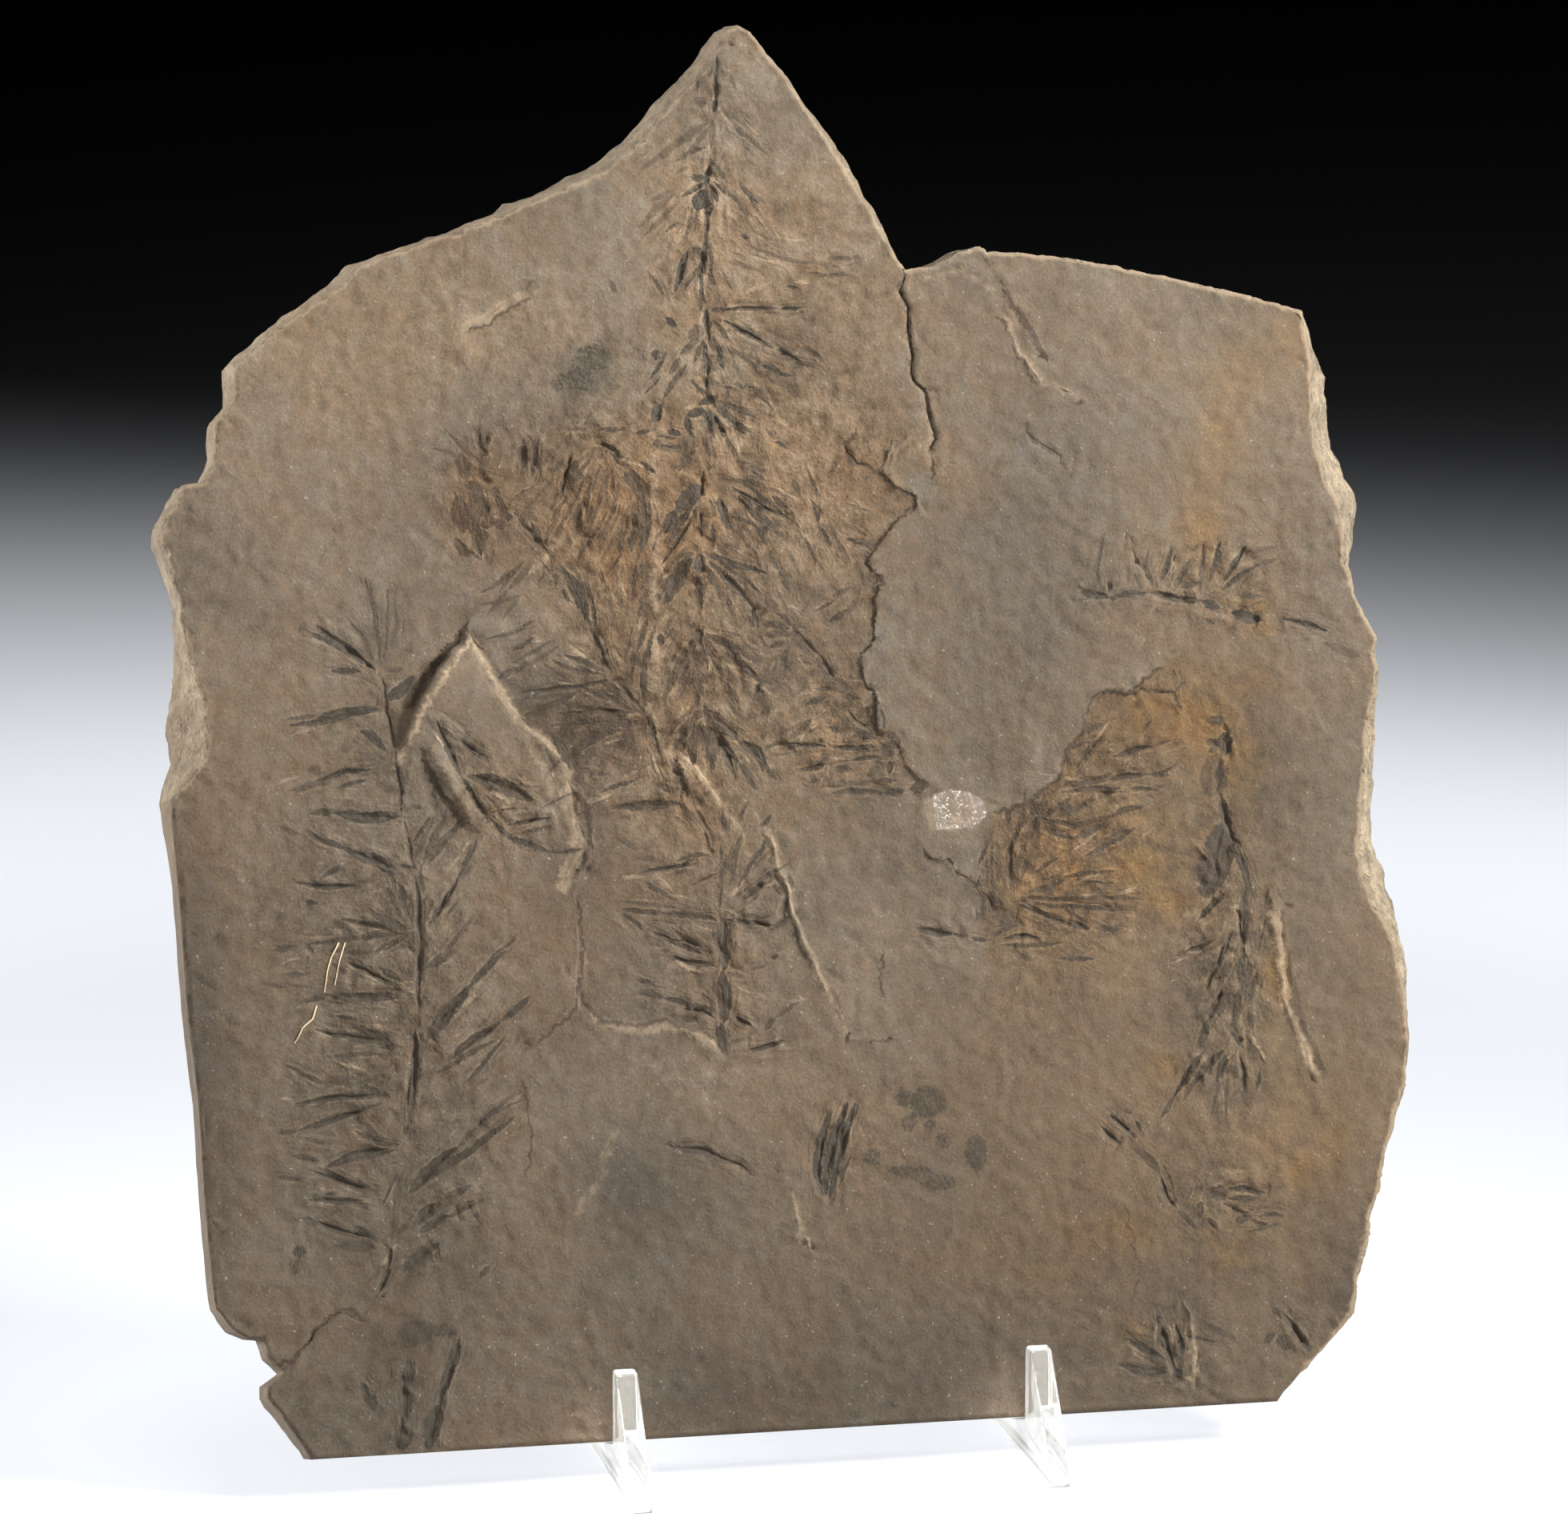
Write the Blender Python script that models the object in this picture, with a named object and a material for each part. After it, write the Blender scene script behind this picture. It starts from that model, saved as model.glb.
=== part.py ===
"""A slab of shale with pressed plants, leaning on a clear two-legged stand.

The slab is modelled flat: u runs to the right, v up its face and w out of its face, all in
millimetres, with v = 0 at the saw-cut foot. It is then leaned back on the stand. Only MM turns
the sizes into metres. The table is z = 0 and the front of the stand's lips faces -Y.
"""

import math
import random

import bpy
import numpy as np
from mathutils import Vector, noise
from mathutils.geometry import delaunay_2d_cdt

# ---------------------------------------------------------------- driving dimensions, in mm
MM = 0.001
SEED = 7

THICKNESS = 14.0            # of the slab
LEAN = math.radians(16.0)   # of the slab's face, back from the vertical
FOOT_HEIGHT = 10.0          # of the slab's front bottom edge above the table
CONTACT_GAP = 0.3           # between two pieces that touch

EDGE_STEP = 4.2             # between points of the broken outline
CUT_STEP = 11.0             # between points of the sawn stretches
SCATTER_STEP = 6.6          # between free points of the face
BACK_STEP = 19.0            # between free points of the back
FACE_MARGIN = 2.4           # from the edge of the face to its nearest free point
LINE_MARGIN = 2.2           # from a print or a ledge to the nearest free point
BACK_MARGIN = 6.0
WALL_LEVELS = (0.3, 0.66, 1.0)
FLARE_CURVE = 0.8           # below 1, most of a wall's flare is near the face
STRATA_LENGTH = 9.0         # of the waves along a broken wall
STRATA_DEPTH = 1.5
STRATA_LAYERS = 3.0
BACK_WAVE = (30, 0.9, 12.5)  # hollows of the back: wavelength, depth, layer of the noise
RIM_DROP = 0.9              # of the face at its worn rim
RIM_REACH = 1.6
TINY = 1e-6

STEM_DEPTH = 0.5
LEAF_DEPTH = 0.35
LEDGE_HALF = 0.3            # half the width of a ledge's sheer edge
CLEARANCE = 0.4             # between one print and the next
FADING_END = 0.125          # share of a ledge's or ridge's length over which each end fades out
PATCH_THICKNESS = 1.0

LIP_DEPTH = 28.0            # from the front of a lip to the slab's front bottom edge
LIP_HEIGHT = 28.0
LIP_SLOPE = 22.0            # run of the lip's slanting front edge
LEG_THICKNESS = 5.0
LEG_X = (-47.6, 51.6)
LEG_LENGTH = 148.0
BASE_HEIGHT = 11.0
REST_LENGTH = 158.0         # of the back rest, measured up the slab
REST_WIDTH = 14.0
BRACE_Y = 112.0
BRACE_BOTTOM = 1.0
BRACE_TOP = 15.0
LAP_HEIGHT = 5.5            # where the two halves of a lap joint meet
BRACE_OVERHANG = 7.0

FOOT_ROUND = 1.2            # radii of the corners of a leg and of the brace
TAIL_ROUND = 5.0
INNER_ROUND = 12.0
REST_ROUND = 6.0
LEDGE_ROUND = 0.5
LIP_BACK_ROUND = 2.0
LIP_FRONT_ROUND = 2.5
BRACE_ROUND = 2.0

# ---------------------------------------------------------------- outline of the face
# One stretch after another, clockwise from the peak: how rough its broken wall is, then
# (u, v, how far the back edge flares out past the front edge).
OUTLINE = [
    ("peak", 0.9, [(-3, 335.5, 1.5), (-0.5, 336, 1.5), (2, 334.5, 2)]),
    ("peak right", 0.6, [(8.5, 325.5, 3), (10, 323.5, 3.5), (19, 309, 3.5), (25, 297.5, 4.5),
                         (31, 286.5, 4)]),
    ("notch", 0.5, [(35.5, 277.5, 2), (37, 275.8, 1.5), (43, 276.5, 1.5), (50.5, 280, 1.5)]),
    ("top right", 0.6, [(56, 281, 2), (57.5, 279.5, 1), (65.5, 279.5, 1), (88, 276, 1), (105, 272, 1),
                        (118.5, 268.5, 1), (130.5, 265, 1), (135.5, 263.5, 2)]),
    ("right bevel", 1.1, [(136.5, 253, 5.5), (136.5, 241, 7.5), (136.5, 230, 8), (138.5, 221, 9),
                          (141.5, 215, 8.5), (142, 208, 6.5), (142, 201, 4)]),
    ("right middle", 1.1, [(144, 194, 3), (146, 188.5, 2.5), (148.5, 182.5, 2), (148, 172, 3)]),
    ("right low bevel", 1.0, [(145, 160, 6), (143.5, 148.5, 6), (142, 139.5, 6.5), (141, 130, 8.5),
                              (142, 122.5, 9), (145, 116, 8), (148, 109.5, 6), (149, 101.5, 5.5)]),
    ("right low", 0.8, [(150, 94.5, 3), (150, 86.5, 2), (148.5, 73.5, 1.5), (145, 65, 2), (141.5, 54, 2),
                        (141, 50.5, 1.5), (137.5, 42.5, 2), (136.5, 36, 1.5), (133.5, 28, 1.5),
                        (132, 20, 1.5)]),
    ("low right corner", 0.5, [(127.5, 15, 1)]),
    ("foot", 0.0, [(111.5, 0, 0), (-121, 0, 0)]),
    ("low left corner", 0.4, [(-130.5, 14.5, 0.5), (-130.5, 17, 0.5)]),
    ("low left notch", 0.5, [(-126.5, 20, 0), (-130, 23.5, 0), (-131, 28, 0), (-134, 28.5, 0),
                             (-138, 30.5, 0)]),
    ("left cut", 0.1, [(-141.5, 35.5, 0), (-142.5, 56.5, 0), (-143, 83.5, 0), (-144.5, 103.5, 0),
                       (-145.5, 137.5, 0)]),
    ("left bevel", 1.2, [(-146.5, 154.5, 1), (-143, 157.5, 4), (-137.5, 164.5, 8), (-136.5, 170.5, 8.5),
                         (-138, 179, 6), (-140, 185.5, 2.5), (-141.5, 193.5, 1)]),
    ("left knob", 0.8, [(-142, 201, 0.5), (-143.5, 207, 0.5), (-145.5, 215.5, 1), (-144.5, 220.5, 1),
                        (-139, 228.5, 1), (-135, 229, 1)]),
    ("left shoulder", 0.8, [(-132, 236.5, 0.5), (-131.5, 243.5, 0.5), (-127, 248, 1), (-126.5, 256.5, 1.5)]),
    ("left crown", 0.8, [(-123.5, 258.5, 2.5), (-114, 266, 2.5), (-102.5, 273, 3), (-95.5, 279.5, 2.5),
                         (-80, 284.5, 2.5), (-60.5, 291, 2.5), (-49.5, 295.5, 3), (-36, 301, 3.5),
                         (-25, 308.5, 3.5), (-22, 313.5, 3), (-15, 320, 3.5), (-8.5, 326.5, 3.5)]),
]

# ---------------------------------------------------------------- relief of the face
# Cracks: half width, depth, points.
CRACKS = {
    "main crack": (0.5, 1.1, [(37, 275.8), (35.5, 271), (36.5, 266.5), (37, 257), (36, 249), (40, 244.5),
                              (40, 239.5), (41, 234.5), (40, 224.5)]),
    "short crack by the tongue": (0.4, 0.4, [(22, 237), (19, 232), (22, 228.8), (25, 227.6)]),
    "crack below the tip": (0.35, 0.4, [(32, 136), (38.5, 132.5), (40.5, 129), (47, 127)]),
    "low crack": (0.4, 0.4, [(-34, 68.5), (-28, 67.5), (-20, 65), (-14, 60.5)]),
    "corner crack": (0.4, 0.5, [(-124, 23.4), (-119, 29), (-113.5, 33.5), (-107, 31.5)]),
    "scratch": (0.35, 0.35, [(63.5, 235.5), (68, 231.5), (74, 226)]),
}

# Ledges: rise of the side to the left of the travel, how far that side takes to fade out, points.
LEDGES = {
    "tongue, left edge": (0.55, 22, [(32, 234), (29.5, 231.5), (27.5, 226.5), (30, 222.5), (35.5, 220.5),
                                     (35, 217), (28, 212.5), (22.5, 205), (26, 200), (23.5, 196),
                                     (24, 186), (19.8, 182.5), (20.5, 175), (23, 172), (23, 165.5),
                                     (28.5, 160.5), (29, 157), (34, 151.5)]),
    "tongue, right edge": (0.45, 22, [(51, 144), (59.5, 145.5), (66.5, 151.5), (69, 157.5), (73.5, 163.5),
                                      (76.5, 171), (85.5, 171.5), (89, 174.5), (94.5, 177.5)]),
    "tongue, spur": (0.3, 6, [(88.2, 171.2), (94, 171.5), (99.5, 173)]),
    "flake, tail": (0.4, 8, [(-64.5, 94.5), (-56.5, 99), (-53, 105.5), (-52, 117.5), (-52.5, 128)]),
    "low ledge": (0.5, 14, [(-19, 89), (-24, 94.5), (-29.5, 97), (-41, 97.3), (-49, 101)]),
    "right step": (0.7, 7, [(-14.6, 147.5), (-16.5, 149.8), (-21, 157), (-25.5, 161.8)]),
    "upper ledge": (0.35, 6, [(76, 244.5), (68, 247), (63.5, 255), (59.5, 264.5)]),
}

# Ridges: half width, rise, points.
RIDGES = {
    "long ridge": (1.2, 0.45, [(-5, 141.5), (-3.5, 134), (0, 124.5), (1, 118), (5, 108), (11.5, 93)]),
    "ochre ridge": (1.4, 0.5, [(117, 119), (118.5, 111), (119, 97.5), (121, 91), (125.5, 77)]),
    "foot ridge": (1.1, 0.4, [(91, 22), (91.5, 13), (91, 5)]),
    "short ridge": (0.9, 0.4, [(-4, 56), (-3, 48.5), (0, 42.5)]),
    "raised line": (0.7, 0.35, [(-72, 263.5), (-64, 267.5), (-55.5, 272)]),
}

# Waves of the bedding plane: wavelength, height, layer of the noise.
BROAD_WAVE = (70, 1.1, 0.3)
MEDIUM_WAVE = (24, 0.35, 4.1)
TORN_WAVE = (7, 0.6, 8.7)

# Where thin layers came off: strength, middle (u, v), reach in u and v.
TORN_PLACES = [(1.0, -22, 205, 45, 60), (0.8, 80, 135, 35, 25)]

# The pointed flake stands up along its left edge and is worn to a slope along its right edge.
FLAKE_RISE = 1.9
FLAKE_WORN = 4.5
FLAKE_TOP = 172.0
FLAKE_FOOT = 128.0
FLAKE_REACH = 40.0
FLAKE_LEFT = [(-74, 192.5), (-80, 185), (-87.5, 174), (-91, 166.5)]
FLAKE_RIGHT = [(-51.5, 135), (-49, 140.5), (-51, 151.5), (-54, 161.5), (-62, 169.5), (-68, 179),
               (-74, 192.5)]

PATCH_OUTLINE = [(35.5, 148.6), (39.5, 149.6), (44.5, 148.8), (47.6, 146.6), (48.8, 143.8), (46.5, 141.3),
                 (42.5, 140.2), (36, 140.2), (35.6, 144.5)]

# ---------------------------------------------------------------- pressed plants
# Stems: width, then the points of one joint of the stem after another.
STEMS = {
    "left plant": [
        (1.3, -95, 181.5, -94.5, 174, -93, 164.5), (1.1, -93, 161.5, -92.5, 156, -92, 150.5),
        (1.3, -91.5, 147.5, -91, 143, -90, 136.5), (1.5, -90, 134, -89, 127.5, -89.5, 117, -91, 101.5),
        (1.9, -91.5, 98, -92, 90.5, -94.5, 75), (1.3, -99.5, 48.5, -101, 42.5, -104, 37)],
    "middle plant": [
        (1.7, -62, 219.5, -58, 214.5, -53, 208), (2.1, -51.5, 206.5, -46.5, 198, -45, 193),
        (1.3, -45, 191.5, -42.5, 185.5, -41, 180.5), (1.5, -39.5, 178.5, -36, 174.5, -33.4, 171.2),
        (1.5, -31.6, 168, -30.8, 164, -30, 160.5), (2.1, -27, 157.5, -25.5, 154.5, -23.5, 150),
        (1.3, -22.5, 148, -19, 142, -18, 137), (2.9, -17, 121.5, -17, 115, -17.5, 109.5),
        (2.5, -17.8, 107.5, -17.5, 101, -18.5, 90.5)],
    "centre plant": [
        (1.4, -6.5, 329, -7.3, 322, -8, 314.5), (1.5, -9.5, 302, -11, 297.5),
        (1.1, -11, 289, -11.5, 285.5), (1.5, -12, 283.5, -13, 275), (1.1, -12.5, 267.5, -12.5, 258.5),
        (0.9, -13, 256.5, -13.5, 247.5), (0.9, -15.5, 228.5, -16.5, 222), (0.9, -17, 218.5, -17, 212),
        (2.1, -17.5, 208.5, -18, 203.5), (1.5, -18, 202, -18.5, 193.5), (2.3, -18.5, 190.5, -19.5, 186),
        (1.7, -19.6, 184.5, -20.5, 171.8)],
    "cross plant": [
        (1.7, 75, 196, 82, 194.5), (1.1, 83, 194.6, 92, 195.5), (1.5, 93, 195.3, 98.5, 194, 104.5, 193.2),
        (1.9, 105.8, 193, 109.5, 191), (2.5, 112, 190.2, 119.5, 187.5), (1.1, 124.5, 188, 136, 184.5)],
    "far right plant": [
        (3.0, 108.5, 162, 108.5, 155.5), (1.1, 107, 154, 106.5, 147), (1.1, 106.5, 144.5, 109.4, 133.6),
        (1.3, 109.7, 132.4, 111.5, 127, 112.5, 121.5), (1.3, 110, 118.5, 110, 108),
        (1.7, 109.5, 106.5, 108.5, 100.5), (1.7, 104, 98.5, 100.4, 92.6), (1.7, 99.8, 91.4, 97.5, 85)],
}

# Leaves: width, then the points from the stem to the tip.
LEAVES = {
    "left plant, left side": [
        (1.5, -97, 183.5, -102, 187.5, -110, 194), (1.9, -96, 174, -104.5, 173.5, -111, 172.5),
        (1.1, -99, 160, -105.5, 159.5, -112, 157.5), (2.3, -93.5, 148.5, -101, 148.5, -108.5, 150),
        (2.3, -93.5, 135, -99, 138.5, -106, 141), (1.1, -103.5, 133, -110.5, 132.5, -118, 134),
        (1.3, -91.7, 120.5, -98.5, 122, -107.5, 125), (1.1, -95.5, 109, -101, 112, -107.5, 115),
        (1.9, -95, 106, -103, 106.5, -112.5, 107.5), (1.3, -97, 95.5, -105.5, 97, -115, 99.5),
        (1.1, -98.5, 83.5, -109, 83.5, -120.5, 82.5), (1.1, -100, 81, -107.5, 79.5, -120.5, 76),
        (1.1, -98.5, 71, -107, 70.5, -114, 67.5), (1.1, -102.5, 61, -110, 63.5, -118, 67),
        (1.3, -105.5, 59, -112, 59.5, -118.5, 60), (1.1, -102.5, 50, -110.5, 52, -118.5, 55.5)],
    "left plant, right side": [
        (1.3, -87, 123, -83, 128, -79.5, 133.5), (2.7, -88.5, 97, -83.5, 102, -78, 108),
        (1.3, -77, 109, -74, 112, -69, 116), (1.7, -84, 91, -78, 95.5, -71.5, 99.2),
        (2.3, -95, 60.5, -88.5, 66.5, -83, 70.5), (1.3, -81, 70, -74.5, 73.5, -69, 77),
        (2.3, -94, 53, -90.5, 56, -87.5, 57.5), (1.1, -86, 55.5, -82.5, 57, -78.5, 58),
        (2.3, -98, 42.5, -93, 45.5, -88.5, 48.5)],
    "flake plant": [
        (1.3, -83, 170.5, -81, 165, -78, 158.5), (1.1, -77, 155, -74, 150.5, -71.5, 147),
        (2.7, -75, 156.8, -68.5, 155, -60.5, 151), (1.1, -78, 165.5, -74.5, 163, -71, 161),
        (0.9, -67.5, 145.5, -58, 146.8)],
    "middle plant": [
        (1.1, -41.8, 181.2, -46, 183, -51.5, 185.5), (1.1, -42, 178.4, -49, 177.5, -62.5, 177),
        (1.3, -36.5, 171.5, -43.5, 172, -54, 172), (2.1, -34, 168.6, -41, 167.5, -52, 160.5),
        (1.1, -37, 166, -44, 160, -48, 155), (1.9, -26.5, 149, -32.5, 149, -42, 148.5),
        (0.9, -22.5, 134.5, -29, 134, -36, 133), (1.5, -19.5, 122, -26, 122.5, -31, 123),
        (0.9, -21, 114.5, -27.5, 116, -34, 119), (1.3, -20, 110.3, -24, 111, -29.5, 113),
        (1.1, -21, 98, -24, 99.5, -27, 100.5), (1.3, -12.5, 125, -9, 128, -5.5, 130),
        (0.9, -14.5, 121, -11, 120, -5.5, 119.5), (1.1, -15.5, 98, -11.5, 95.5),
        (1.1, -12.5, 90, -8, 90.5, -3.5, 91.5)],
    "feathered branch": [
        (1.1, -47, 233.5, -48.5, 229, -50.5, 222.5), (1.7, -41, 235.5, -37, 233.5, -35, 229.5),
        (2.3, -34, 227.5, -32, 224.5, -30.5, 218), (1.7, -34, 221.5, -34, 215, -35.5, 209),
        (1.7, -39, 226, -40, 219, -42, 213), (1.7, -44.5, 224, -45.5, 218, -47.5, 212),
        (1.3, -33, 186, -33.6, 180, -33.8, 174)],
    "pods": [
        (2.6, -67.5, 240, -68.5, 233), (2.0, -59, 237.5, -59.5, 229.5), (2.0, -55.5, 237.5, -56.5, 229),
        (3.0, -66, 228, -70, 223), (2.6, -62, 225, -64.5, 220)],
    "centre plant": [
        (3.0, -11.2, 296, -13, 290.5), (1.5, -16, 282.5, -18, 277, -20, 271),
        (0.9, -8.5, 267, 1, 267, 11, 267), (1.1, -8.5, 264, -2, 260.5, 9.5, 254),
        (1.5, -12.5, 243.5, -11.5, 239.5, -9, 235), (1.5, -10.6, 243.6, -7.5, 240, -3.5, 237.5),
        (1.9, -25, 245, -27, 240), (2.7, -17.5, 223.5, -20, 221, -24.5, 215),
        (1.3, -18.6, 217.5, -23, 211.5, -26.5, 206), (1.5, -12.8, 221.5, -11.5, 218, -10, 214),
        (1.1, -9, 224.3, -2.5, 220, 5.5, 215.5), (2.3, -19.8, 206.5, -23, 204, -27, 199.5),
        (1.5, -15.5, 207.5, -9, 205.5, -1.5, 203), (1.5, -15, 205, -10, 201, -5.5, 195),
        (1.5, -17, 189, -11, 186, -5, 182), (1.7, -16, 184.5, -10.5, 180.5, -6.5, 176.5),
        (1.9, -23, 186.5, -26.5, 183, -29, 178), (2.3, -18.3, 170.5, -14, 167, -5, 157.5),
        (1.7, -17.4, 165.5, -14.5, 161, -12, 155.5), (1.9, -22.7, 168.3, -25, 164.5, -27.5, 164),
        (1.5, -20.5, 166, -19.5, 160, -19.5, 155)],
    "side strand": [
        (1.1, 3, 190.5, 9, 184.5, 14, 176.5), (1.1, 16, 170, 19, 166, 20.8, 164.8),
        (1.1, 19.5, 160.5, 11.5, 160.8, -1.5, 162.5), (1.1, 27, 150.8, 19, 151.8, 5, 151),
        (0.9, 20.5, 158, 12, 157, 3.5, 156)],
    "right group": [
        (0.9, 57.5, 122.6, 66.5, 122.2, 83, 119), (1.3, 55.5, 120.6, 62, 118, 72.5, 114.5),
        (1.1, 57.5, 124.8, 63, 126, 67, 127.5), (1.3, 53.2, 126, 53.5, 133, 55, 139),
        (1.3, 48.5, 126.5, 48.5, 119), (1.1, 62.5, 139.5, 69, 138, 77.5, 141),
        (1.3, 67.5, 150.5, 76, 151, 89, 152), (1.1, 70, 147.6, 80, 147.6, 91.5, 147.2),
        (1.1, 72, 154, 74.5, 158, 78.5, 161), (1.1, 80.5, 156, 86, 157.5, 90.5, 158.5),
        (1.1, 52.5, 114, 56, 114.4, 60, 113), (1.5, 29.5, 117, 34, 116, 43, 114)],
    "far right plant": [
        (4.0, 106, 132, 100.5, 124.5), (1.5, 107, 122.5, 102.5, 119, 99, 115.5),
        (1.1, 102, 110.5, 96, 108.5), (1.3, 107.3, 113, 104.5, 107, 100, 99),
        (1.5, 96.5, 83, 93, 78, 90, 73.5), (1.7, 101.5, 84.5, 99.5, 80, 97.5, 76.5),
        (1.7, 105, 84.5, 103.5, 80.5, 102.5, 76), (1.3, 105.2, 91, 107.5, 88, 109, 85),
        (0.9, 107.8, 83, 108, 78, 108, 73)],
    "cross plant": [
        (1.1, 111.2, 197, 114, 202, 117.5, 206.5), (1.1, 111.5, 193.8, 115.5, 197.5, 121, 201.5),
        (1.1, 97.5, 197, 98.5, 201, 99, 206), (1.1, 103.5, 196.5, 105.5, 202, 106.5, 208),
        (1.1, 92.5, 197.5, 90, 202, 88, 207)],
    "lower scraps": [
        (1.5, 12.8, 76, 10, 69.5, 7, 55), (1.5, 9.8, 75.5, 7.2, 69, 4.7, 56),
        (1.3, 6.8, 74.5, 4, 68, 2.5, 57),
        (1.1, 74.5, 70.5, 77.5, 67.5, 80.5, 64.5), (1.1, 72, 67.5, 74.5, 65, 76.5, 62.5),
        (1.1, 86, 55, 87.5, 50, 89.5, 47), (3.0, 97.5, 50.5, 102, 52.5, 111.5, 50.5),
        (1.4, 100.5, 47.6, 106, 45.5, 111.5, 46.2), (1.5, 87, 8, 85, 15, 83, 22.5),
        (1.5, 88.2, 12, 88.5, 16, 87.3, 20.5), (1.7, 84, 9.5, 79.5, 12.5, 74.5, 15),
        (1.5, 114, 21, 117, 17, 120.5, 11), (2.3, -98.7, 19, -99, 12, -98.5, 2.5),
        (3.0, -85, 26, -88.5, 17, -93.2, 2.5)],
}


# ---------------------------------------------------------------- geometry helpers
def lerp(a, b, t):
    """The point a fraction t of the way from a to b."""
    return tuple(p + (q - p) * t for p, q in zip(a, b))


def along(points, fraction):
    """The point a fraction of the way along a chain of points."""
    lengths = [math.dist(a, b) for a, b in zip(points, points[1:])]
    rest = fraction * sum(lengths)
    for a, b, length in zip(points, points[1:], lengths):
        if rest <= length:
            return lerp(a, b, rest / length)
        rest -= length
    return points[-1]


def normals(points):
    """Left-hand unit normal at each point of an open chain."""
    result = []
    for i in range(len(points)):
        a = points[max(i - 1, 0)]
        b = points[min(i + 1, len(points) - 1)]
        length = math.dist(a, b)
        result.append(((a[1] - b[1]) / length, (b[0] - a[0]) / length))
    return result


def offset(points, distance):
    """The chain moved to its left by a distance."""
    return [(p[0] + n[0] * distance, p[1] + n[1] * distance) for p, n in zip(points, normals(points))]


def nearest_on_chain(where, points):
    """For each row of where: distance to the chain, side (+1 left) and fraction along it."""
    chain = np.array(points, dtype=float)
    start = chain[:-1]
    step = chain[1:] - start
    lengths = np.linalg.norm(step, axis=1)
    to_point = where[:, None, :] - start[None]
    t = np.clip((to_point * step).sum(2) / lengths ** 2, 0, 1)
    gap = to_point - t[..., None] * step
    distance = np.linalg.norm(gap, axis=2)
    best = distance.argmin(1)
    rows = np.arange(len(where))
    cross = step[best, 0] * to_point[rows, best, 1] - step[best, 1] * to_point[rows, best, 0]
    before = np.concatenate([[0], np.cumsum(lengths)])[:-1]
    fraction = (before[best] + t[rows, best] * lengths[best]) / lengths.sum()
    return distance[rows, best], np.where(cross >= 0, 1, -1), fraction


def inside(where, polygon):
    """Whether each row of where lies inside the polygon."""
    result = np.zeros(len(where), dtype=bool)
    for (x0, y0), (x1, y1) in zip(polygon, polygon[1:] + polygon[:1]):
        crosses = (y0 > where[:, 1]) != (y1 > where[:, 1])
        at = (where[:, 1] - y0) * (x1 - x0) / ((y1 - y0) or 1e-12) + x0
        result ^= crosses & (where[:, 0] < at)
    return result


def scatter(polygon, step, margin, rng):
    """Jittered hexagonal grid of points inside the polygon, clear of its edge."""
    corner = np.min(polygon, axis=0)
    size = np.max(polygon, axis=0) - corner
    row_step = step * math.sqrt(3) / 2
    points = []
    for row in range(int(size[1] / row_step) + 1):
        for column in range(int(size[0] / step) + 1):
            u = corner[0] + (column + 0.5 * (row % 2)) * step + rng.uniform(-0.2, 0.2) * step
            v = corner[1] + row * row_step + rng.uniform(-0.2, 0.2) * step
            points.append((u, v))
    points = np.array(points)
    far = nearest_on_chain(points, polygon + polygon[:1])[0] > margin
    return points[far & inside(points, polygon)]


# ---------------------------------------------------------------- outline of the slab
def slab_outline():
    """Counter-clockwise points of the face's edge with their flare and roughness."""
    corners = [(u, v, flare, rough) for _, rough, points in OUTLINE for u, v, flare in points]
    rng = random.Random(SEED)
    outline = []
    for a, b in zip(corners, corners[1:] + corners[:1]):
        rough = min(a[3], b[3])
        step = EDGE_STEP if rough > 0.2 else CUT_STEP
        count = max(1, round(math.dist(a[:2], b[:2]) / step))
        for i in range(count):
            u, v, flare, roughness = lerp(a, b, i / count)
            if i:
                u += rng.uniform(-0.35, 0.35) * rough
                v += rng.uniform(-0.35, 0.35) * rough
            outline.append((u, v, flare, roughness))
    outline.reverse()
    return outline


def outward(loop):
    """Unit vectors pointing out of a counter-clockwise loop, averaged over near neighbours."""
    count = len(loop)
    result = []
    for i in range(count):
        a = loop[i - 2]
        b = loop[(i + 2) % count]
        length = math.dist(a, b)
        result.append(((b[1] - a[1]) / length, (a[0] - b[0]) / length))
    return result


# ---------------------------------------------------------------- prints and relief
def groove(points, width, depth, fractions=None):
    """A V-shaped print: it is full width at the inner points and runs out to nothing at both ends."""
    if fractions:
        points = [points[0]] + [along(points, f) for f in fractions] + [points[-1]]
    return {"points": points, "half": width / 2, "depth": depth}


def pairs(values):
    """(width, u0, v0, u1, v1, ...) as a width and a list of points."""
    return values[0], list(zip(values[1::2], values[2::2]))


def all_grooves():
    """Cracks, then stems, then those leaves that keep clear of the prints before them."""
    kept = [groove(points, 2 * half, depth) for half, depth, points in CRACKS.values()]
    blocked = [(points, LEDGE_HALF) for _, _, points in LEDGES.values()]
    blocked += [(points, half) for half, _, points in RIDGES.values()]
    blocked += [(FLAKE_LEFT, LEDGE_HALF), (FLAKE_RIGHT, LEDGE_HALF)]
    blocked += [(PATCH_OUTLINE + PATCH_OUTLINE[:1], LEDGE_HALF)]
    blocked += [(g["points"], g["half"]) for g in kept]
    wanted = []
    for joints in STEMS.values():
        for values in joints:
            width, points = pairs(values)
            wanted.append(groove(points, width, STEM_DEPTH, (0.12, 0.5, 0.88)))
    for leaves in LEAVES.values():
        for values in leaves:
            width, points = pairs(values)
            wanted.append(groove(points, width, LEAF_DEPTH, (0.3, 0.7)))
    for print_ in wanted:
        samples = np.array([along(print_["points"], f) for f in np.linspace(0, 1, 15)])
        clear = all(
            nearest_on_chain(samples, points)[0].min() > half + print_["half"] + CLEARANCE
            for points, half in blocked)
        if clear:
            kept.append(print_)
            blocked.append((print_["points"], print_["half"]))
    return kept


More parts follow.
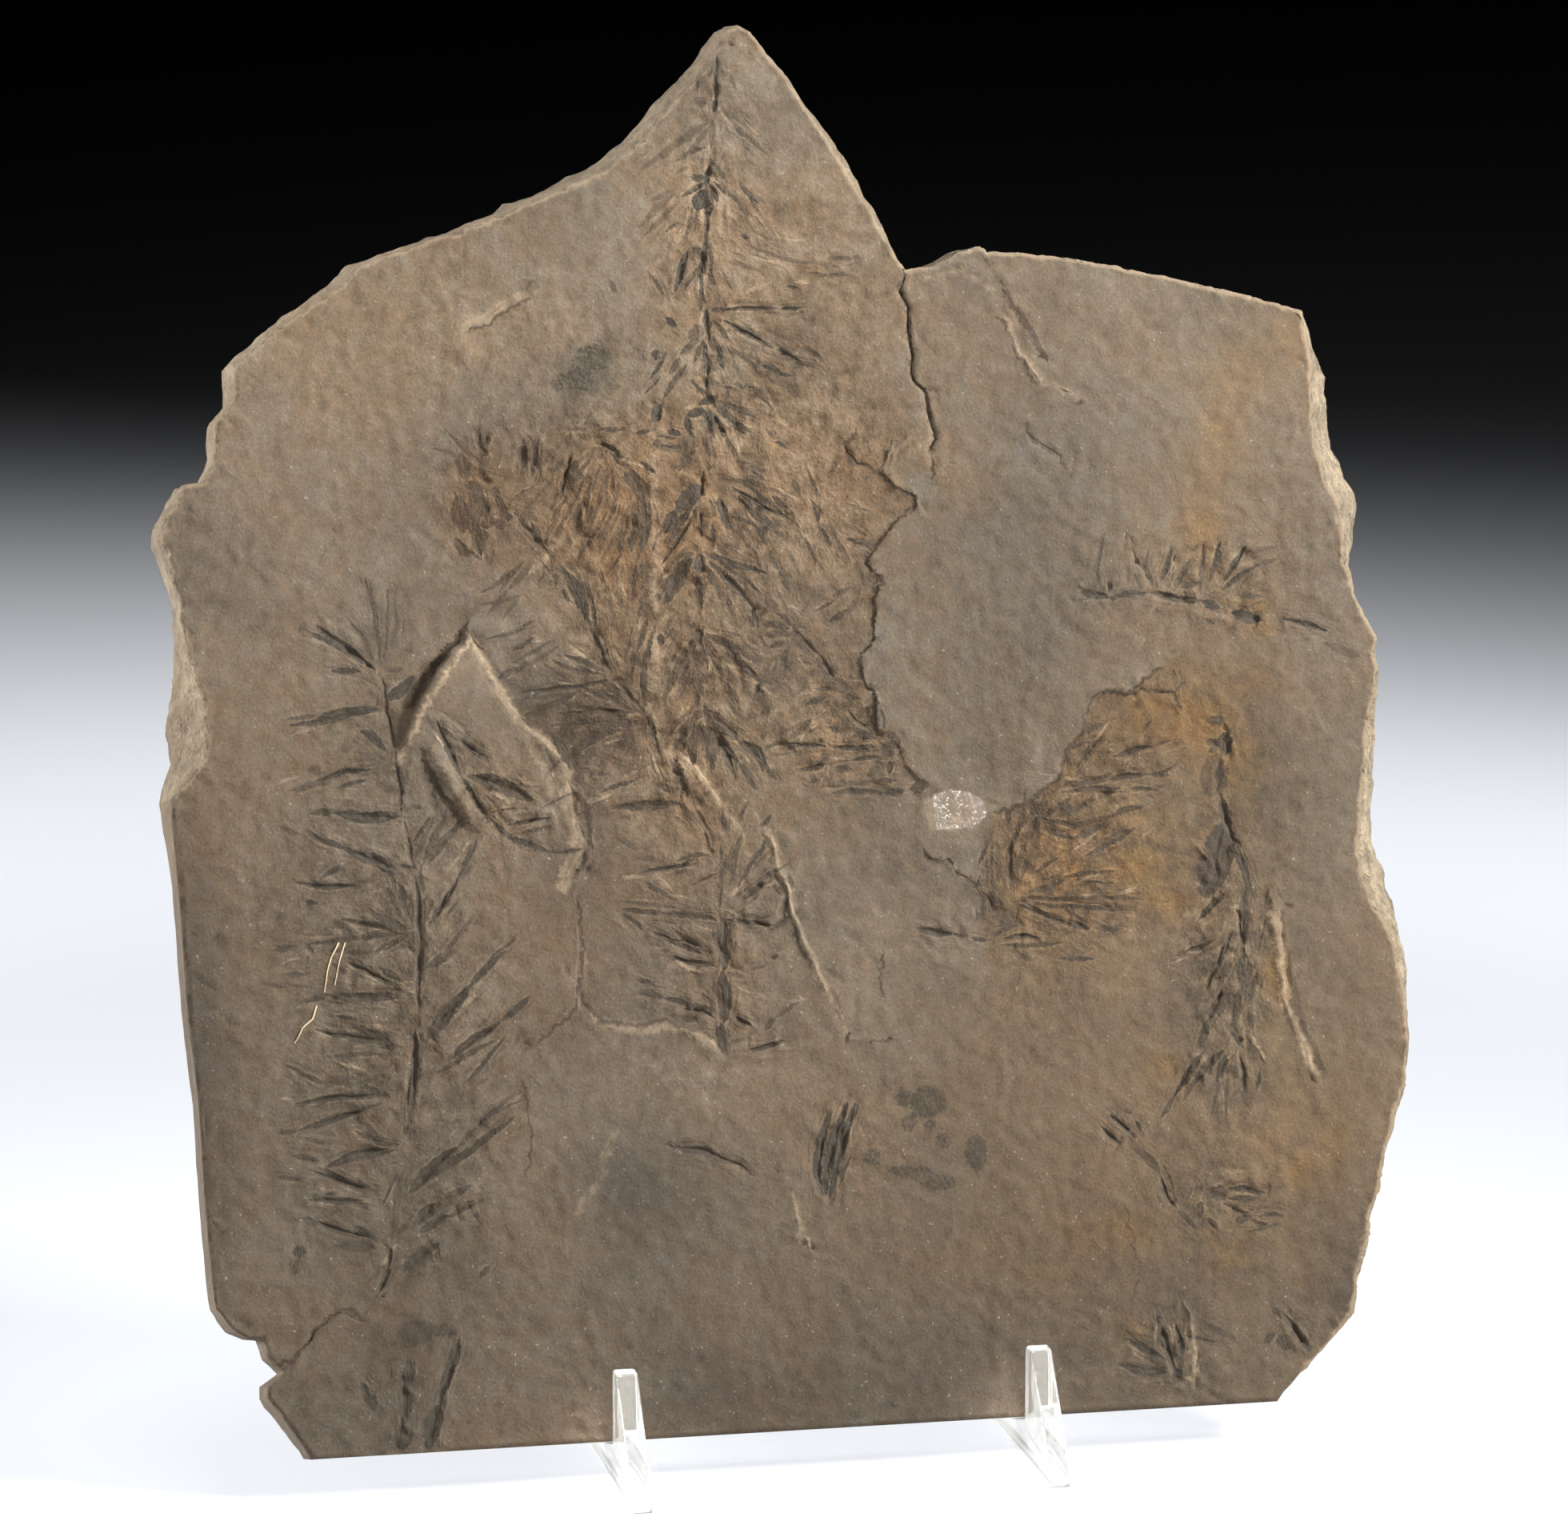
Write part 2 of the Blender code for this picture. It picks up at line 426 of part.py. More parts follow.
def groove_profile(fraction, points):
    """How full the groove is at a fraction of its length: 0 at both ends, 1 between its inner points."""
    lengths = [math.dist(a, b) for a, b in zip(points, points[1:])]
    first = lengths[0] / sum(lengths)
    last = lengths[-1] / sum(lengths)
    return np.clip(np.minimum(fraction / first, (1 - fraction) / last), 0, 1)


def wave(wavelength_height_layer, u, v):
    """One smooth noise over the face."""
    wavelength, height, layer = wavelength_height_layer
    return noise.noise(Vector((u / wavelength, v / wavelength, layer))) * height


def swell(where):
    """Broad waves of the bedding plane, with a finer bumpiness where thin layers came off."""
    heights = []
    for u, v in where:
        torn = sum(
            strength * math.exp(-((u - middle_u) / reach_u) ** 2 - ((v - middle_v) / reach_v) ** 2)
            for strength, middle_u, middle_v, reach_u, reach_v in TORN_PLACES)
        heights.append(wave(BROAD_WAVE, u, v) + wave(MEDIUM_WAVE, u, v) + wave(TORN_WAVE, u, v) * torn)
    return np.array(heights)


def flake_height(where):
    """The raised flake: sheer on its left, sloping on its right, fading out at its foot."""
    left, left_side, _ = nearest_on_chain(where, FLAKE_LEFT)
    right, right_side, _ = nearest_on_chain(where, FLAKE_RIGHT)
    within = (left_side > 0) & (right_side > 0)
    worn = np.clip(right / FLAKE_WORN, 0, 1)
    fade = np.clip((where[:, 1] - FLAKE_FOOT) / (FLAKE_TOP - FLAKE_FOOT), 0, 1)
    reach = np.exp(-left / FLAKE_REACH)
    return np.where(within, FLAKE_RISE * worn * fade * reach, 0)


def relief(where, grooves, edge):
    """Height w of the face, in mm, at each row of where."""
    height = swell(where) + flake_height(where)
    for rise, fade, points in LEDGES.values():
        distance, side, fraction = nearest_on_chain(where, points)
        ends = np.clip(np.minimum(fraction, 1 - fraction) / FADING_END, 0, 1)
        height += np.where(side > 0, rise * ends * np.exp(-distance / fade), 0)
    for half, rise, points in RIDGES.values():
        distance, _, fraction = nearest_on_chain(where, points)
        ends = np.clip(np.minimum(fraction, 1 - fraction) / FADING_END, 0, 1)
        height += rise * ends * np.clip(1 - distance / half, 0, 1)
    for print_ in grooves:
        distance, _, fraction = nearest_on_chain(where, print_["points"])
        full = groove_profile(fraction, print_["points"])
        half = np.maximum(print_["half"] * full, TINY)
        height -= print_["depth"] * full * np.clip(1 - distance / half, 0, 1)
    to_edge = nearest_on_chain(where, edge + edge[:1])[0]
    return height - RIM_DROP * np.exp(-to_edge / RIM_REACH)


# ---------------------------------------------------------------- meshing
class Plan:
    """Points and fixed edges of a face, gathered for one triangulation."""

    def __init__(self):
        self.points = []
        self.edges = []

    def chain(self, points, closed=False):
        start = len(self.points)
        self.points += [Vector(p) for p in points]
        self.edges += [(start + i, start + i + 1) for i in range(len(points) - 1)]
        if closed:
            self.edges.append((start + len(points) - 1, start))

    def triangulate(self, outline):
        """Points and triangles of the plan, without the triangles outside the outline."""
        whole_hull = 0
        result = delaunay_2d_cdt(self.points, self.edges, [], whole_hull, 1e-4, False)
        where = np.array([tuple(p) for p in result[0]])
        faces = np.array([tuple(face) for face in result[2]])
        within = inside(where[faces].mean(1), outline)
        return where, [tuple(int(i) for i in face) for face in faces[within]]


def add_groove(plan, print_):
    """A groove's axis and both rims, which meet at its ends."""
    points = print_["points"]
    plan.chain(points)
    for side in (1, -1):
        rim = offset(points, side * print_["half"])[1:-1]
        plan.chain([points[0]] + rim + [points[-1]])


def face_plan(edge, grooves):
    """Everything the face's triangles follow."""
    plan = Plan()
    plan.chain(edge, closed=True)
    lines = []
    for _, _, points in LEDGES.values():
        lines += [offset(points, LEDGE_HALF), offset(points, -LEDGE_HALF)]
    for half, _, points in RIDGES.values():
        lines += [points, offset(points, half), offset(points, -half)]
    for points in (FLAKE_LEFT, FLAKE_RIGHT):
        lines += [offset(points[:-1] if points is FLAKE_RIGHT else points[1:], LEDGE_HALF),
                  offset(points, -LEDGE_HALF)]
    for line in lines:
        plan.chain(line)
    for print_ in grooves:
        add_groove(plan, print_)
    rng = random.Random(SEED + 1)
    free = scatter(edge, SCATTER_STEP, FACE_MARGIN, rng)
    keep = np.ones(len(free), dtype=bool)
    for line in lines + [g["points"] for g in grooves]:
        keep &= nearest_on_chain(free, line)[0] > LINE_MARGIN
    plan.points += [Vector(p) for p in free[keep]]
    return plan


def boundary_loop(faces):
    """The vertices along the open edge of a set of triangles, in the triangles' own direction."""
    used = {(a, b) for face in faces for a, b in zip(face, face[1:] + face[:1])}
    follow = {a: b for a, b in used if (b, a) not in used}
    first = min(follow)
    loop = [first]
    while follow[loop[-1]] != first:
        loop.append(follow[loop[-1]])
    return loop


def slab_mesh():
    """The whole slab as vertices in (u, v, w) and triangles pointing out."""
    outline = slab_outline()
    edge = [(u, v) for u, v, _, _ in outline]
    grooves = all_grooves()
    where, faces = face_plan(edge, grooves).triangulate(edge)
    heights = relief(where, grooves, edge)
    vertices = [(u, v, w) for (u, v), w in zip(where, heights)]
    loop = boundary_loop(faces)
    known = np.array([p[:2] for p in outline])
    rim = [vertices[i][:2] for i in loop]
    nearest = [int(np.argmin(np.linalg.norm(known - p, axis=1))) for p in rim]
    flare = [outline[i][2] for i in nearest]
    rough = [outline[i][3] for i in nearest]
    directions = outward(rim)
    ring = loop
    for level in WALL_LEVELS:
        start = len(vertices)
        for i, (u, v) in enumerate(rim):
            strata = wave((STRATA_LENGTH, STRATA_DEPTH, STRATA_LAYERS * level), u, v) * rough[i]
            out = flare[i] * level ** FLARE_CURVE + strata
            w = -THICKNESS * level
            vertices.append((u + directions[i][0] * out, v + directions[i][1] * out, w))
        new = list(range(start, len(vertices)))
        for i in range(len(ring)):
            j = (i + 1) % len(ring)
            faces.append((ring[i], new[i], new[j]))
            faces.append((ring[i], new[j], ring[j]))
        ring = new
    add_back(vertices, faces, ring)
    return vertices, faces


def add_back(vertices, faces, ring):
    """The rough back, whose highest points lie in one plane."""
    rim = [vertices[i][:2] for i in ring]
    plan = Plan()
    plan.chain(rim, closed=True)
    rng = random.Random(SEED + 2)
    plan.points += [Vector(p) for p in scatter(rim, BACK_STEP, BACK_MARGIN, rng)]
    where, back_faces = plan.triangulate(rim)
    number = {}
    for i, point in enumerate(where):
        gaps = np.linalg.norm(np.array(rim) - point, axis=1)
        if gaps.min() < 1e-3:
            number[i] = ring[int(gaps.argmin())]
            continue
        number[i] = len(vertices)
        dip = abs(wave(BACK_WAVE, *point))
        vertices.append((point[0], point[1], -THICKNESS + dip))
    faces += [tuple(number[i] for i in reversed(face)) for face in back_faces]


# ---------------------------------------------------------------- objects
def material(name, colour, roughness, transmission=0.0):
    """A Principled material."""
    result = bpy.data.materials.new(name)
    result.use_nodes = True
    shader = result.node_tree.nodes["Principled BSDF"]
    shader.inputs["Base Color"].default_value = (*colour, 1)
    shader.inputs["Roughness"].default_value = roughness
    shader.inputs["Transmission Weight"].default_value = transmission
    return result


def add_object(name, vertices, faces, skin, parent):
    """An object from millimetre coordinates."""
    mesh = bpy.data.meshes.new(name)
    mesh.from_pydata([[c * MM for c in vertex] for vertex in vertices], [], faces)
    mesh.materials.append(skin)
    mesh.validate()
    result = bpy.data.objects.new(name, mesh)
    bpy.context.collection.objects.link(result)
    result.parent = parent
    return result


def prism(outline, low, high):
    """A counter-clockwise outline in (p, q) drawn out along r from low to high, triangulated."""
    plan = Plan()
    plan.chain(outline, closed=True)
    flat, caps = plan.triangulate(outline)
    count = len(flat)
    vertices = [(p, q, low) for p, q in flat] + [(p, q, high) for p, q in flat]
    faces = [tuple(reversed(face)) for face in caps]
    faces += [tuple(i + count for i in face) for face in caps]
    loop = boundary_loop(caps)
    for a, b in zip(loop, loop[1:] + loop[:1]):
        faces.append((a, b, b + count))
        faces.append((a, b + count, a + count))
    return vertices, faces


def rounded(corners, segments=5):
    """Corners (p, q, radius) with each corner turned by an arc."""
    result = []
    for i, (p, q, radius) in enumerate(corners):
        here = Vector((p, q))
        before = (Vector(corners[i - 1][:2]) - here).normalized()
        after = (Vector(corners[(i + 1) % len(corners)][:2]) - here).normalized()
        if radius == 0:
            result.append((p, q))
            continue
        half_angle = before.angle(after) / 2
        start = here + before * radius / math.tan(half_angle)
        centre = here + (before + after).normalized() * radius / math.sin(half_angle)
        sweep = math.pi - 2 * half_angle
        turn = 1 if before.cross(after) < 0 else -1
        spoke = start - centre
        for k in range(segments + 1):
            angle = turn * sweep * k / segments
            cosine = math.cos(angle)
            sine = math.sin(angle)
            result.append((centre.x + spoke.x * cosine - spoke.y * sine,
                           centre.y + spoke.x * sine + spoke.y * cosine))
    return result


def on_slab(v, w):
    """World (y, z) in mm of a point v up the slab and w out of its face."""
    y = LIP_DEPTH + v * math.sin(LEAN) - w * math.cos(LEAN)
    z = FOOT_HEIGHT + v * math.cos(LEAN) + w * math.sin(LEAN)
    return y, z


def leg_outline():
    """Side view (y, z) of a leg: sloping lip, ledge for the slab, back rest and base bar."""
    lip_back = LIP_DEPTH - CONTACT_GAP
    back = -THICKNESS - CONTACT_GAP
    ledge_back = on_slab(-CONTACT_GAP, back)
    ledge_front_z = ledge_back[1] + (ledge_back[0] - lip_back) * math.tan(LEAN)
    rest_front = on_slab(REST_LENGTH, back)
    rest_back = on_slab(REST_LENGTH, back - REST_WIDTH)
    corner_v = (BASE_HEIGHT - on_slab(0, back - REST_WIDTH)[1]) / math.cos(LEAN)
    inner = on_slab(corner_v, back - REST_WIDTH)
    notch = LEG_THICKNESS / 2 + CONTACT_GAP
    floor = LAP_HEIGHT - CONTACT_GAP / 2
    corners = [
        (0, 0, FOOT_ROUND), (LEG_LENGTH, 0, FOOT_ROUND), (LEG_LENGTH, BASE_HEIGHT, TAIL_ROUND),
        (BRACE_Y + notch, BASE_HEIGHT, 0), (BRACE_Y + notch, floor, 0),
        (BRACE_Y - notch, floor, 0), (BRACE_Y - notch, BASE_HEIGHT, 0),
        (*inner, INNER_ROUND), (*rest_back, REST_ROUND), (*rest_front, REST_ROUND),
        (*ledge_back, LEDGE_ROUND), (lip_back, ledge_front_z, 0),
        (lip_back, LIP_HEIGHT, LIP_BACK_ROUND), (LIP_SLOPE, LIP_HEIGHT, LIP_FRONT_ROUND)]
    return rounded(corners)


def add_leg(name, x, skin, parent):
    """One side plate of the stand, standing at x."""
    flat, faces = prism(leg_outline(), -LEG_THICKNESS / 2, LEG_THICKNESS / 2)
    vertices = [(r, p, q) for p, q, r in flat]
    leg = add_object(name, vertices, faces, skin, parent)
    leg.location.x = x * MM
    return leg


def add_brace(skin, parent):
    """The cross plate, notched from below where it laps over each leg."""
    low = LEG_X[0] - BRACE_OVERHANG
    high = LEG_X[1] + BRACE_OVERHANG
    notch = LEG_THICKNESS / 2 + CONTACT_GAP
    roof = LAP_HEIGHT + CONTACT_GAP / 2
    corners = [(low, BRACE_BOTTOM, 0)]
    for x in LEG_X:
        corners += [(x - notch, BRACE_BOTTOM, 0), (x - notch, roof, 0),
                    (x + notch, roof, 0), (x + notch, BRACE_BOTTOM, 0)]
    corners += [(high, BRACE_BOTTOM, 0), (high, BRACE_TOP, BRACE_ROUND), (low, BRACE_TOP, BRACE_ROUND)]
    flat, faces = prism(rounded(corners), -LEG_THICKNESS / 2, LEG_THICKNESS / 2)
    vertices = [(p, -r, q) for p, q, r in flat]
    brace = add_object("stand_brace", vertices, faces, skin, parent)
    brace.location.y = BRACE_Y * MM
    return brace


def add_clear_patch(skin, slab, floor):
    """The low glassy crust over the tip of the tongue, on the slab's face."""
    base = floor + CONTACT_GAP
    vertices, faces = prism(PATCH_OUTLINE[::-1], base, base + PATCH_THICKNESS)
    return add_object("clear_patch", vertices, faces, skin, slab)


def highest_near(vertices, polygon):
    """Greatest height of the face's points in and just around a polygon."""
    points = np.array(vertices)
    face = points[points[:, 2] > -THICKNESS / 4]
    near = nearest_on_chain(face[:, :2], polygon + polygon[:1])[0] < 2 * SCATTER_STEP
    near |= inside(face[:, :2], polygon)
    return float(face[near, 2].max())


def bounds(objects):
    """Lowest and highest world corner of some objects."""
    corners = [obj.matrix_world @ vertex.co for obj in objects for vertex in obj.data.vertices]
    low = Vector([min(c[i] for c in corners) for i in range(3)])
    high = Vector([max(c[i] for c in corners) for i in range(3)])
    return low, high


def build():
    for old in list(bpy.data.objects):
        bpy.data.objects.remove(old)
    stone = material("shale", (0.24, 0.18, 0.13), 0.9)
    clear = material("clear_plastic", (0.95, 0.97, 0.97), 0.04, 1.0)
    glassy = material("glassy_crust", (0.8, 0.78, 0.74), 0.15, 0.8)

    centre = bpy.data.objects.new("base_centre", None)
    bpy.context.collection.objects.link(centre)

    vertices, faces = slab_mesh()
    slab = add_object("slab", vertices, faces, stone, centre)
    slab.location = (0, LIP_DEPTH * MM, FOOT_HEIGHT * MM)
    slab.rotation_euler = (math.pi / 2 - LEAN, 0, 0)

    patch = add_clear_patch(glassy, slab, highest_near(vertices, PATCH_OUTLINE))
    leg_names = ("stand_leg_left", "stand_leg_right")
    legs = [add_leg(name, x, clear, centre) for name, x in zip(leg_names, LEG_X)]
    brace = add_brace(clear, centre)

    bpy.context.view_layer.update()
    low, high = bounds([slab, patch, brace, *legs])
    centre.location = (-(low.x + high.x) / 2, -(low.y + high.y) / 2, -low.z)
    bpy.context.view_layer.update()


build()
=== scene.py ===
# %% [markdown]
# # A fossil plant slab on a clear stand
# The object is a flat piece of shale, split along its bedding, with whorled plants pressed on its
# face. It leans back on a small easel of clear plastic. The solids from the frame give the shape of
# each piece. This lesson adds what a solid can't hold: fine relief, the film of each leaf, the colours
# of the stone, polished plastic, light and a camera.

# %% Load the frame
import math
import random

import bpy
import numpy as np
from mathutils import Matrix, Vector, noise
from mathutils.bvhtree import BVHTree


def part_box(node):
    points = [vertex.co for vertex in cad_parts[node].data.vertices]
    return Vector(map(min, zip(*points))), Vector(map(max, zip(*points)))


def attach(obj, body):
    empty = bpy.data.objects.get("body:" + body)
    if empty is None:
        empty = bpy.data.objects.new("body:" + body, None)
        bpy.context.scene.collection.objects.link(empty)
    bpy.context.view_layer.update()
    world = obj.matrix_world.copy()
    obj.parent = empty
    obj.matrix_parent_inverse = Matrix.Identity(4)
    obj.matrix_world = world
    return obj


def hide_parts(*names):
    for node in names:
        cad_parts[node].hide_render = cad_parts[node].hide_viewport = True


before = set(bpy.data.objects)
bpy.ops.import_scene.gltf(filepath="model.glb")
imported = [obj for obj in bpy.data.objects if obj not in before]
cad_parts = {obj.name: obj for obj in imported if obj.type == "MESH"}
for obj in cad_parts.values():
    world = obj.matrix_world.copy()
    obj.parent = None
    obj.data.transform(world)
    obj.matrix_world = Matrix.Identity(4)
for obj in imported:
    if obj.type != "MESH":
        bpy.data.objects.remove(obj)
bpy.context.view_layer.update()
print("nodes:", sorted(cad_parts))

# %% [markdown]
# ## Where the face lies
# The slab leans back by 16 degrees. Everything on its face is easiest to think of in the face's own
# directions: u to the right, v up the face and w out of it, in millimetres, from the front bottom
# edge. That edge lies a known way in front of the stand's cross brace, so its place comes from the
# frame. Two helpers turn face places into world places and back.

# %% Face coordinates
MM = 0.001
LEAN = math.radians(16.0)
FOOT_HEIGHT = 10.0
FOOT_BEFORE_BRACE = 84.0  # from the slab's front bottom edge back to the middle of the brace
FACE_MIDDLE = 2.0  # u of the middle between the stand's two legs


def middle(node):
    """The middle of a node's box, in metres."""
    low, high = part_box(node)
    return (low + high) / 2


leg_middle = (middle("stand_leg_left").x + middle("stand_leg_right").x) / 2
FACE_ORIGIN = np.array([
    leg_middle - FACE_MIDDLE * MM,
    middle("stand_brace").y - FOOT_BEFORE_BRACE * MM,
    FOOT_HEIGHT * MM])
U_AXIS = np.array([1.0, 0.0, 0.0])
V_AXIS = np.array([0.0, math.sin(LEAN), math.cos(LEAN)])
W_AXIS = np.array([0.0, -math.cos(LEAN), math.sin(LEAN)])
AXES = np.array([U_AXIS, V_AXIS, W_AXIS])


def to_world(uvw):
    """Rows of (u, v, w) in mm as rows of (x, y, z) in metres."""
    return FACE_ORIGIN + (np.asarray(uvw, dtype=float) * MM) @ AXES


def to_face(xyz):
    """Rows of (x, y, z) in metres as rows of (u, v, w) in mm."""
    return (np.asarray(xyz, dtype=float) - FACE_ORIGIN) @ AXES.T / MM


print("front bottom edge of the slab:", np.round(FACE_ORIGIN, 4))

# %% [markdown]
# ## The camera
# It stands one and a half metres away, a little to the left of the slab and a little above it, with
# a long lens, so the sides of the slab hardly narrow.

# %% Camera
CAMERA_DISTANCE = 1.5
CAMERA_YAW = math.radians(11.8)
CAMERA_ELEVATION = math.radians(10.6)
CAMERA_AIM = (0.0, 158.2, 0.0)
SENSOR_WIDTH = 36.0
FIELD_OF_VIEW = math.radians(14.16)
CLIP_START, CLIP_END = 0.05, 30.0

aim = Vector(to_world([CAMERA_AIM])[0])
back = Vector((
    -math.sin(CAMERA_YAW) * math.cos(CAMERA_ELEVATION),
    -math.cos(CAMERA_YAW) * math.cos(CAMERA_ELEVATION),
    math.sin(CAMERA_ELEVATION)))
bpy.ops.object.camera_add(location=aim + back * CAMERA_DISTANCE)
camera = bpy.context.object
camera.name = "camera"
camera.rotation_euler = (-back).to_track_quat("-Z", "Y").to_euler()
camera.data.sensor_width = SENSOR_WIDTH
camera.data.angle = FIELD_OF_VIEW
camera.data.clip_start = CLIP_START
camera.data.clip_end = CLIP_END
bpy.context.scene.camera = camera
print("lens:", round(camera.data.lens, 1), "mm")

# %% [markdown]
# ## A fine copy of the slab
# The frame's slab has a few thousand triangles, which is enough for its outline, its ledges and its
# larger prints. Leaves a millimetre wide need more. A copy is merged into one surface, and
# every triangle is cut into sixteen. Each face first gets a tag that says whether it belongs to the
# split face, the broken wall or the back, because subdividing passes such a tag on to the new faces.

# %% Copy, merge, tag and subdivide
SPLIT_FACE, WALL, BACK = 0, 1, 2
FACE_DEPTH_LIMIT = -3.5  # w above which a whole triangle is part of the split face
BACK_DEPTH_LIMIT = -12.0
MERGE_DISTANCE = 1e-6
CUTS = 3


def deselect_all():
    """Leaves object mode with nothing selected."""
    if bpy.context.object and bpy.context.object.mode != "OBJECT":
        bpy.ops.object.mode_set(mode="OBJECT")
    bpy.ops.object.select_all(action="DESELECT")


def make_active(piece):
    """Selects one piece alone."""
    deselect_all()
    piece.select_set(True)
    bpy.context.view_layer.objects.active = piece


def merged_copy(node, name):
    """A new object with its own merged copy of a node's mesh."""
    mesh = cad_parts[node].data.copy()
    mesh.name = name
    mesh.materials.clear()
    piece = bpy.data.objects.new(name, mesh)
    bpy.context.scene.collection.objects.link(piece)
    make_active(piece)
    bpy.ops.object.mode_set(mode="EDIT")
    bpy.ops.mesh.select_all(action="SELECT")
    bpy.ops.mesh.remove_doubles(threshold=MERGE_DISTANCE)
    bpy.ops.object.mode_set(mode="OBJECT")
    return piece


def coordinates(mesh):
    """The mesh's points as rows."""
    values = np.zeros(len(mesh.vertices) * 3)
    mesh.vertices.foreach_get("co", values)
    return values.reshape(-1, 3)


def triangles(mesh):
    """The three vertices of each face as rows."""
    values = np.zeros(len(mesh.loops), dtype=np.int64)
    mesh.loops.foreach_get("vertex_index", values)
    return values.reshape(-1, 3)


slab = merged_copy("slab", "slab_stone")
depth = to_face(coordinates(slab.data))[:, 2][triangles(slab.data)]
part = np.full(len(slab.data.polygons), WALL, dtype=np.int32)
part[depth.min(1) > FACE_DEPTH_LIMIT] = SPLIT_FACE
part[depth.max(1) < BACK_DEPTH_LIMIT] = BACK
tag = slab.data.attributes.new("part", "INT", "FACE")
tag.data.foreach_set("value", part)

bpy.ops.object.mode_set(mode="EDIT")
bpy.ops.mesh.select_all(action="SELECT")
bpy.ops.mesh.subdivide(number_cuts=CUTS)
bpy.ops.mesh.quads_convert_to_tris(quad_method="BEAUTY", ngon_method="BEAUTY")
bpy.ops.object.mode_set(mode="OBJECT")
part = np.zeros(len(slab.data.polygons), dtype=np.int32)
slab.data.attributes["part"].data.foreach_get("value", part)
corners = triangles(slab.data)
print("slab:", len(corners), "triangles,", int((part == SPLIT_FACE).sum()), "on the split face")

# %% [markdown]
# ## The lines on the face
# Cracks, the lips of broken layers and worn ridges are short chains of points on the face. Each has
# a strength: above zero it is darker than the stone, as a shaded crack is, and beside steps, the flake
# and the rod it is painted shade. Below zero it is paler, as a worn or freshly broken lip is, and on
# the lit side of steps and ridges it is also a painted highlight. The same lists give the relief and the
# colour.

# %% Cracks, lips and ridges: strength, width, then u and v of each point
LINES = {}
LINES["main crack"] = [
    (0.9, 0.7, 37, 276.3, 35.2, 272, 36.5, 266.5, 37, 262, 37, 256.5, 36, 251, 36, 248.5, 39, 246.5, 40,
    244.5), (0.8, 0.5, 40, 244.5, 41, 241.5, 40, 239.5, 41, 234.5, 40, 224.5)]
LINES["crack by the tongue"] = [
    (1, 0.8, 22, 237, 19, 233, 19.5, 230.5, 24.5, 227.5, 27, 226)]
LINES["tongue, left edge"] = [
    (0.9, 0.6, 32, 234, 29.5, 231.5, 27, 226.5, 30, 222.5, 35.5, 220.5, 35, 218, 28, 212.5, 23.5, 206.5),
    (1.0, 0.6, 23.5, 206.5, 22, 205, 26.5, 200, 23.5, 196, 23.5, 189.5, 24, 186, 19.5, 182.5, 20.5, 175),
    (1.1, 0.8, 20.5, 175, 23, 172, 23, 165.5, 26.5, 163.5, 29, 160.5, 28.5, 157, 31.5, 153, 34.5, 150.5)]
LINES["tongue, right edge"] = [
    (1.05, 0.8, 49.5, 143.5, 59.5, 145.5, 63, 148.5, 66.5, 151.5, 69, 157.5, 73.5, 163.5, 75.5, 170, 78,
    171.5), (1.05, 0.8, 78, 171.5, 85.5, 171.5, 89, 174.5, 94.5, 177.5), (0.8, 0.7, 85.5, 171.5, 97.5, 172,
    99.5, 173)]
LINES["thin cracks"] = [
    (0.9, 0.5, 32, 136, 34.5, 134.5, 38.5, 132.5, 40.5, 129, 47, 127), (0.7, 0.5, 21.5, 112, 20.5, 101),
    (0.8, 0.6, 16, 90, 22.5, 91), (1, 0.7, -34, 68.5, -28, 67.5, -20, 65, -14, 60.5),
    (0.8, 0.6, 63.5, 235.5, 68, 231.5, 74, 226), (0.6, 0.5, 77, 49.5, 79.5, 32.5, 77.5, 25)]
LINES["corner crack"] = [
    (1.1, 0.8, -128.5, 20.5, -126.5, 22.5, -123, 23.5, -120.5, 27, -119, 29, -118, 31, -115.5, 32.5),
    (0.9, 0.6, -115.5, 32.5, -113.5, 33.5, -110.5, 34, -108.5, 33, -107, 31.5)]
# Painted shadow: the dark stroke lies in the hollow left of the raised edge. Painted highlight: the pale one
# runs along the edge's top.
LINES["flake, left edge"] = [
    (0.9, 1.4, -75.6, 192.2, -81.6, 184.7, -86.4, 177.7, -89.4, 173.7), (-1.2, 1.1, -73.4, 190.4, -79.2,
    183, -84, 176, -87, 171.6, -90.4, 165.4, -93.4, 159.6)]
# The pale strokes are the worn slope, paler partly from wear and partly as painted highlight where it faces
# the light; the dark ones are painted shadow at its foot.
LINES["flake, right edge"] = [
    (-0.85, 1.6, -74, 192, -71.5, 187, -68, 178.5, -65, 174, -62, 169, -56.5, 165, -54, 161, -51.5, 156.5),
    (-0.75, 2.8, -52.5, 161, -52.5, 154, -51.5, 147, -51, 140.5, -54, 134, -54.5, 128.5),
    (0.8, 0.9, -50, 156.5, -50, 151.5, -47.8, 148, -47.5, 140.5, -51, 133.5), (0.8, 0.7, -51.5, 128, -51,
    117.5, -52, 105.5, -55.5, 98.5, -63.5, 94)]
LINES["flake, worn band"] = [
    (-0.5, 1.4, -73, 187.5, -69, 177.5, -64, 170.5, -58.5, 159.5, -56, 153, -56.5, 143)]
# A painted shadow above the ledge and a painted highlight on its lit edge.
LINES["low ledge"] = [
    (0.6, 0.8, -52.5, 107.5, -50.5, 102.5, -46.5, 98.5, -41, 97.3, -29.5, 97.3, -24, 95, -20, 92),
    (-0.6, 1.4, -49.5, 100.5, -46, 97.3, -41, 95.8, -29.5, 95.8, -24, 93.5, -20, 90.3)]
# Painted highlights on the lit edges of these steps, and one painted shadow beside them.
LINES["steps beside the middle plant"] = [
    (-1, 1.6, -26, 161.5, -21.5, 157, -16.5, 149, -15, 147), (-0.8, 1.2, -15, 147, -11, 141, -9, 134),
    (-0.9, 1.2, -5, 141.5, -3.5, 134, 0, 124.5, 1, 118), (-0.8, 1.1, 1, 118, 5, 108, 7, 103.5, 11.5, 93),
    (0.5, 0.7, -6, 141, -4.6, 133.5, -1.2, 124.5, -0.2, 117.5, 3.7, 108)]
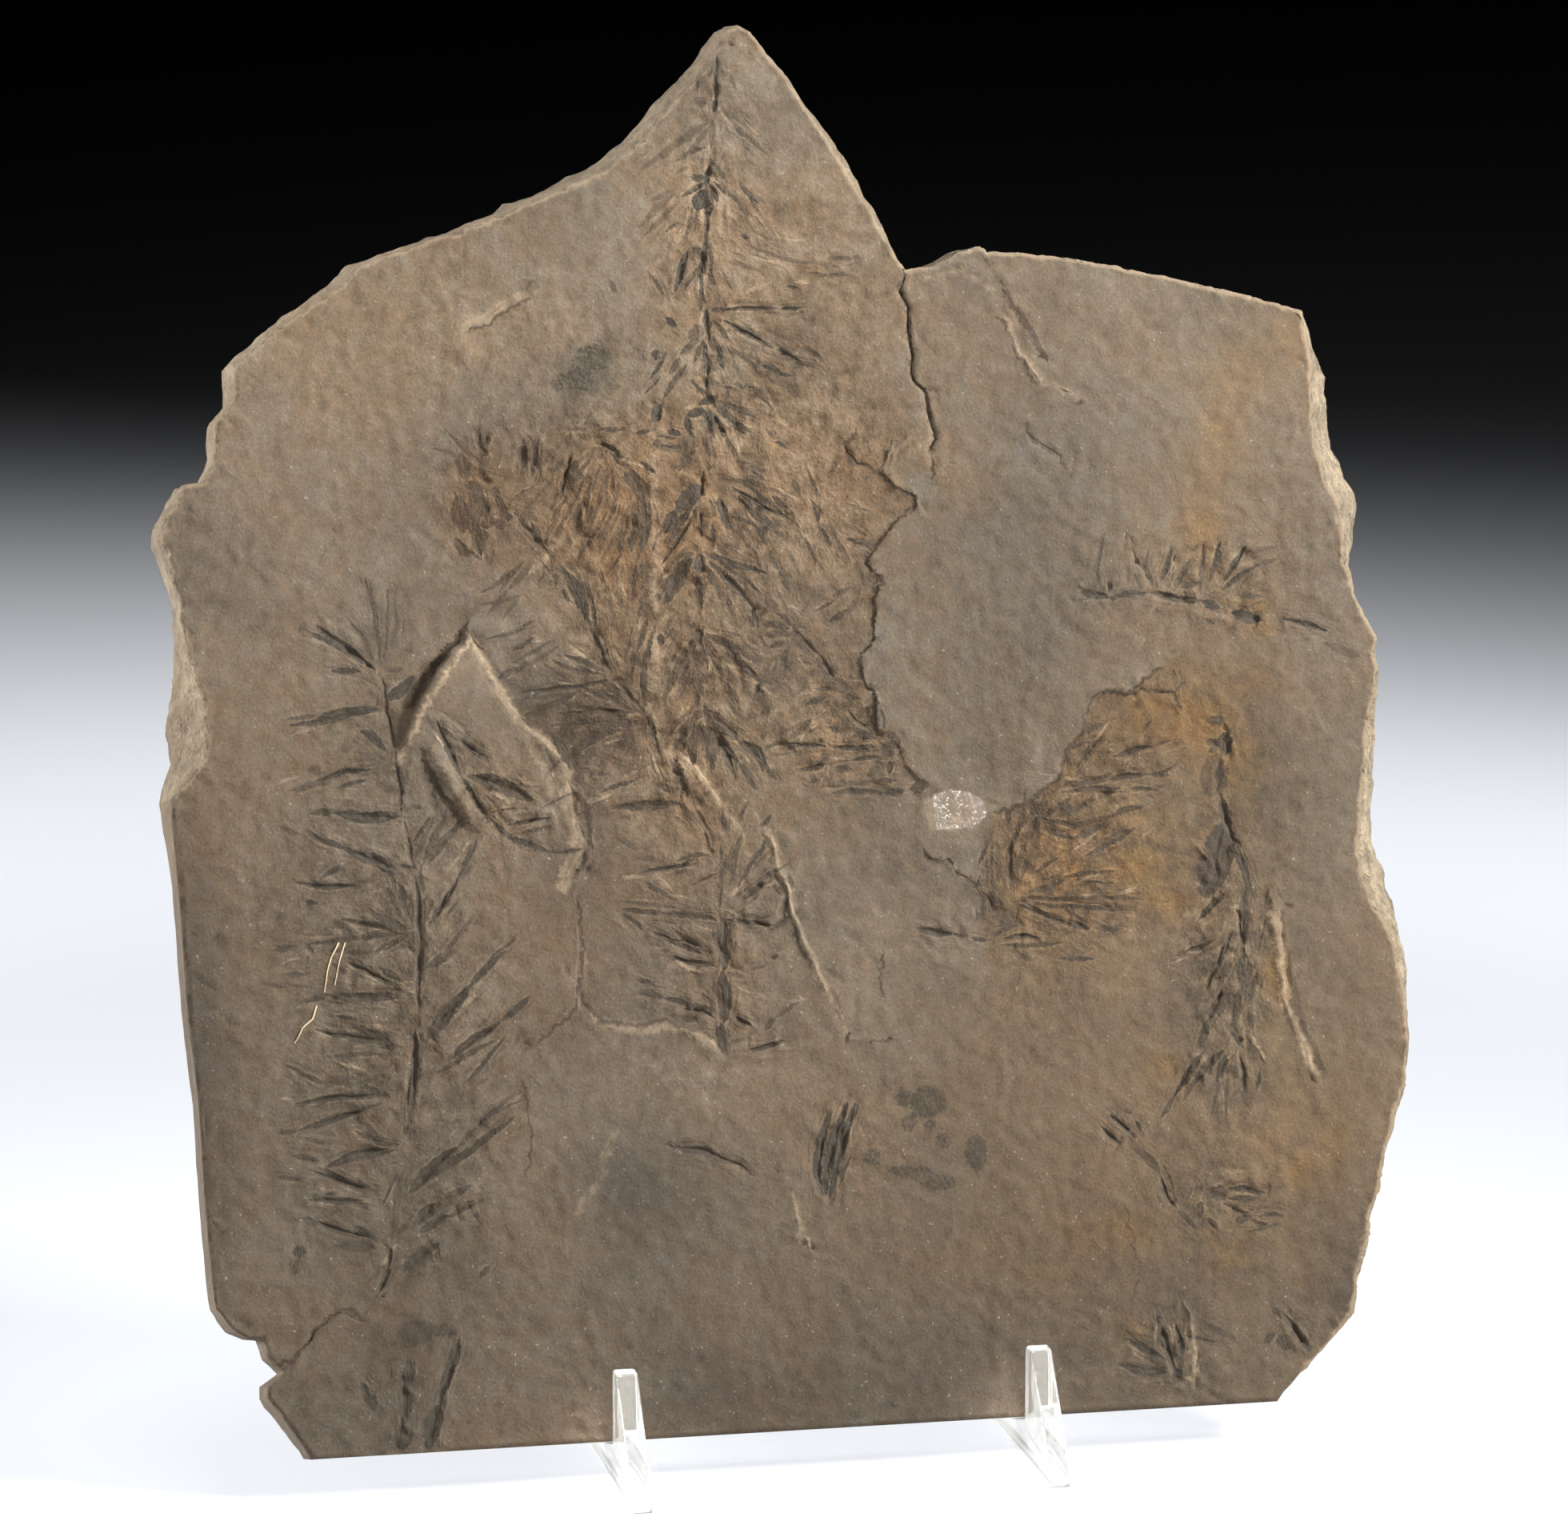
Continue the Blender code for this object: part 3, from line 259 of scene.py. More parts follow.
LINES["upper lips"] = [
    (-0.8, 2.4, -72, 263.5, -64, 267.7, -55.5, 272), (0.6, 0.7, -71, 262.4, -63, 266.5, -55, 270.8),
    (-0.7, 1.0, 59.5, 264.5, 63.5, 255, 68, 247, 76, 244.5), (0.6, 0.7, 58.5, 264, 62.5, 254.5, 67.3, 246),
    (0.6, 0.6, -2.5, 197.5, -2.5, 194, -5, 190, -4, 187, -2, 185.5)]
# The dark stroke beside the ridge is painted shadow at its step.
LINES["ochre ridge"] = [
    (-0.9, 2.0, 117, 119, 118.5, 111, 119, 97.5, 121, 91, 125.5, 77), (0.5, 1.2, 119.5, 117, 121, 105, 122,
    95, 125, 86, 128, 76)]
# The pale strokes are painted highlights on low ridges and on the rod; the last, dark one is the rod's
# painted shadow on its lower left.
LINES["short ridges"] = [
    (-0.45, 1.6, -45, 73, -51, 59.5, -56, 53), (-0.7, 1.3, -4, 56, -3, 51, -3, 46, 0, 42.5),
    (-0.8, 2.0, 91, 20, 91.5, 13, 91, 6), (-0.5, 1.2, -84.4, 165, -82.1, 160, -79.8, 155, -76.8, 150, -74.6,
    146.4), (1.2, 1.3, -87, 164, -84.9, 157.8, -82, 152.6, -78.8, 147.6, -75.8, 144.5, -73.5, 144.3)]
LINES["blade by the left plant"] = [
    (0.7, 0.6, -68, 86.5, -66.5, 83, -65.5, 76, -65.5, 70.5, -67.5, 63)]
LINES["torn ridge between the plants"] = [
    (-0.8, 1.6, -27, 233, -27.5, 227.5, -28, 222), (-0.75, 2, -28, 222, -28, 216, -28.5, 212, -28.5, 205.5),
    (-0.8, 1.6, -29, 205.5, -29.5, 200.5, -29, 194.5), (-0.75, 2, -30, 191, -29.5, 186, -29.5, 181, -31,
    175), (-0.7, 1.4, -32, 173.5, -31, 167.5, -29.5, 161.5), (-0.7, 2.6, -29, 161.5, -25.5, 157.5, -22.5,
    153.5), (-0.7, 1.4, -59, 205, -56, 207, -52.5, 211, -50, 214.5), (-0.6, 1.2, -41.5, 202, -42.5, 197,
    -44, 192, -41.5, 186)]
LINES["lip of the notch"] = [
    (0.8, 1.4, 60, 270, 66, 261, 70, 252), (-0.6, 1.2, 40, 273, 50, 275, 58, 270)]

# %% [markdown]
# ## The pressed plants
# Each print is a stroke: how dark it is, its width, and its points from the stem to the tip. The
# strokes are grouped by plant. Most leaves are straight or slightly bent, so two or three points are
# enough.

# %% Stems and leaves: strength, width in mm, then u and v of each point in half mm
PRINTS = {}
PRINTS["scraps round the middle plant"] = [
    (0.8, 3.6, -150, 448, -148, 430), (0.85, 2.8, -143, 436, -140, 419), (0.75, 2.8, -140, 450, -137, 436),
    (0.75, 2.6, -148, 468, -145, 455), (0.7, 2, -153, 428, -146, 418), (0.55, 3.2, -66, 457, -61, 448, -61,
    436, -65, 425), (0.6, 1.6, -69, 440, -72, 427, -74, 418), (0.5, 1.2, -92, 441, -94, 433, -95, 425),
    (0.5, 1.2, -85, 442, -88, 431, -94, 414), (0.9, 1.7, -115, 434, -113, 429, -111, 425),
    (0.8, 1.6, -138, 443, -140, 439, -142, 434), (0.8, 2, -132, 448, -129, 441, -129, 434),
    (0.7, 1.8, -142, 435, -136, 434, -131, 436), (0.55, 1.4, -128, 402, -121, 409, -117, 414),
    (0.5, 1.2, -138, 391, -133, 397, -128, 403)]
PRINTS["left stem"] = [
    (0.5, 1.2, -190, 363, -189, 348, -186, 329), (0.75, 0.9, -186, 329, -185, 314, -184, 299),
    (0.65, 1.1, -183, 295, -182, 286, -180, 272), (0.75, 1.2, -180, 269, -178, 255, -179, 239, -179, 229,
    -181, 212, -182, 203), (0.8, 1.5, -183, 196, -184, 181, -186, 166, -189, 150),
    (0.45, 1.3, -192, 132, -196, 118, -199, 99), (0.7, 1.3, -199, 97, -202, 85, -208, 74)]
PRINTS["left leaves, left side"] = [
    (1, 1.5, -194, 367, -204, 375, -220, 388), (0.8, 1.1, -199, 369, -209, 377, -225, 386),
    (0.8, 1.1, -200, 366, -214, 367), (0.6, 0.9, -193, 369, -199, 383, -205, 391),
    (0.6, 0.9, -191, 372, -192, 392, -196, 410), (0.5, 0.8, -188, 375, -186, 394, -185, 405),
    (0.35, 0.8, -186, 375, -182, 388, -182, 404), (0.5, 0.9, -188, 366, -180, 367),
    (0.95, 2.3, -188, 352, -174, 363), (1, 1.9, -192, 348, -209, 347, -222, 345),
    (0.7, 1.3, -205, 345, -221, 343, -235, 342), (0.5, 0.9, -222, 346, -236, 345),
    (0.8, 1.7, -190, 328, -196, 335, -202, 338), (0.9, 1.1, -198, 320, -211, 319, -224, 315),
    (0.5, 1.1, -214, 316, -228, 313, -237, 311), (0.95, 2.3, -185, 297, -202, 297, -217, 300),
    (0.6, 1.3, -213, 301, -228, 300), (0.95, 2.3, -187, 270, -198, 277, -212, 282),
    (0.9, 1.1, -209, 282, -222, 287, -228, 292), (0.5, 0.9, -242, 295, -234, 290),
    (0.9, 1.1, -207, 266, -221, 265, -236, 268), (0.7, 1.1, -215, 275, -224, 269),
    (0.4, 0.9, -196, 268, -209, 267), (0.8, 1.3, -187, 265, -183, 249), (0.6, 1.1, -193, 264, -187, 251),
    (0.9, 1.3, -182, 244, -197, 246, -215, 250), (0.9, 1.5, -184, 244, -201, 252),
    (0.7, 1.1, -186, 242, -211, 241, -233, 239), (0.8, 1.1, -184, 241, -200, 234),
    (0.5, 0.9, -200, 234, -215, 234), (0.8, 1.1, -233, 240, -229, 235), (0.7, 1.5, -247, 237, -239, 238),
    (1, 1.1, -191, 218, -202, 224, -215, 230), (0.7, 1.3, -187, 219, -199, 227),
    (1, 1.9, -190, 212, -206, 213, -225, 215), (0.7, 0.9, -223, 214, -237, 212),
    (0.5, 0.9, -231, 225, -245, 225), (1, 1.3, -194, 191, -211, 194, -230, 199),
    (0.95, 1.5, -195, 192, -204, 196, -213, 199), (0.7, 1.3, -191, 189, -202, 191),
    (0.55, 0.8, -197, 186, -213, 187, -227, 186), (0.8, 0.9, -227, 174, -236, 178, -244, 183),
    (0.5, 0.8, -201, 174, -214, 173, -227, 174), (0.95, 1.1, -197, 167, -218, 167, -241, 165),
    (0.9, 1.1, -200, 164, -215, 159, -228, 156, -241, 152), (0.6, 0.9, -241, 152, -249, 152),
    (0.8, 1.5, -193, 143, -204, 146, -214, 151), (0.8, 1.1, -197, 142, -214, 141, -228, 135),
    (0.7, 1.1, -195, 141, -216, 138, -229, 134), (0.7, 1.1, -231, 138, -244, 141),
    (0.6, 1.1, -204, 148, -209, 155), (0.6, 0.9, -225, 145, -238, 149), (0.95, 1.1, -205, 122, -220, 127,
    -236, 134), (0.8, 1.3, -213, 125, -224, 130, -232, 135), (0.6, 1.1, -239, 130, -251, 131),
    (0.9, 1.3, -211, 118, -224, 119, -237, 120), (0.9, 1.1, -205, 100, -221, 104, -237, 111),
    (0.8, 1.5, -205, 99, -216, 107), (0.5, 2.7, -207, 97, -225, 98), (0.95, 2.5, -243, 99, -243, 93),
    (0.6, 1.9, -243, 93, -245, 86)]
PRINTS["left leaves, right side"] = [
    (0.55, 1.3, -176, 273, -169, 287, -162, 302), (0.6, 1.5, -173, 274, -165, 285, -156, 296),
    (0.5, 1.1, -179, 276, -174, 286, -170, 295), (0.9, 1.3, -174, 246, -166, 256, -159, 267),
    (0.75, 1.1, -159, 267, -154, 276, -149, 284), (0.5, 0.9, -158, 266, -151, 275),
    (0.6, 1.7, -176, 225, -168, 230, -163, 233), (0.5, 1.1, -167, 232, -160, 240, -153, 248),
    (1, 2.7, -178, 192, -167, 204, -156, 216), (0.9, 1.3, -157, 215, -148, 224, -138, 232),
    (1, 1.7, -168, 182, -156, 191, -142, 199), (0.95, 1.3, -142, 199, -135, 204, -128, 210),
    (0.7, 1.1, -174, 176, -163, 182, -145, 190), (0.95, 0.9, -160, 171, -150, 181, -141, 191),
    (1, 2.3, -190, 121, -177, 133, -166, 141), (1, 1.1, -156, 150, -149, 156, -141, 161),
    (0.6, 1.1, -166, 141, -156, 150), (1, 1.5, -187, 124, -171, 133, -159, 140, -149, 147, -138, 154),
    (0.8, 2.3, -188, 106, -181, 112, -175, 115), (0.6, 1.5, -174, 117, -160, 123),
    (0.95, 1.5, -186, 103, -172, 109), (0.9, 1.1, -172, 108, -165, 112, -157, 115),
    (1, 2.3, -196, 85, -186, 91, -177, 97), (0.5, 1.3, -197, 101, -189, 110), (0.9, 1.1, -159, 80, -154, 85)]
PRINTS["flake plant"] = [
    (0.95, 1.3, -166, 341, -162, 330, -158, 320, -155, 314), (0.8, 1.1, -155, 314, -148, 301, -142, 292),
    (1, 2.9, -153, 315, -137, 310, -121, 302), (0.9, 1.1, -156, 331, -149, 326, -142, 322),
    (0.5, 0.8, -164, 338, -156, 331), (0.8, 1.1, -142, 292, -133, 285, -124, 280),
    (0.7, 1.3, -133, 285, -115, 277), (0.8, 0.9, -135, 291, -113, 294), (0.7, 0.9, -129, 286, -113, 290)]
PRINTS["middle stem"] = [
    (0.6, 1.7, -124, 439, -116, 429, -106, 416), (1, 2.1, -103, 413, -96, 403, -92, 393, -90, 384),
    (0.5, 1.3, -90, 383, -85, 371, -82, 361), (0.6, 1.5, -79, 358, -72, 349, -66, 340),
    (1, 1.5, -64, 341, -62, 328, -60, 321), (0.8, 2.3, -53, 319, -51, 309, -47, 300),
    (0.5, 1.3, -45, 296, -38, 284, -36, 274), (0.8, 0.9, -31, 293, -30, 283), (0.6, 0.9, -32, 278, -33, 265,
    -35, 247), (1, 2.9, -34, 243, -34, 230, -35, 218), (1, 2.7, -36, 218, -35, 206, -36, 193),
    (1, 2.1, -37, 193, -38, 185, -37, 179)]
PRINTS["middle leaves"] = [
    (0.9, 1.1, -83, 362, -92, 366, -103, 371), (0.7, 1.1, -84, 361, -98, 363, -109, 368),
    (0.8, 1.1, -79, 358, -98, 355, -125, 354), (1, 1.9, -70, 344, -77, 351, -85, 356),
    (1, 1.5, -72, 343, -81, 349, -95, 354), (0.8, 1.3, -70, 342, -87, 343, -108, 343),
    (0.8, 1.1, -72, 339, -89, 339, -111, 337), (0.95, 1.3, -98, 352, -110, 347, -124, 342),
    (0.5, 1.1, -98, 352, -114, 351, -125, 351), (1, 2.1, -67, 338, -82, 335, -94, 329, -105, 321),
    (0.9, 1.7, -105, 337, -109, 331, -106, 323, -102, 316), (0.8, 1.9, -51, 298, -65, 298, -84, 297),
    (0.8, 0.9, -71, 310, -80, 308, -89, 305), (0.6, 1.5, -53, 303, -62, 308), (0.6, 0.9, -85, 313, -97, 316),
    (0.95, 0.9, -45, 269, -58, 268, -72, 266), (0.5, 1.1, -72, 277, -83, 283),
    (0.5, 1.1, -93, 273, -100, 265), (0.8, 0.9, -55, 252, -63, 256, -71, 262),
    (1, 1.5, -38, 243, -52, 245, -62, 246), (0.85, 0.9, -61, 246, -73, 248, -83, 249),
    (0.5, 0.8, -54, 248, -69, 251, -83, 253), (0.9, 0.9, -72, 238, -77, 244, -83, 248),
    (0.8, 0.9, -42, 228, -50, 232, -59, 240), (0.9, 1.1, -44, 226, -55, 231, -68, 238),
    (0.9, 1.3, -39, 220, -48, 222, -59, 226), (0.9, 0.9, -64, 206, -71, 208, -76, 209),
    (0.7, 1.3, -43, 200, -57, 204, -64, 206), (1, 1.1, -42, 196, -48, 199, -54, 201),
    (0.9, 1.1, -50, 196, -56, 197), (0.6, 0.9, -40, 202, -46, 208), (0.6, 1.1, -30, 258, -26, 273, -20, 287),
    (0.7, 1.1, -26, 257, -19, 268, -11, 280), (0.5, 0.9, -32, 263, -28, 273, -26, 279),
    (0.8, 1.3, -25, 250, -18, 256, -10, 260), (0.5, 0.9, -28, 252, -17, 259, -1, 268),
    (0.8, 0.9, -33, 242, -22, 240, -11, 239), (0.7, 1.5, -5, 241, -1, 252), (0.5, 0.9, -11, 238, 0, 242),
    (0.5, 1.1, -33, 217, -25, 214), (0.8, 0.9, -12, 223, -8, 224), (0.5, 0.9, -21, 218, -13, 220),
    (0.9, 1.1, -32, 196, -23, 191), (0.8, 1.1, -17, 189, -12, 194), (0.6, 0.9, -12, 194, 0, 201),
    (1, 1.1, -25, 180, -16, 181, -7, 183), (0.5, 0.9, -34, 183, -27, 185)]
PRINTS["rust feather"] = [
    (1, 1.1, -94, 467, -97, 458, -101, 445), (0.7, 1.1, -98, 464, -104, 458), (0.6, 1.1, -87, 463, -94, 454,
    -100, 442), (0.7, 1.1, -80, 460, -87, 449, -93, 435), (0.8, 1.1, -91, 443, -93, 436),
    (0.8, 1.1, -86, 441, -89, 432), (0.6, 0.9, -77, 457, -83, 442, -89, 427), (0.6, 0.9, -72, 453, -76, 438,
    -84, 423), (0.6, 0.9, -89, 454, -97, 438, -104, 428), (0.5, 0.9, -82, 469, -92, 461, -98, 450),
    (0.6, 0.9, -79, 438, -86, 427, -92, 418), (0.5, 0.9, -70, 443, -74, 428, -83, 415),
    (0.5, 0.9, -99, 435, -104, 426), (0.6, 0.9, -106, 439, -101, 449), (0.5, 0.9, -113, 445, -104, 454),
    (0.9, 1.7, -80, 471, -74, 467, -72, 461), (0.8, 0.9, -62, 462, -57, 458, -54, 455),
    (0.8, 2.3, -70, 457, -64, 451, -60, 441), (0.9, 2.3, -60, 443, -60, 432, -64, 418),
    (0.8, 1.7, -66, 443, -66, 430, -69, 418), (0.6, 1.3, -72, 430, -73, 419), (0.7, 0.9, -66, 413, -69, 397),
    (0.5, 1.1, -80, 400, -78, 380), (0.5, 1.1, -77, 401, -74, 392), (0.6, 0.9, -120, 415, -126, 410, -133,
    401), (0.6, 0.9, -125, 412, -132, 406, -142, 401), (0.5, 0.8, -122, 399, -132, 397, -143, 395),
    (0.6, 0.8, -120, 384, -129, 381, -140, 379), (0.5, 0.9, -108, 378, -117, 373, -125, 369),
    (0.5, 0.9, -105, 375, -113, 370, -121, 367), (0.6, 1.3, -128, 365, -135, 360),
    (0.5, 0.9, -72, 476, -79, 478), (0.7, 0.8, -82, 477, -65, 478), (0.5, 0.9, -153, 478, -146, 470, -138,
    463), (0.5, 0.9, -150, 465, -142, 461, -135, 457), (0.7, 0.9, -64, 380, -67, 372),
    (0.8, 1.3, -64, 370, -66, 357, -66, 346), (0.7, 1.1, -62, 386, -66, 376), (1, 1.5, -56, 379, -56, 373)]
PRINTS["rust pods"] = [
    (1, 1.7, -117, 473, -118, 460), (0.95, 1.5, -112, 474, -114, 458), (0.95, 2.1, -138, 479, -137, 470),
    (0.8, 1.5, -133, 476, -136, 472), (0.9, 1.7, -136, 470, -137, 466), (1, 2.7, -141, 435, -140, 436),
    (1, 2.3, -139, 443, -138, 440), (0.9, 2.3, -133, 433, -128, 435), (0.9, 1.7, -128, 436, -124, 437),
    (0.7, 2.7, -145, 451, -139, 453), (0.7, 2.3, -134, 451, -130, 448), (0.7, 2.3, -144, 446, -144, 429),
    (0.6, 2.3, -140, 428, -136, 429)]
PRINTS["centre stem"] = [
    (0.5, 1.1, -13, 658, -15, 647), (0.5, 1.7, -14, 645, -15, 636), (0.9, 1.1, -15, 636, -16, 629),
    (0.45, 1.5, -17, 626, -18, 612), (0.8, 1.5, -19, 604, -22, 593), (0.5, 1.1, -22, 581, -23, 571),
    (0.9, 1.5, -24, 567, -26, 550), (0.9, 0.9, -26, 550, -27, 541, -25, 537), (0.8, 1.1, -25, 535, -25, 517),
    (0.9, 1.1, -28, 502, -26, 495), (0.7, 0.9, -26, 517, -28, 502), (0.6, 0.9, -31, 456, -33, 444),
    (0.9, 0.9, -34, 437, -34, 424), (1, 2.1, -35, 417, -36, 407), (0.85, 1.5, -36, 407, -37, 387),
    (1, 2.3, -37, 381, -39, 372), (0.7, 1.7, -39, 371, -41, 343), (1, 1.9, -40, 342, -41, 337)]
PRINTS["centre leaves"] = [
    (0.4, 1.5, -19, 625, -34, 615, -55, 601), (0.4, 1.1, -19, 622, -25, 615, -30, 610),
    (0.5, 2.3, -19, 634, -25, 636), (0.4, 0.9, -13, 656, -10, 647), (0.4, 0.9, -15, 656, -18, 647),
    (0.5, 1.1, -10, 626, 0, 617, 9, 608), (0.45, 1.5, -13, 631, -4, 625), (1, 3.4, -23, 592, -27, 582),
    (0.8, 1.5, -21, 598, -30, 598), (0.7, 1.1, -22, 596, -34, 589), (0.9, 1.3, -20, 595, -17, 586),
    (0.9, 0.9, -18, 596, -12, 589), (0.6, 0.9, -17, 598, -7, 586, -4, 580), (0.8, 1.5, -21, 585, -22, 578),
    (0.4, 1.3, -37, 591, -47, 583, -56, 574), (0.4, 1.1, -36, 586, -45, 578, -53, 571),
    (0.4, 1.1, -36, 593, -50, 587), (0.5, 3.4, -25, 563, -30, 560), (0.95, 1.5, -33, 563, -36, 554, -40,
    542), (0.7, 0.9, -29, 554, -35, 544), (0.8, 1.3, -27, 556, -27, 548), (0.6, 1.1, -23, 552, -20, 545),
    (0.4, 1.1, -16, 552, -12, 543), (0.45, 0.9, -3, 565, 9, 559, 29, 555), (0.3, 0.9, 29, 555, 41, 553),
    (0.8, 0.9, -17, 534, -1, 534, 11, 534), (0.95, 0.9, 11, 534, 22, 534), (0.5, 1.3, -23, 533, -15, 534),
    (0.9, 1.1, -17, 528, -4, 521, 7, 514), (0.95, 1.1, 7, 514, 19, 508), (0.6, 0.9, -22, 528, -14, 518),
    (0.7, 1.1, -23, 521, -18, 509), (0.5, 2.7, -27, 526, -35, 520), (0.6, 1.3, -29, 521, -39, 512),
    (0.6, 1.1, -27, 519, -33, 508), (0.9, 1.3, -45, 530, -41, 526), (0.8, 1.1, -25, 511, -26, 502),
    (0.8, 1.1, -21, 513, -18, 505), (0.7, 1.1, -36, 508, -44, 498, -49, 491), (0.6, 1.1, -39, 511, -45, 503),
    (0.95, 1.7, -50, 515, -52, 510), (0.6, 0.9, -46, 541, -51, 551), (0.7, 0.9, -69, 542, -71, 549),
    (1, 4.2, -27, 492, -26, 488), (0.9, 1.7, -29, 486, -38, 483), (0.95, 1.5, -27, 486, -23, 479, -18, 470),
    (0.9, 1.3, -29, 486, -26, 475, -25, 472), (0.8, 1.5, -24, 488, -15, 480, -7, 475),
    (0.6, 1.3, -22, 490, -12, 486, -4, 481), (0.8, 1.3, -38, 483, -37, 475), (1, 1.9, -50, 489, -54, 480),
    (0.9, 1.5, -48, 476, -41, 474), (0.7, 1.5, -53, 472, -53, 468), (0.4, 2.7, -32, 470, -41, 471),
    (0.6, 1.3, -35, 467, -43, 456), (0.5, 1.1, -30, 473, -28, 463), (0.5, 1.1, -20, 473, -13, 461),
    (0.5, 0.9, -17, 467, -10, 455), (1, 3.4, -33, 450, -40, 442, -46, 437), (0.95, 2.5, -45, 438, -52, 427),
    (0.95, 1.5, -38, 440, -44, 431, -50, 422), (0.8, 1.1, -37, 436, -46, 423, -53, 412),
    (0.9, 1.7, -25, 443, -23, 436, -20, 428), (0.6, 1.1, -29, 442, -27, 434),
    (0.9, 1.1, -17, 448, -5, 440, 11, 431), (0.7, 1.1, -14, 443, -7, 436, 2, 427),
    (0.6, 1.1, 2, 427, 8, 420), (0.5, 1.1, -21, 452, -6, 450, 4, 445), (0.6, 1.1, -9, 458, 0, 455),
    (0.7, 0.9, -12, 451, 5, 435, 10, 429), (0.6, 1.3, 12, 451, 15, 444),
    (0.7, 1.1, 20, 441, 24, 435, 23, 429), (0.9, 1.3, 23, 429, 26, 423, 29, 418),
    (0.6, 0.9, 16, 423, 20, 414, 24, 407), (0.5, 0.9, 8, 416, 13, 404),
    (0.6, 0.9, 28, 431, 35, 415, 37, 409), (0.7, 1.1, 37, 422, 45, 419, 48, 415),
    (0.6, 0.9, 36, 429, 47, 422), (0.5, 0.9, -2, 416, 3, 407), (0.5, 1.1, 28, 394, 37, 398),
    (0.8, 1.1, 26, 382, 35, 387), (0.5, 1.1, 41, 393, 35, 385), (1, 2.3, -38, 415, -46, 408, -54, 399),
    (0.85, 1.9, -40, 409, -47, 402, -54, 393), (0.6, 1.1, -38, 417, -45, 415),
    (0.9, 1.5, -32, 416, -18, 411, -3, 406), (0.85, 1.5, -31, 413, -20, 402, -11, 390),
    (0.9, 1.3, -11, 391, -8, 380), (0.8, 1.3, -33, 411, -29, 403, -25, 395),
    (0.7, 1.1, -28, 414, -16, 405, -5, 396), (0.6, 1.1, -23, 396, -19, 384),
    (1, 1.5, -34, 378, -22, 372, -10, 364), (0.95, 1.7, -26, 372, -17, 362, -9, 354),
    (0.7, 1.1, -9, 354, -13, 348), (0.85, 1.3, -35, 375, -30, 365, -27, 355), (0.7, 1.3, -36, 373, -34, 361),
    (0.6, 1.1, -27, 356, -22, 344), (0.75, 1.9, -41, 375, -49, 362, -55, 350), (0.7, 1.5, -40, 373, -46,
    360, -49, 350), (0.6, 1.1, -43, 362, -49, 347), (1, 2.7, -38, 342, -28, 334, -21, 327),
    (0.9, 1.9, -21, 327, -13, 321, -9, 313), (0.6, 1.1, -9, 313, -4, 307), (0.9, 1.9, -35, 337, -29, 325,
    -22, 317), (0.8, 1.3, -22, 317, -18, 310, -14, 303), (0.95, 1.9, -38, 335, -36, 324, -34, 313),
    (0.9, 1.7, -35, 335, -29, 323, -25, 311), (1, 2.3, -43, 339, -46, 334, -50, 328),
    (0.6, 1.1, -45, 341, -52, 336, -57, 328), (0.85, 1.7, -42, 335, -44, 324, -44, 315),
    (0.6, 1.3, -40, 334, -38, 322)]
PRINTS["side strand"] = [
    (1, 3, 7, 378, 10, 378), (0.8, 1.3, 6, 380, -6, 382), (0.7, 1.3, 5, 378, -6, 376),
    (0.8, 1.3, 4, 373, -4, 371), (0.8, 1.1, 7, 381, 1, 387), (0.5, 0.9, 7, 374, 3, 362),
    (0.5, 0.9, 2, 385, -3, 396), (0.4, 2.3, 11, 374, 19, 366), (0.7, 2.3, 19, 366, 25, 356),
    (0.6, 3, 25, 353, 34, 349), (0.8, 1.1, 26, 350, 17, 350), (0.9, 1.3, 22, 346, 13, 343),
    (0.8, 1.1, 32, 347, 36, 344), (0.8, 1.1, 32, 340, 38, 332, 44, 329), (0.7, 0.9, 40, 341, 45, 332),
    (0.5, 1.1, 15, 336, 9, 330, 2, 326), (0.9, 1.3, 28, 329, 23, 332), (1, 1.7, 47, 326, 34, 327),
    (0.9, 1.1, 45, 321, 23, 322), (0.9, 0.8, 21, 322, -3, 325, -8, 322), (0.9, 0.9, 19, 324, 17, 326),
    (0.8, 0.9, 45, 317, 33, 315), (0.6, 3.4, 49, 323, 53, 317), (0.8, 1.1, 51, 315, 50, 308),
    (0.8, 1.1, 21, 318, 17, 312, 7, 312), (0.6, 1.1, 25, 312, 33, 311), (0.9, 1.1, 13, 307, 15, 305),
    (0.9, 3, 68, 301, 60, 301), (1, 1.5, 58, 300, 48, 299), (0.7, 1.1, 48, 299, 34, 301, 22, 300),
    (0.7, 1.1, 45, 305, 55, 305), (0.5, 1.5, 46, 312, 40, 307), (0.5, 1.1, -10, 340, -4, 344),
    (0.6, 1.1, -10, 338, -6, 342)]
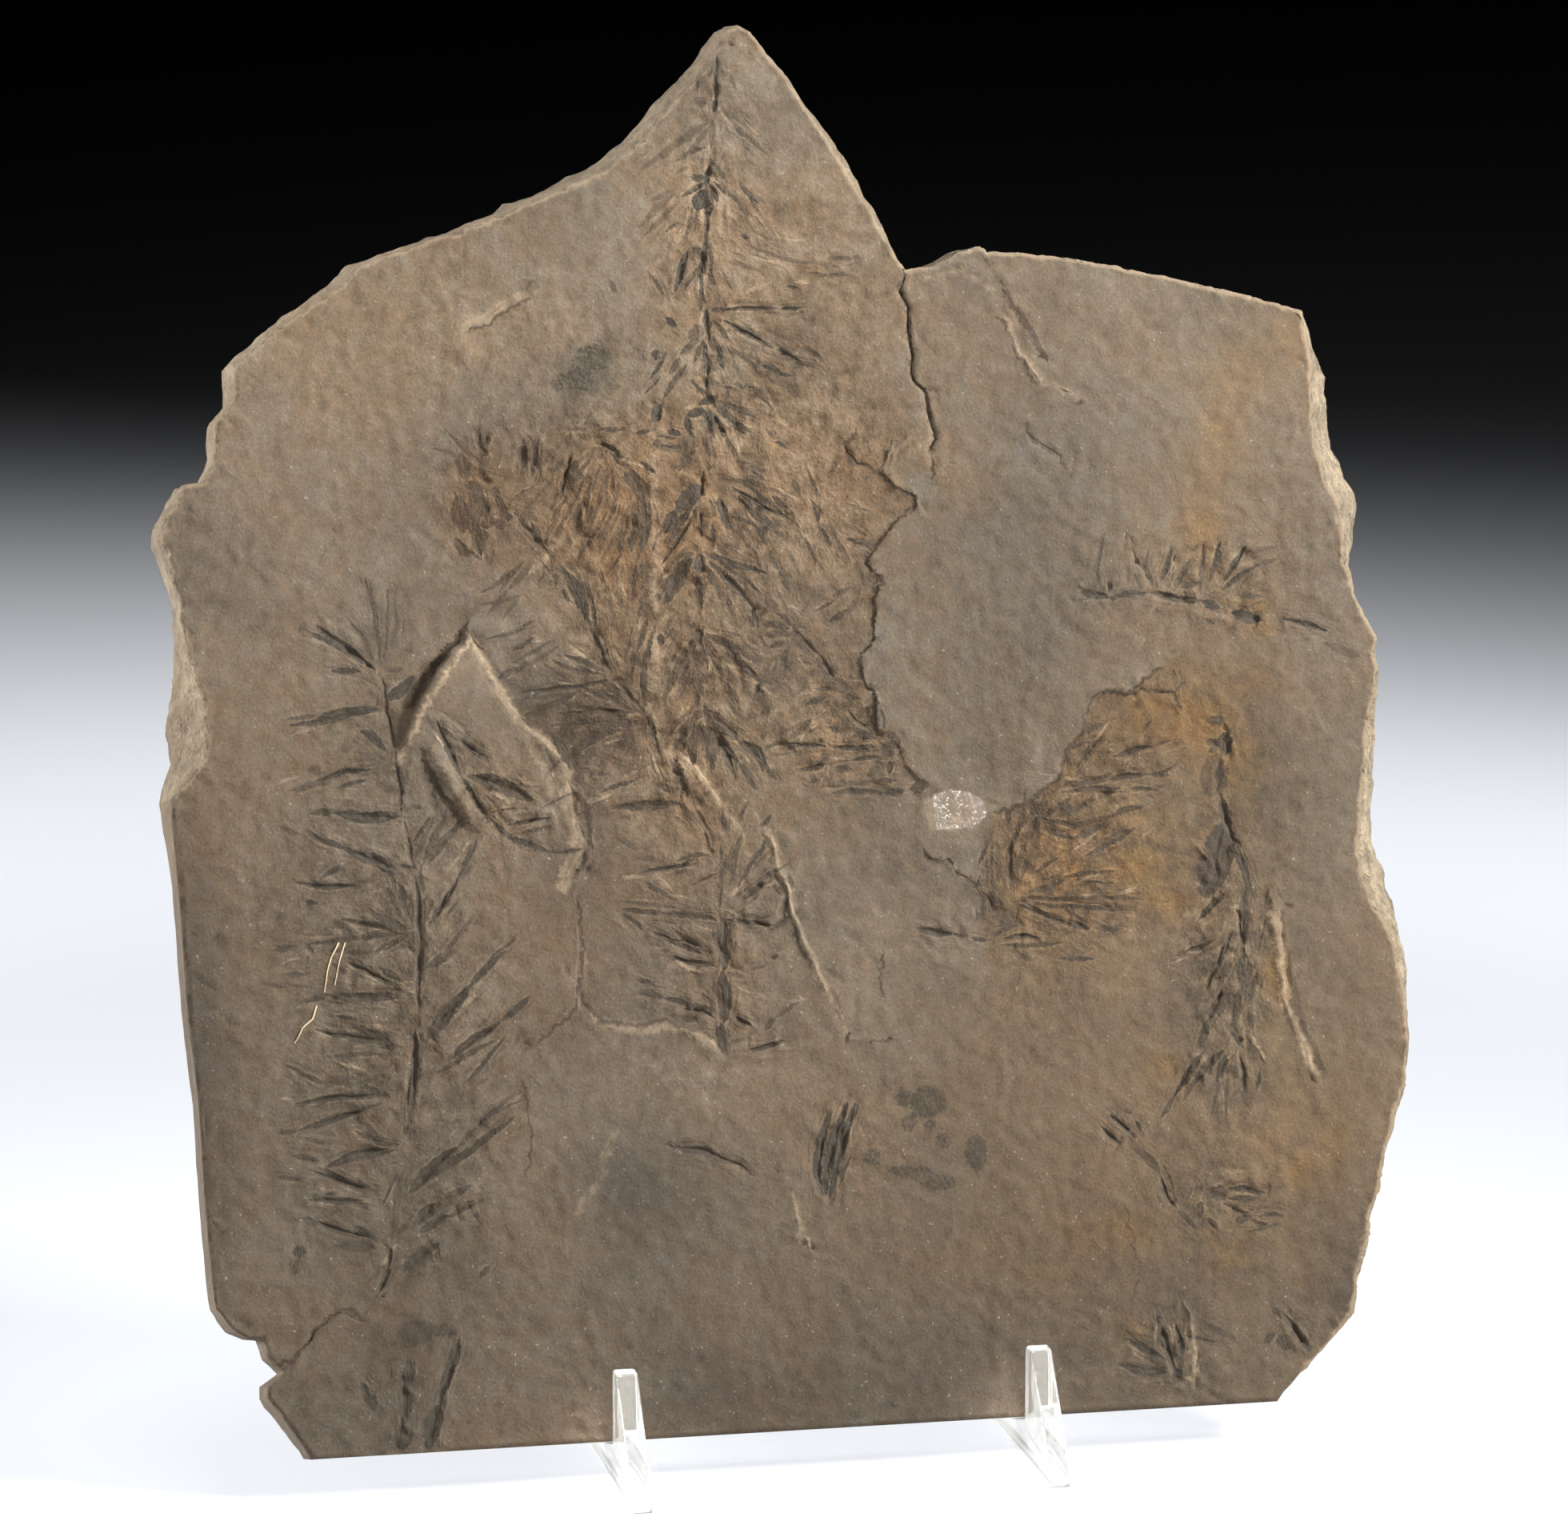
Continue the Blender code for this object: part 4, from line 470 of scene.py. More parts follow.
PRINTS["right group"] = [
    (0.9, 0.9, 112, 246, 133, 245, 149, 245), (0.6, 0.8, 149, 245, 172, 243), (0.8, 0.9, 114, 244, 136, 241,
    166, 238), (1, 1.3, 111, 243, 124, 237, 134, 234), (0.95, 1.3, 134, 234, 145, 230),
    (0.85, 1.1, 115, 248, 126, 251, 134, 254), (0.7, 0.9, 134, 255, 145, 257, 160, 257),
    (0.8, 0.9, 120, 258, 127, 263, 131, 265), (0.75, 1.1, 144, 265, 156, 270, 170, 277),
    (0.8, 1.3, 107, 250, 107, 266, 110, 278), (0.9, 1.3, 107, 281, 107, 289), (0.6, 1.1, 104, 251, 102, 265,
    101, 274), (0.6, 1.1, 109, 253, 112, 264, 116, 274), (0.6, 0.9, 98, 251, 98, 263, 100, 274),
    (0.6, 1.1, 112, 255, 118, 268), (0.9, 1.1, 116, 285, 114, 280), (0.8, 1.3, 97, 251, 97, 238),
    (0.5, 1.3, 93, 248, 93, 238), (1, 2.3, 119, 292, 123, 286), (0.9, 2.3, 122, 285, 119, 276),
    (0.8, 1.1, 124, 288, 128, 292), (0.9, 0.9, 126, 283, 141, 280, 155, 282), (0.7, 1.1, 155, 282, 164, 286,
    176, 288), (0.9, 1.1, 125, 279, 133, 275, 140, 274), (1, 1.5, 140, 274, 149, 277, 155, 280),
    (0.8, 0.9, 128, 286, 134, 289, 139, 293), (0.6, 0.9, 130, 284, 141, 288, 152, 292),
    (0.6, 0.8, 141, 280, 157, 284), (0.95, 1.3, 135, 300, 146, 300, 158, 301),
    (1, 1.3, 158, 301, 168, 303, 178, 303), (0.6, 0.8, 178, 303, 189, 302), (0.9, 1.1, 136, 296, 150, 297,
    164, 297), (0.8, 0.9, 167, 297, 183, 295), (0.6, 0.9, 152, 292, 164, 298),
    (1, 1.1, 143, 308, 149, 316, 157, 322), (1, 1.1, 161, 312, 172, 315, 181, 317),
    (0.6, 0.8, 182, 317, 190, 319), (0.7, 0.8, 139, 316, 144, 318, 150, 319), (0.7, 0.8, 133, 308, 139, 311),
    (0.7, 0.9, 177, 323, 181, 329), (0.7, 0.9, 194, 342, 196, 333), (0.8, 0.9, 98, 228, 103, 233, 110, 233),
    (0.8, 0.9, 112, 234, 109, 238), (0.5, 3.4, 102, 240, 108, 236), (0.9, 1.1, 102, 227, 112, 228, 120, 226),
    (0.7, 0.9, 101, 224, 116, 223, 131, 224), (0.5, 1.1, 133, 222, 142, 217), (0.95, 1.1, 94, 226, 86, 228),
    (1, 1.5, 59, 234, 68, 232, 77, 230), (0.6, 1.1, 77, 230, 83, 229), (0.4, 1.1, 108, 220, 115, 216)]
PRINTS["far right plant"] = [
    (0.9, 3.4, 217, 322, 217, 311), (0.8, 1.7, 215, 316, 207, 318), (0.7, 1.3, 213, 314, 208, 313),
    (0.6, 1.9, 208, 328, 218, 328), (1, 1.8, 214, 308, 213, 294), (1, 1.7, 213, 293, 216, 277, 219, 266),
    (1, 1.8, 219, 266, 223, 254, 225, 243), (1, 1.9, 223, 246, 221, 231, 220, 215),
    (1, 1.7, 219, 214, 217, 201), (0.6, 1.9, 222, 211, 219, 192), (0.7, 1.3, 216, 198, 213, 179),
    (1, 6.6, 217, 280, 210, 262, 202, 242), (0.9, 1.1, 209, 271, 207, 273), (0.45, 5.6, 213, 312, 208, 290),
    (0.95, 1.5, 213, 245, 205, 238, 198, 231), (0.9, 1.1, 204, 221, 192, 217),
    (0.6, 0.9, 192, 217, 186, 215), (0.8, 1.3, 215, 226, 209, 214, 200, 198), (0.7, 1.3, 212, 210, 205, 197),
    (0.95, 1.7, 208, 197, 201, 184), (0.8, 1.7, 200, 184, 195, 170), (0.95, 1.5, 198, 169, 189, 158, 181,
    148), (0.7, 1.1, 181, 148, 174, 138), (0.8, 1.3, 203, 167, 194, 157, 188, 150),
    (0.95, 1.7, 208, 167, 204, 155), (0.8, 1.3, 207, 169, 199, 161), (0.9, 1.3, 211, 178, 215, 173, 217,
    169), (0.8, 0.9, 215, 166, 216, 156, 216, 146), (0.5, 0.9, 213, 166, 211, 150),
    (0.5, 0.9, 204, 155, 199, 138), (0.5, 0.9, 208, 156, 206, 137), (0.6, 1.1, 220, 187, 222, 177),
    (0.6, 1.1, 195, 159, 185, 145)]
PRINTS["cross stem"] = [
    (0.75, 1.7, 150, 392, 164, 389), (0.9, 1.1, 164, 389, 174, 391, 184, 391), (0.8, 1.5, 184, 391, 197,
    388, 211, 386), (0.95, 1.9, 211, 386, 219, 382), (0.95, 2.5, 225, 380, 233, 377, 239, 375),
    (0.7, 1.1, 249, 376, 261, 373, 272, 369), (0.4, 1.7, 270, 363, 288, 356), (0.6, 0.9, 211, 377, 216, 374)]
PRINTS["cross leaves"] = [
    (0.7, 1.3, 215, 395, 219, 406, 222, 415), (0.9, 1.1, 222, 395, 228, 404, 235, 413),
    (0.8, 1.1, 221, 391, 231, 398, 240, 403), (0.5, 0.9, 240, 403, 250, 405), (0.5, 1.1, 210, 390, 212, 406,
    213, 413), (0.6, 1.3, 190, 396, 194, 404, 197, 412), (0.6, 1.3, 196, 391, 202, 401, 207, 408),
    (0.5, 1.1, 186, 393, 183, 405, 185, 411), (0.6, 0.8, 159, 394, 159, 405, 164, 421),
    (0.8, 0.9, 164, 392, 165, 397), (0.4, 1.3, 181, 393, 178, 401), (0.4, 0.9, 174, 395, 175, 407),
    (0.5, 1.1, 200, 393, 210, 395), (0.5, 0.9, 207, 410, 211, 414), (0.5, 1.3, 227, 388, 241, 387)]
PRINTS["lower bits"] = [
    (1, 1.9, 25, 152, 19, 139, 15, 124, 10, 108), (1, 2.0, 21, 153, 15, 139, 10, 124, 8, 109),
    (1, 1.9, 13, 149, 7, 136, 5, 122, 7, 110), (0.95, 1.1, 149, 141, 155, 135, 161, 129),
    (0.9, 1.1, 145, 135, 149, 130, 153, 127), (0.8, 0.9, 162, 137, 164, 132), (0.6, 0.9, 156, 143, 160, 141),
    (0.5, 1.7, 159, 124, 168, 118, 172, 111), (0.9, 1.1, 172, 110, 175, 100, 179, 94),
    (0.6, 1.1, 179, 94, 189, 84), (1, 3.2, 196, 100, 205, 102), (0.95, 1.3, 205, 103, 215, 102, 223, 100),
    (0.9, 1.1, 205, 98, 219, 97), (0.8, 1.1, 202, 96, 212, 91), (0.9, 0.9, 219, 89, 227, 89, 232, 88),
    (0.8, 1.1, 214, 88, 220, 84, 224, 85), (0.7, 1.5, 208, 87, 215, 89), (0.9, 1.1, 194, 89, 199, 84),
    (0.8, 1.3, 191, 97, 190, 89), (1, 1.5, 174, 16, 170, 30, 166, 45),
    (0.95, 1.5, 177, 22, 177, 30, 175, 39), (0.9, 1.7, 168, 23, 159, 29, 151, 34),
    (0.7, 1.7, 169, 17, 158, 18, 146, 22), (0.9, 3, 177, 14, 172, 16), (0.5, 1.3, 189, 39, 195, 36, 201, 32),
    (0.95, 1.5, 228, 42, 234, 34, 241, 22), (0.6, 3.4, 227, 32, 230, 24), (0.6, 1.5, 224, 33, 218, 28),
    (0.7, 3.2, -194, 43, -196, 29, -198, 14), (0.9, 1.1, -197, 38, -198, 27), (0.9, 0.9, -192, 43, -194, 28),
    (0.7, 3.4, -198, 14, -199, 2), (0.9, 2.3, -170, 52, -175, 38, -181, 22),
    (1, 3.4, -181, 22, -185, 11, -187, 1), (0.95, 1.3, -216, 34, -214, 29), (0.7, 2.3, -215, 29, -211, 21),
    (0.9, 1.5, -61, 135, -52, 134, -42, 130), (0.9, 0.9, -42, 130, -34, 126, -27, 121)]

# %% Mottled scraps of film: strength, half width, half height, u, v
SCRAPS = [
    (0.62, 4.6, 5.4, -43.3, 252.6), (0.9, 4.6, 4.2, 30, 75.5), (0.9, 2.3, 2.3, 24, 77),
    (0.8, 2.3, 2.3, 25, 71), (0.8, 2.1, 1.5, 30, 70), (0.7, 2.5, 2.3, 33, 66), (0.85, 2.9, 4.6, 41, 63),
    (0.7, 2.7, 2.5, 16, 63), (0.8, 5.7, 1.9, 24.5, 59.5), (0.75, 5.3, 2.1, 31.5, 56.5),
    (0.6, 1.5, 2.7, 42.5, 52), (0.4, 2.3, 3.4, 56.5, 64.5), (0.9, 4.6, 3.4, -95, 28),
    (0.8, 4.2, 2.3, -89, 28), (0.5, 4.9, 2.3, -104.5, 28.5), (0.6, 4.2, 1.5, -98, 25),
    (0.8, 4.9, 3.8, -40.5, 256), (0.75, 5.7, 3.0, -46.5, 250), (0.6, 2.7, 2.3, -38.5, 259),
    (0.6, 2.9, 2.9, -57.5, 211), (0.6, 2.5, 3.8, -53.5, 203.5),
]

# %% [markdown]
# ## Soft fields over the face
# Iron stains, the grey, pale and dark areas, and the torn patches round the plants have no sharp edge.
# The pale and dark areas are partly the stone's own tone and partly painted light and shade: paler towards
# the top, darker towards the bottom and the right.
# Each is a sum of soft round spots, listed one by one. The shader breaks them up with noise. They are
# stored for the whole slab, so they show faintly on its back as well.

# %% Spots: strength, half width, half height, u, v
SPOTS = {}
SPOTS["rust"] = [
    (1.0, 8, 10, -72, 219), (1.0, 16, 16, -43, 222), (0.9, 9, 9, -66, 228), (0.8, 10, 12, -34, 205),
    (0.55, 20, 14, -38, 170), (0.5, 10, 26, -20, 215), (0.5, 8, 14, -22, 150), (0.65, 9, 12, -18, 108),
    (0.4, 22, 16, 6, 225), (0.6, 14, 22, 66, 132), (0.35, 8, 8, -126, 115), (0.3, 25, 20, 4, 190),
    (0.3, 14, 10, 12, 160), (0.4, 12, 10, 80, 160), (0.3, 14, 8, -40, 128), (0.3, 40, 12, 60, 34),
    (0.3, 12, 20, -52, 120)]
SPOTS["ochre"] = [
    (0.6, 9, 7, 129, 256), (0.5, 8, 8, 119, 248), (0.5, 6, 10, 113, 233), (0.5, 6, 12, 107, 218),
    (0.5, 5, 8, 106, 207), (0.9, 5, 3, 118, 191), (1.0, 4, 2, 119, 185.5), (0.8, 5, 3, 118, 172),
    (0.7, 16, 9, 88, 131), (0.7, 18, 8, 95, 165), (0.7, 7, 10, 111, 156), (0.6, 8, 3, 93, 120),
    (0.9, 3, 8, 118, 103), (0.5, 6, 4, 89, 81), (0.7, 5, 5, 122, 53), (0.6, 3, 6, 130, 59),
    (0.5, 8, 6, 101, 35), (0.5, 9, 4, 74, 43), (0.5, 5, 5, 78, 19), (0.35, 20, 26, 108, 150),
    (0.25, 24, 40, 120, 60), (0.3, 70, 90, 85, 60), (0.3, 16, 20, 66, 127), (0.2, 30, 14, 60, 40),
    (0.3, 8, 6, 55, 100)]
SPOTS["grey"] = [
    (0.9, 6, 7, -43.3, 252.6), (0.9, 17, 16, -35, 56), (0.4, 22, 14, -12, 58), (0.75, 22, 28, 55, 196),
    (0.6, 16, 22, 50, 225), (0.4, 30, 24, 85, 235), (0.35, 14, 14, -45, 252), (0.3, 25, 25, -110, 225),
    (0.5, 12, 8, 30, 62), (0.5, 10, 14, 46, 165), (0.3, 20, 20, -60, 30), (0.3, 20, 12, -70, 272)]
# Partly paler stone and partly painted light, mostly towards the top.
SPOTS["pale"] = [
    (0.8, 14, 16, 0, 322), (0.45, 26, 22, -15, 290), (0.4, 40, 14, -75, 270), (0.8, 24, 26, -125, 245),
    (0.5, 12, 14, -115, 250), (0.4, 22, 22, 85, 262), (0.4, 14, 30, 122, 250), (0.5, 12, 18, -8, 126),
    (0.45, 16, 22, 18, 118), (0.3, 20, 12, -35, 88), (0.5, 6, 20, -138, 180), (0.3, 14, 10, -5, 262),
    (0.3, 13, 18, -68, 166), (0.3, 30, 22, -100, 200), (0.35, 14, 26, 10, 215), (0.3, 20, 14, -56, 190),
    (0.4, 12, 12, -10, 298), (0.3, 14, 14, -42, 270), (0.3, 24, 9, -30, 83), (0.3, 50, 26, -70, 255),
    (0.25, 20, 20, -20, 288), (0.35, 16, 20, 24, 285)]
# Partly darker stone and partly painted shade, mostly towards the bottom and the right.
SPOTS["dark"] = [
    (0.4, 400, 45, 0, 0), (0.7, 10, 60, -147, 90), (0.6, 10, 30, -52, 150), (0.7, 14, 34, 116, 150),
    (0.4, 12, 14, -60, 92), (0.38, 130, 120, 0, 70), (0.15, 46, 22, 40, 10), (0.1, 46, 24, -60, 14),
    (0.4, 40, 50, 60, 60), (0.3, 14, 14, 132, 32), (0.3, 16, 12, -25, 122), (0.35, 30, 40, 60, 180),
    (0.5, 22, 12, -60, 172), (0.4, 26, 34, -100, 60), (0.2, 30, 24, 0, 30), (0.35, 26, 14, -40, 172),
    (0.3, 14, 30, -90, 110), (0.4, 12, 34, 134, 60), (0.35, 16, 24, 140, 100), (0.3, 18, 18, -50, 214),
    (0.5, 26, 20, -105, 20), (0.4, 22, 22, -35, 50), (0.5, 9, 50, -140, 90), (0.3, 40, 60, -110, 110),
    (0.5, 40, 10, -25, 8), (0.25, 16, 16, 24, 140), (0.3, 12, 16, -44, 58), (0.25, 16, 18, 96, 176),
    (0.25, 10, 14, 95, 95), (0.35, 8, 12, 124, 24)]
SPOTS["torn"] = [
    (0.8, 9, 12, -72, 220), (1.0, 26, 46, -20, 205), (0.9, 18, 26, -44, 222), (0.8, 22, 24, -34, 170),
    (0.7, 14, 34, -12, 290), (0.9, 22, 26, 10, 232), (0.8, 18, 16, 12, 166), (1.0, 20, 28, 68, 134),
    (0.8, 12, 34, 106, 110), (0.5, 26, 14, 105, 196), (0.6, 18, 34, -20, 116), (0.5, 22, 30, 18, 285),
    (0.4, 30, 20, -70, 262), (0.75, 26, 58, -96, 110), (0.5, 16, 12, -66, 152), (0.5, 14, 14, 12, 68),
    (0.4, 16, 12, 84, 15), (0.4, 20, 16, 100, 55)]
SPOTS["brown_film"] = [
    (1.0, 9, 12, -72, 220), (1.0, 22, 18, -43, 222), (1.0, 12, 12, -66, 230), (0.7, 22, 16, -38, 168),
    (0.6, 14, 24, -18, 185), (0.5, 20, 40, -18, 118), (0.7, 22, 26, 66, 134), (0.5, 14, 40, 106, 115),
    (0.4, 26, 22, 12, 190), (0.5, 16, 12, 103, 50), (0.35, 20, 60, -90, 90), (0.4, 16, 14, -66, 152)]
MOST_DARK = 1.6  # highest value of the dark field; the others end at 1


def field(name, where):
    """Sum of a kind's spots at rows (u, v), up to the kind's limit."""
    total = np.zeros(len(where))
    for strength, half_u, half_v, u, v in SPOTS[name]:
        total += strength * np.exp(-((where[:, 0] - u) / half_u) ** 2 - ((where[:, 1] - v) / half_v) ** 2)
    return np.clip(total, 0, MOST_DARK if name == "dark" else 1)


print("spots:", {name: len(spots) for name, spots in SPOTS.items()})

# %% [markdown]
# ## Measuring from a stroke
# Relief and colour both need to know, for any point of the face, how far along a stroke it lies and
# how far to the side. One helper gives both. Past the two ends it goes on in a straight line, so
# the grain that follows a leaf doesn't curl round its tip.

# %% Distance along and across a chain of points
def along_and_across(where, chain):
    """For rows (u, v): true distance, distance along and signed distance across, in mm."""
    start = chain[:-1]
    step = chain[1:] - start
    lengths = np.linalg.norm(step, axis=1)
    to_point = where[:, None, :] - start[None]
    free = (to_point * step).sum(2) / lengths ** 2
    held = np.clip(free, 0, 1)
    distance = np.linalg.norm(to_point - held[..., None] * step, axis=2)
    best = distance.argmin(1)
    rows = np.arange(len(where))
    run = held[rows, best]
    run = np.where((best == 0) & (free[rows, 0] < 0), free[rows, 0], run)
    last = len(start) - 1
    run = np.where((best == last) & (free[rows, last] > 1), free[rows, last], run)
    before = np.concatenate([[0], np.cumsum(lengths)])[:-1]
    along = before[best] + run * lengths[best]
    cross = step[best, 0] * to_point[rows, best, 1] - step[best, 1] * to_point[rows, best, 0]
    side = cross / lengths[best]
    return distance[rows, best], along, side


LINE_TAPER = 12  # how fast a line widens from its ends
LINE_LEAST = 0.25  # share of its width that it has at its ends
LEAF_BASE, LEAF_TIP = 0.3, 0.35  # shares of a leaf's length over which its two ends narrow
LEAF_FULLNESS = 0.6  # power that rounds a leaf's form


class Stroke:
    """One print, line or loose fibre on the face."""

    def __init__(self, values, kind, is_stem=False):
        self.kind = kind
        self.is_stem = is_stem
        self.strength = values[0]
        self.half = values[1] / 2
        self.chain = np.array(list(zip(values[2::2], values[3::2])), dtype=float)
        self.length = float(np.linalg.norm(np.diff(self.chain, axis=0), axis=1).sum())

    def near(self, where, reach):
        """Which rows (u, v) may lie within reach of the stroke."""
        low = self.chain.min(0) - reach
        high = self.chain.max(0) + reach
        return np.where(np.all((where > low) & (where < high), axis=1))[0]

    def fullness(self, along):
        """Share of the full width at a distance along: narrow at both ends, widest past the middle."""
        share = np.clip(along / self.length, 0, 1)
        if self.kind == LINE:
            return np.clip(np.minimum(share, 1 - share) * LINE_TAPER, LINE_LEAST, 1)
        form = np.minimum(share / LEAF_BASE, (1 - share) / LEAF_TIP)
        return np.clip(form, 0, 1) ** LEAF_FULLNESS


LINE, LEAF, FIBRE = "line", "leaf", "fibre"
strokes = [Stroke(values, LINE) for group in LINES.values() for values in group]
for name, group in PRINTS.items():
    for strength, width, *places in group:
        values = (strength, width, *(place / 2 for place in places))
        strokes.append(Stroke(values, LEAF, "stem" in name))
print(len(strokes), "strokes,", sum(stroke.kind == LINE for stroke in strokes), "of them lines")

# %% [markdown]
# ## Loose fibres
# Between the leaves the stone is torn into fine fibres, some dark with film and some pale and
# freshly broken. They lie roughly along the nearest leaf. Too many to place one by one, they are
# scattered where it is torn, and the nearest leaf gives each its direction.

# %% Scatter fibres along the leaves
FIBRE_TRIES = 3600
FIBRE_TURN = 11.0  # degrees, spread of a fibre's direction about the leaf's
FIBRE_DISTANCE = 7.0  # how much further from a leaf one may lie where the stone is all torn
CLOSEST_SHARE = 0.25  # of that distance, allowed where it is hardly torn
PALE_SHARE = 0.45
FIBRE_BEND = 9  # degrees, spread of the bend at a fibre's middle
FIBRE_U, FIBRE_V = (-125, 140), (8, 325)
FIBRE_LENGTH, FIBRE_WIDTH, FIBRE_STRENGTH = (2.5, 9), (0.35, 1.0), (0.3, 0.85)
LEAST_LENGTH, MOST_HALF = 4, 1.5  # of the leaves that fibres follow
rng = random.Random(5)
leaves = [one for one in strokes if one.kind == LEAF and one.length > LEAST_LENGTH and one.half < MOST_HALF]
pieces_of_leaf = np.array([
    (*a, *b) for stroke in leaves
    for a, b in zip(stroke.chain, stroke.chain[1:])])


def nearest_direction(u, v):
    """Distance to the nearest leaf, and the angle of that leaf."""
    start = pieces_of_leaf[:, :2]
    step = pieces_of_leaf[:, 2:] - start
    run = np.clip(((np.array([u, v]) - start) * step).sum(1) / (step ** 2).sum(1), 0, 1)
    distance = np.linalg.norm(start + run[:, None] * step - (u, v), axis=1)
    best = int(distance.argmin())
    return distance[best], math.atan2(step[best, 1], step[best, 0])


fibres = []
for _ in range(FIBRE_TRIES):
    u = rng.uniform(*FIBRE_U)
    v = rng.uniform(*FIBRE_V)
    length = rng.uniform(*FIBRE_LENGTH)
    width = rng.uniform(*FIBRE_WIDTH)
    sign = -1 if rng.random() < PALE_SHARE else 1
    strength = sign * rng.uniform(*FIBRE_STRENGTH)
    turn = math.radians(rng.gauss(0, FIBRE_TURN))
    bend = math.radians(rng.gauss(0, FIBRE_BEND))
    torn_there = field("torn", np.array([(u, v)]))[0]
    if rng.random() > torn_there:
        continue
    distance, angle = nearest_direction(u, v)
    if distance > FIBRE_DISTANCE * (CLOSEST_SHARE + torn_there):
        continue
    angle += turn
    half_step = length / 2
    bent = angle + bend
    fibres.append((
        strength, width,
        u - math.cos(angle) * half_step, v - math.sin(angle) * half_step, u, v,
        u + math.cos(bent) * half_step, v + math.sin(bent) * half_step))
strokes += [Stroke(values, FIBRE) for values in fibres]
print("fibres:", len(fibres))

# %% [markdown]
# ## Noise, ramps and neighbours
# Stone is never even, so most of what follows is a noise or a soft ramp from one value to another.
# A noise has a size in millimetres and a seed, so it is the same each time.

# %% Helpers for shaping the stone
SEED_STEP = (7.31, 3.17, 5.93)  # shift of the noise in x, y and z for each whole seed


def vertices_of(kind):
    """Which vertices touch a face of one kind."""
    touched = np.zeros(len(slab.data.vertices), dtype=bool)
    touched[corners[part == kind].ravel()] = True
    return touched


def edge_pairs(mesh):
    """Both ends of each edge as rows."""
    values = np.zeros(len(mesh.edges) * 2, dtype=np.int64)
    mesh.edges.foreach_get("vertices", values)
    return values.reshape(-1, 2)


def noise_at(rows, scale, seed):
    """Smooth noise in -1..1 at rows of coordinates, with features about one scale wide."""
    shift = Vector([seed * step for step in SEED_STEP])
    return np.array([noise.noise(Vector(row) / scale + shift) for row in rows])


def ramp(values, low, high):
    """0 below low, 1 above high and straight in between."""
    return np.clip((values - low) / (high - low), 0, 1)


def flattened(rows):
    """Rows (u, v) as rows (u, v, 0)."""
    return np.column_stack([rows, np.zeros(len(rows))])


def between(values, low, high):
    """Which values lie between two limits."""
    return (values > low) & (values < high)


# %% Where each point of the face lies
LINE_REACH, NOWHERE = 8.0, 1e9  # how far from a line distances are measured, and a huge distance
FLAKE_LEFT = np.array([(-74, 192.5), (-80, 185), (-87.5, 174), (-91.5, 166)])
FLAKE_RIGHT = np.array([(-74, 192.5), (-68, 179), (-62, 169.5), (-54, 161.5), (-51, 151.5)])
MAIN_CRACK = np.array([(37, 276), (37, 256), (36, 248), (40, 244)], dtype=float)

on_face, on_wall, on_back = (vertices_of(kind) for kind in (SPLIT_FACE, WALL, BACK))
uvw = to_face(coordinates(slab.data))
inner = np.where(on_face & ~on_wall)[0]
where = uvw[inner, :2].copy()
face_u, face_v = where[:, 0], where[:, 1]
flat = flattened(where)
to_line = np.full(len(inner), NOWHERE)
for stroke in strokes:
    if stroke.kind == LINE and stroke.strength > 0:
        near = stroke.near(where, LINE_REACH)
        to_line[near] = np.minimum(to_line[near], along_and_across(where[near], stroke.chain)[0])
rim = uvw[on_face & on_wall][:, :2]
to_rim = np.array([np.sqrt(((rim - row) ** 2).sum(1).min()) for row in where])
to_left, _, left_side = along_and_across(where, FLAKE_LEFT)
to_right = along_and_across(where, FLAKE_RIGHT)[0]
to_main = along_and_across(where, MAIN_CRACK)[0]
print("points inside the face:", len(inner), "and on its rim:", len(rim))

# %% [markdown]
# ## Smoothing the face, and filling old grooves
# The frame's triangles leave faint flat spots. The height of each point is averaged with its
# neighbours a few times, and less so near a crack or a lip. The frame's grooves look too deep for a
# film of carbon, so a point that lies lower than a broad average is then raised. The flake's sides
# and the main crack are real steps, and nothing is filled beside them.

# %% Smooth and fill
SMOOTH_ROUNDS = 5
LINE_HALF, KEEP_SHARP = 0.6, 1.6  # where smoothing begins to grow beside a line, and how far
LEAST_FREEDOM = 0.28  # by a line, as a share of the most
MOST_FREEDOM = 0.8  # how far a point moves to its neighbours' mean in a round
WORN_ROUNDS = 8
WORN_SHARE = 0.85  # how far old grooves are filled with grit
GROOVE_LEFT = 0.06  # depth below the broad height that stays
REAL_STEP = (2, 5)  # distances from a real step over which the filling begins

freedom = np.zeros(len(uvw))
freedom[inner] = np.clip((to_line - LINE_HALF) / KEEP_SHARP, LEAST_FREEDOM, 1) * MOST_FREEDOM
ends = edge_pairs(slab.data)
ends = ends[on_face[ends].all(1)]
neighbours = np.bincount(ends.ravel(), minlength=len(uvw))


def neighbour_mean(values):
    """For each point, the mean over the points that an edge of the face joins it to."""
    total = np.bincount(ends[:, 0], values[ends[:, 1]], len(values))
    total += np.bincount(ends[:, 1], values[ends[:, 0]], len(values))
    return total / np.maximum(neighbours, 1)


for _ in range(SMOOTH_ROUNDS):
    uvw[:, 2] += freedom * (neighbour_mean(uvw[:, 2]) - uvw[:, 2])
broad_height = uvw[:, 2].copy()
for _ in range(WORN_ROUNDS):
    broad_height[inner] = neighbour_mean(broad_height)[inner]
sunk = np.maximum(broad_height[inner] - uvw[inner, 2] - GROOVE_LEFT, 0)
to_step = np.minimum(np.minimum(to_left, to_right), to_main)
uvw[inner, 2] += sunk * (ramp(to_step, *REAL_STEP) * WORN_SHARE)
print("deepest groove:", round(float(sunk.max()), 2), "mm")

# %% [markdown]
# ## Relief of the face
# The whole face is slightly rough, and coarser where it is torn. Thin terraces show where layers
# ended. Each print and crack gets a shallow groove, and the cracks are partly worn shut.

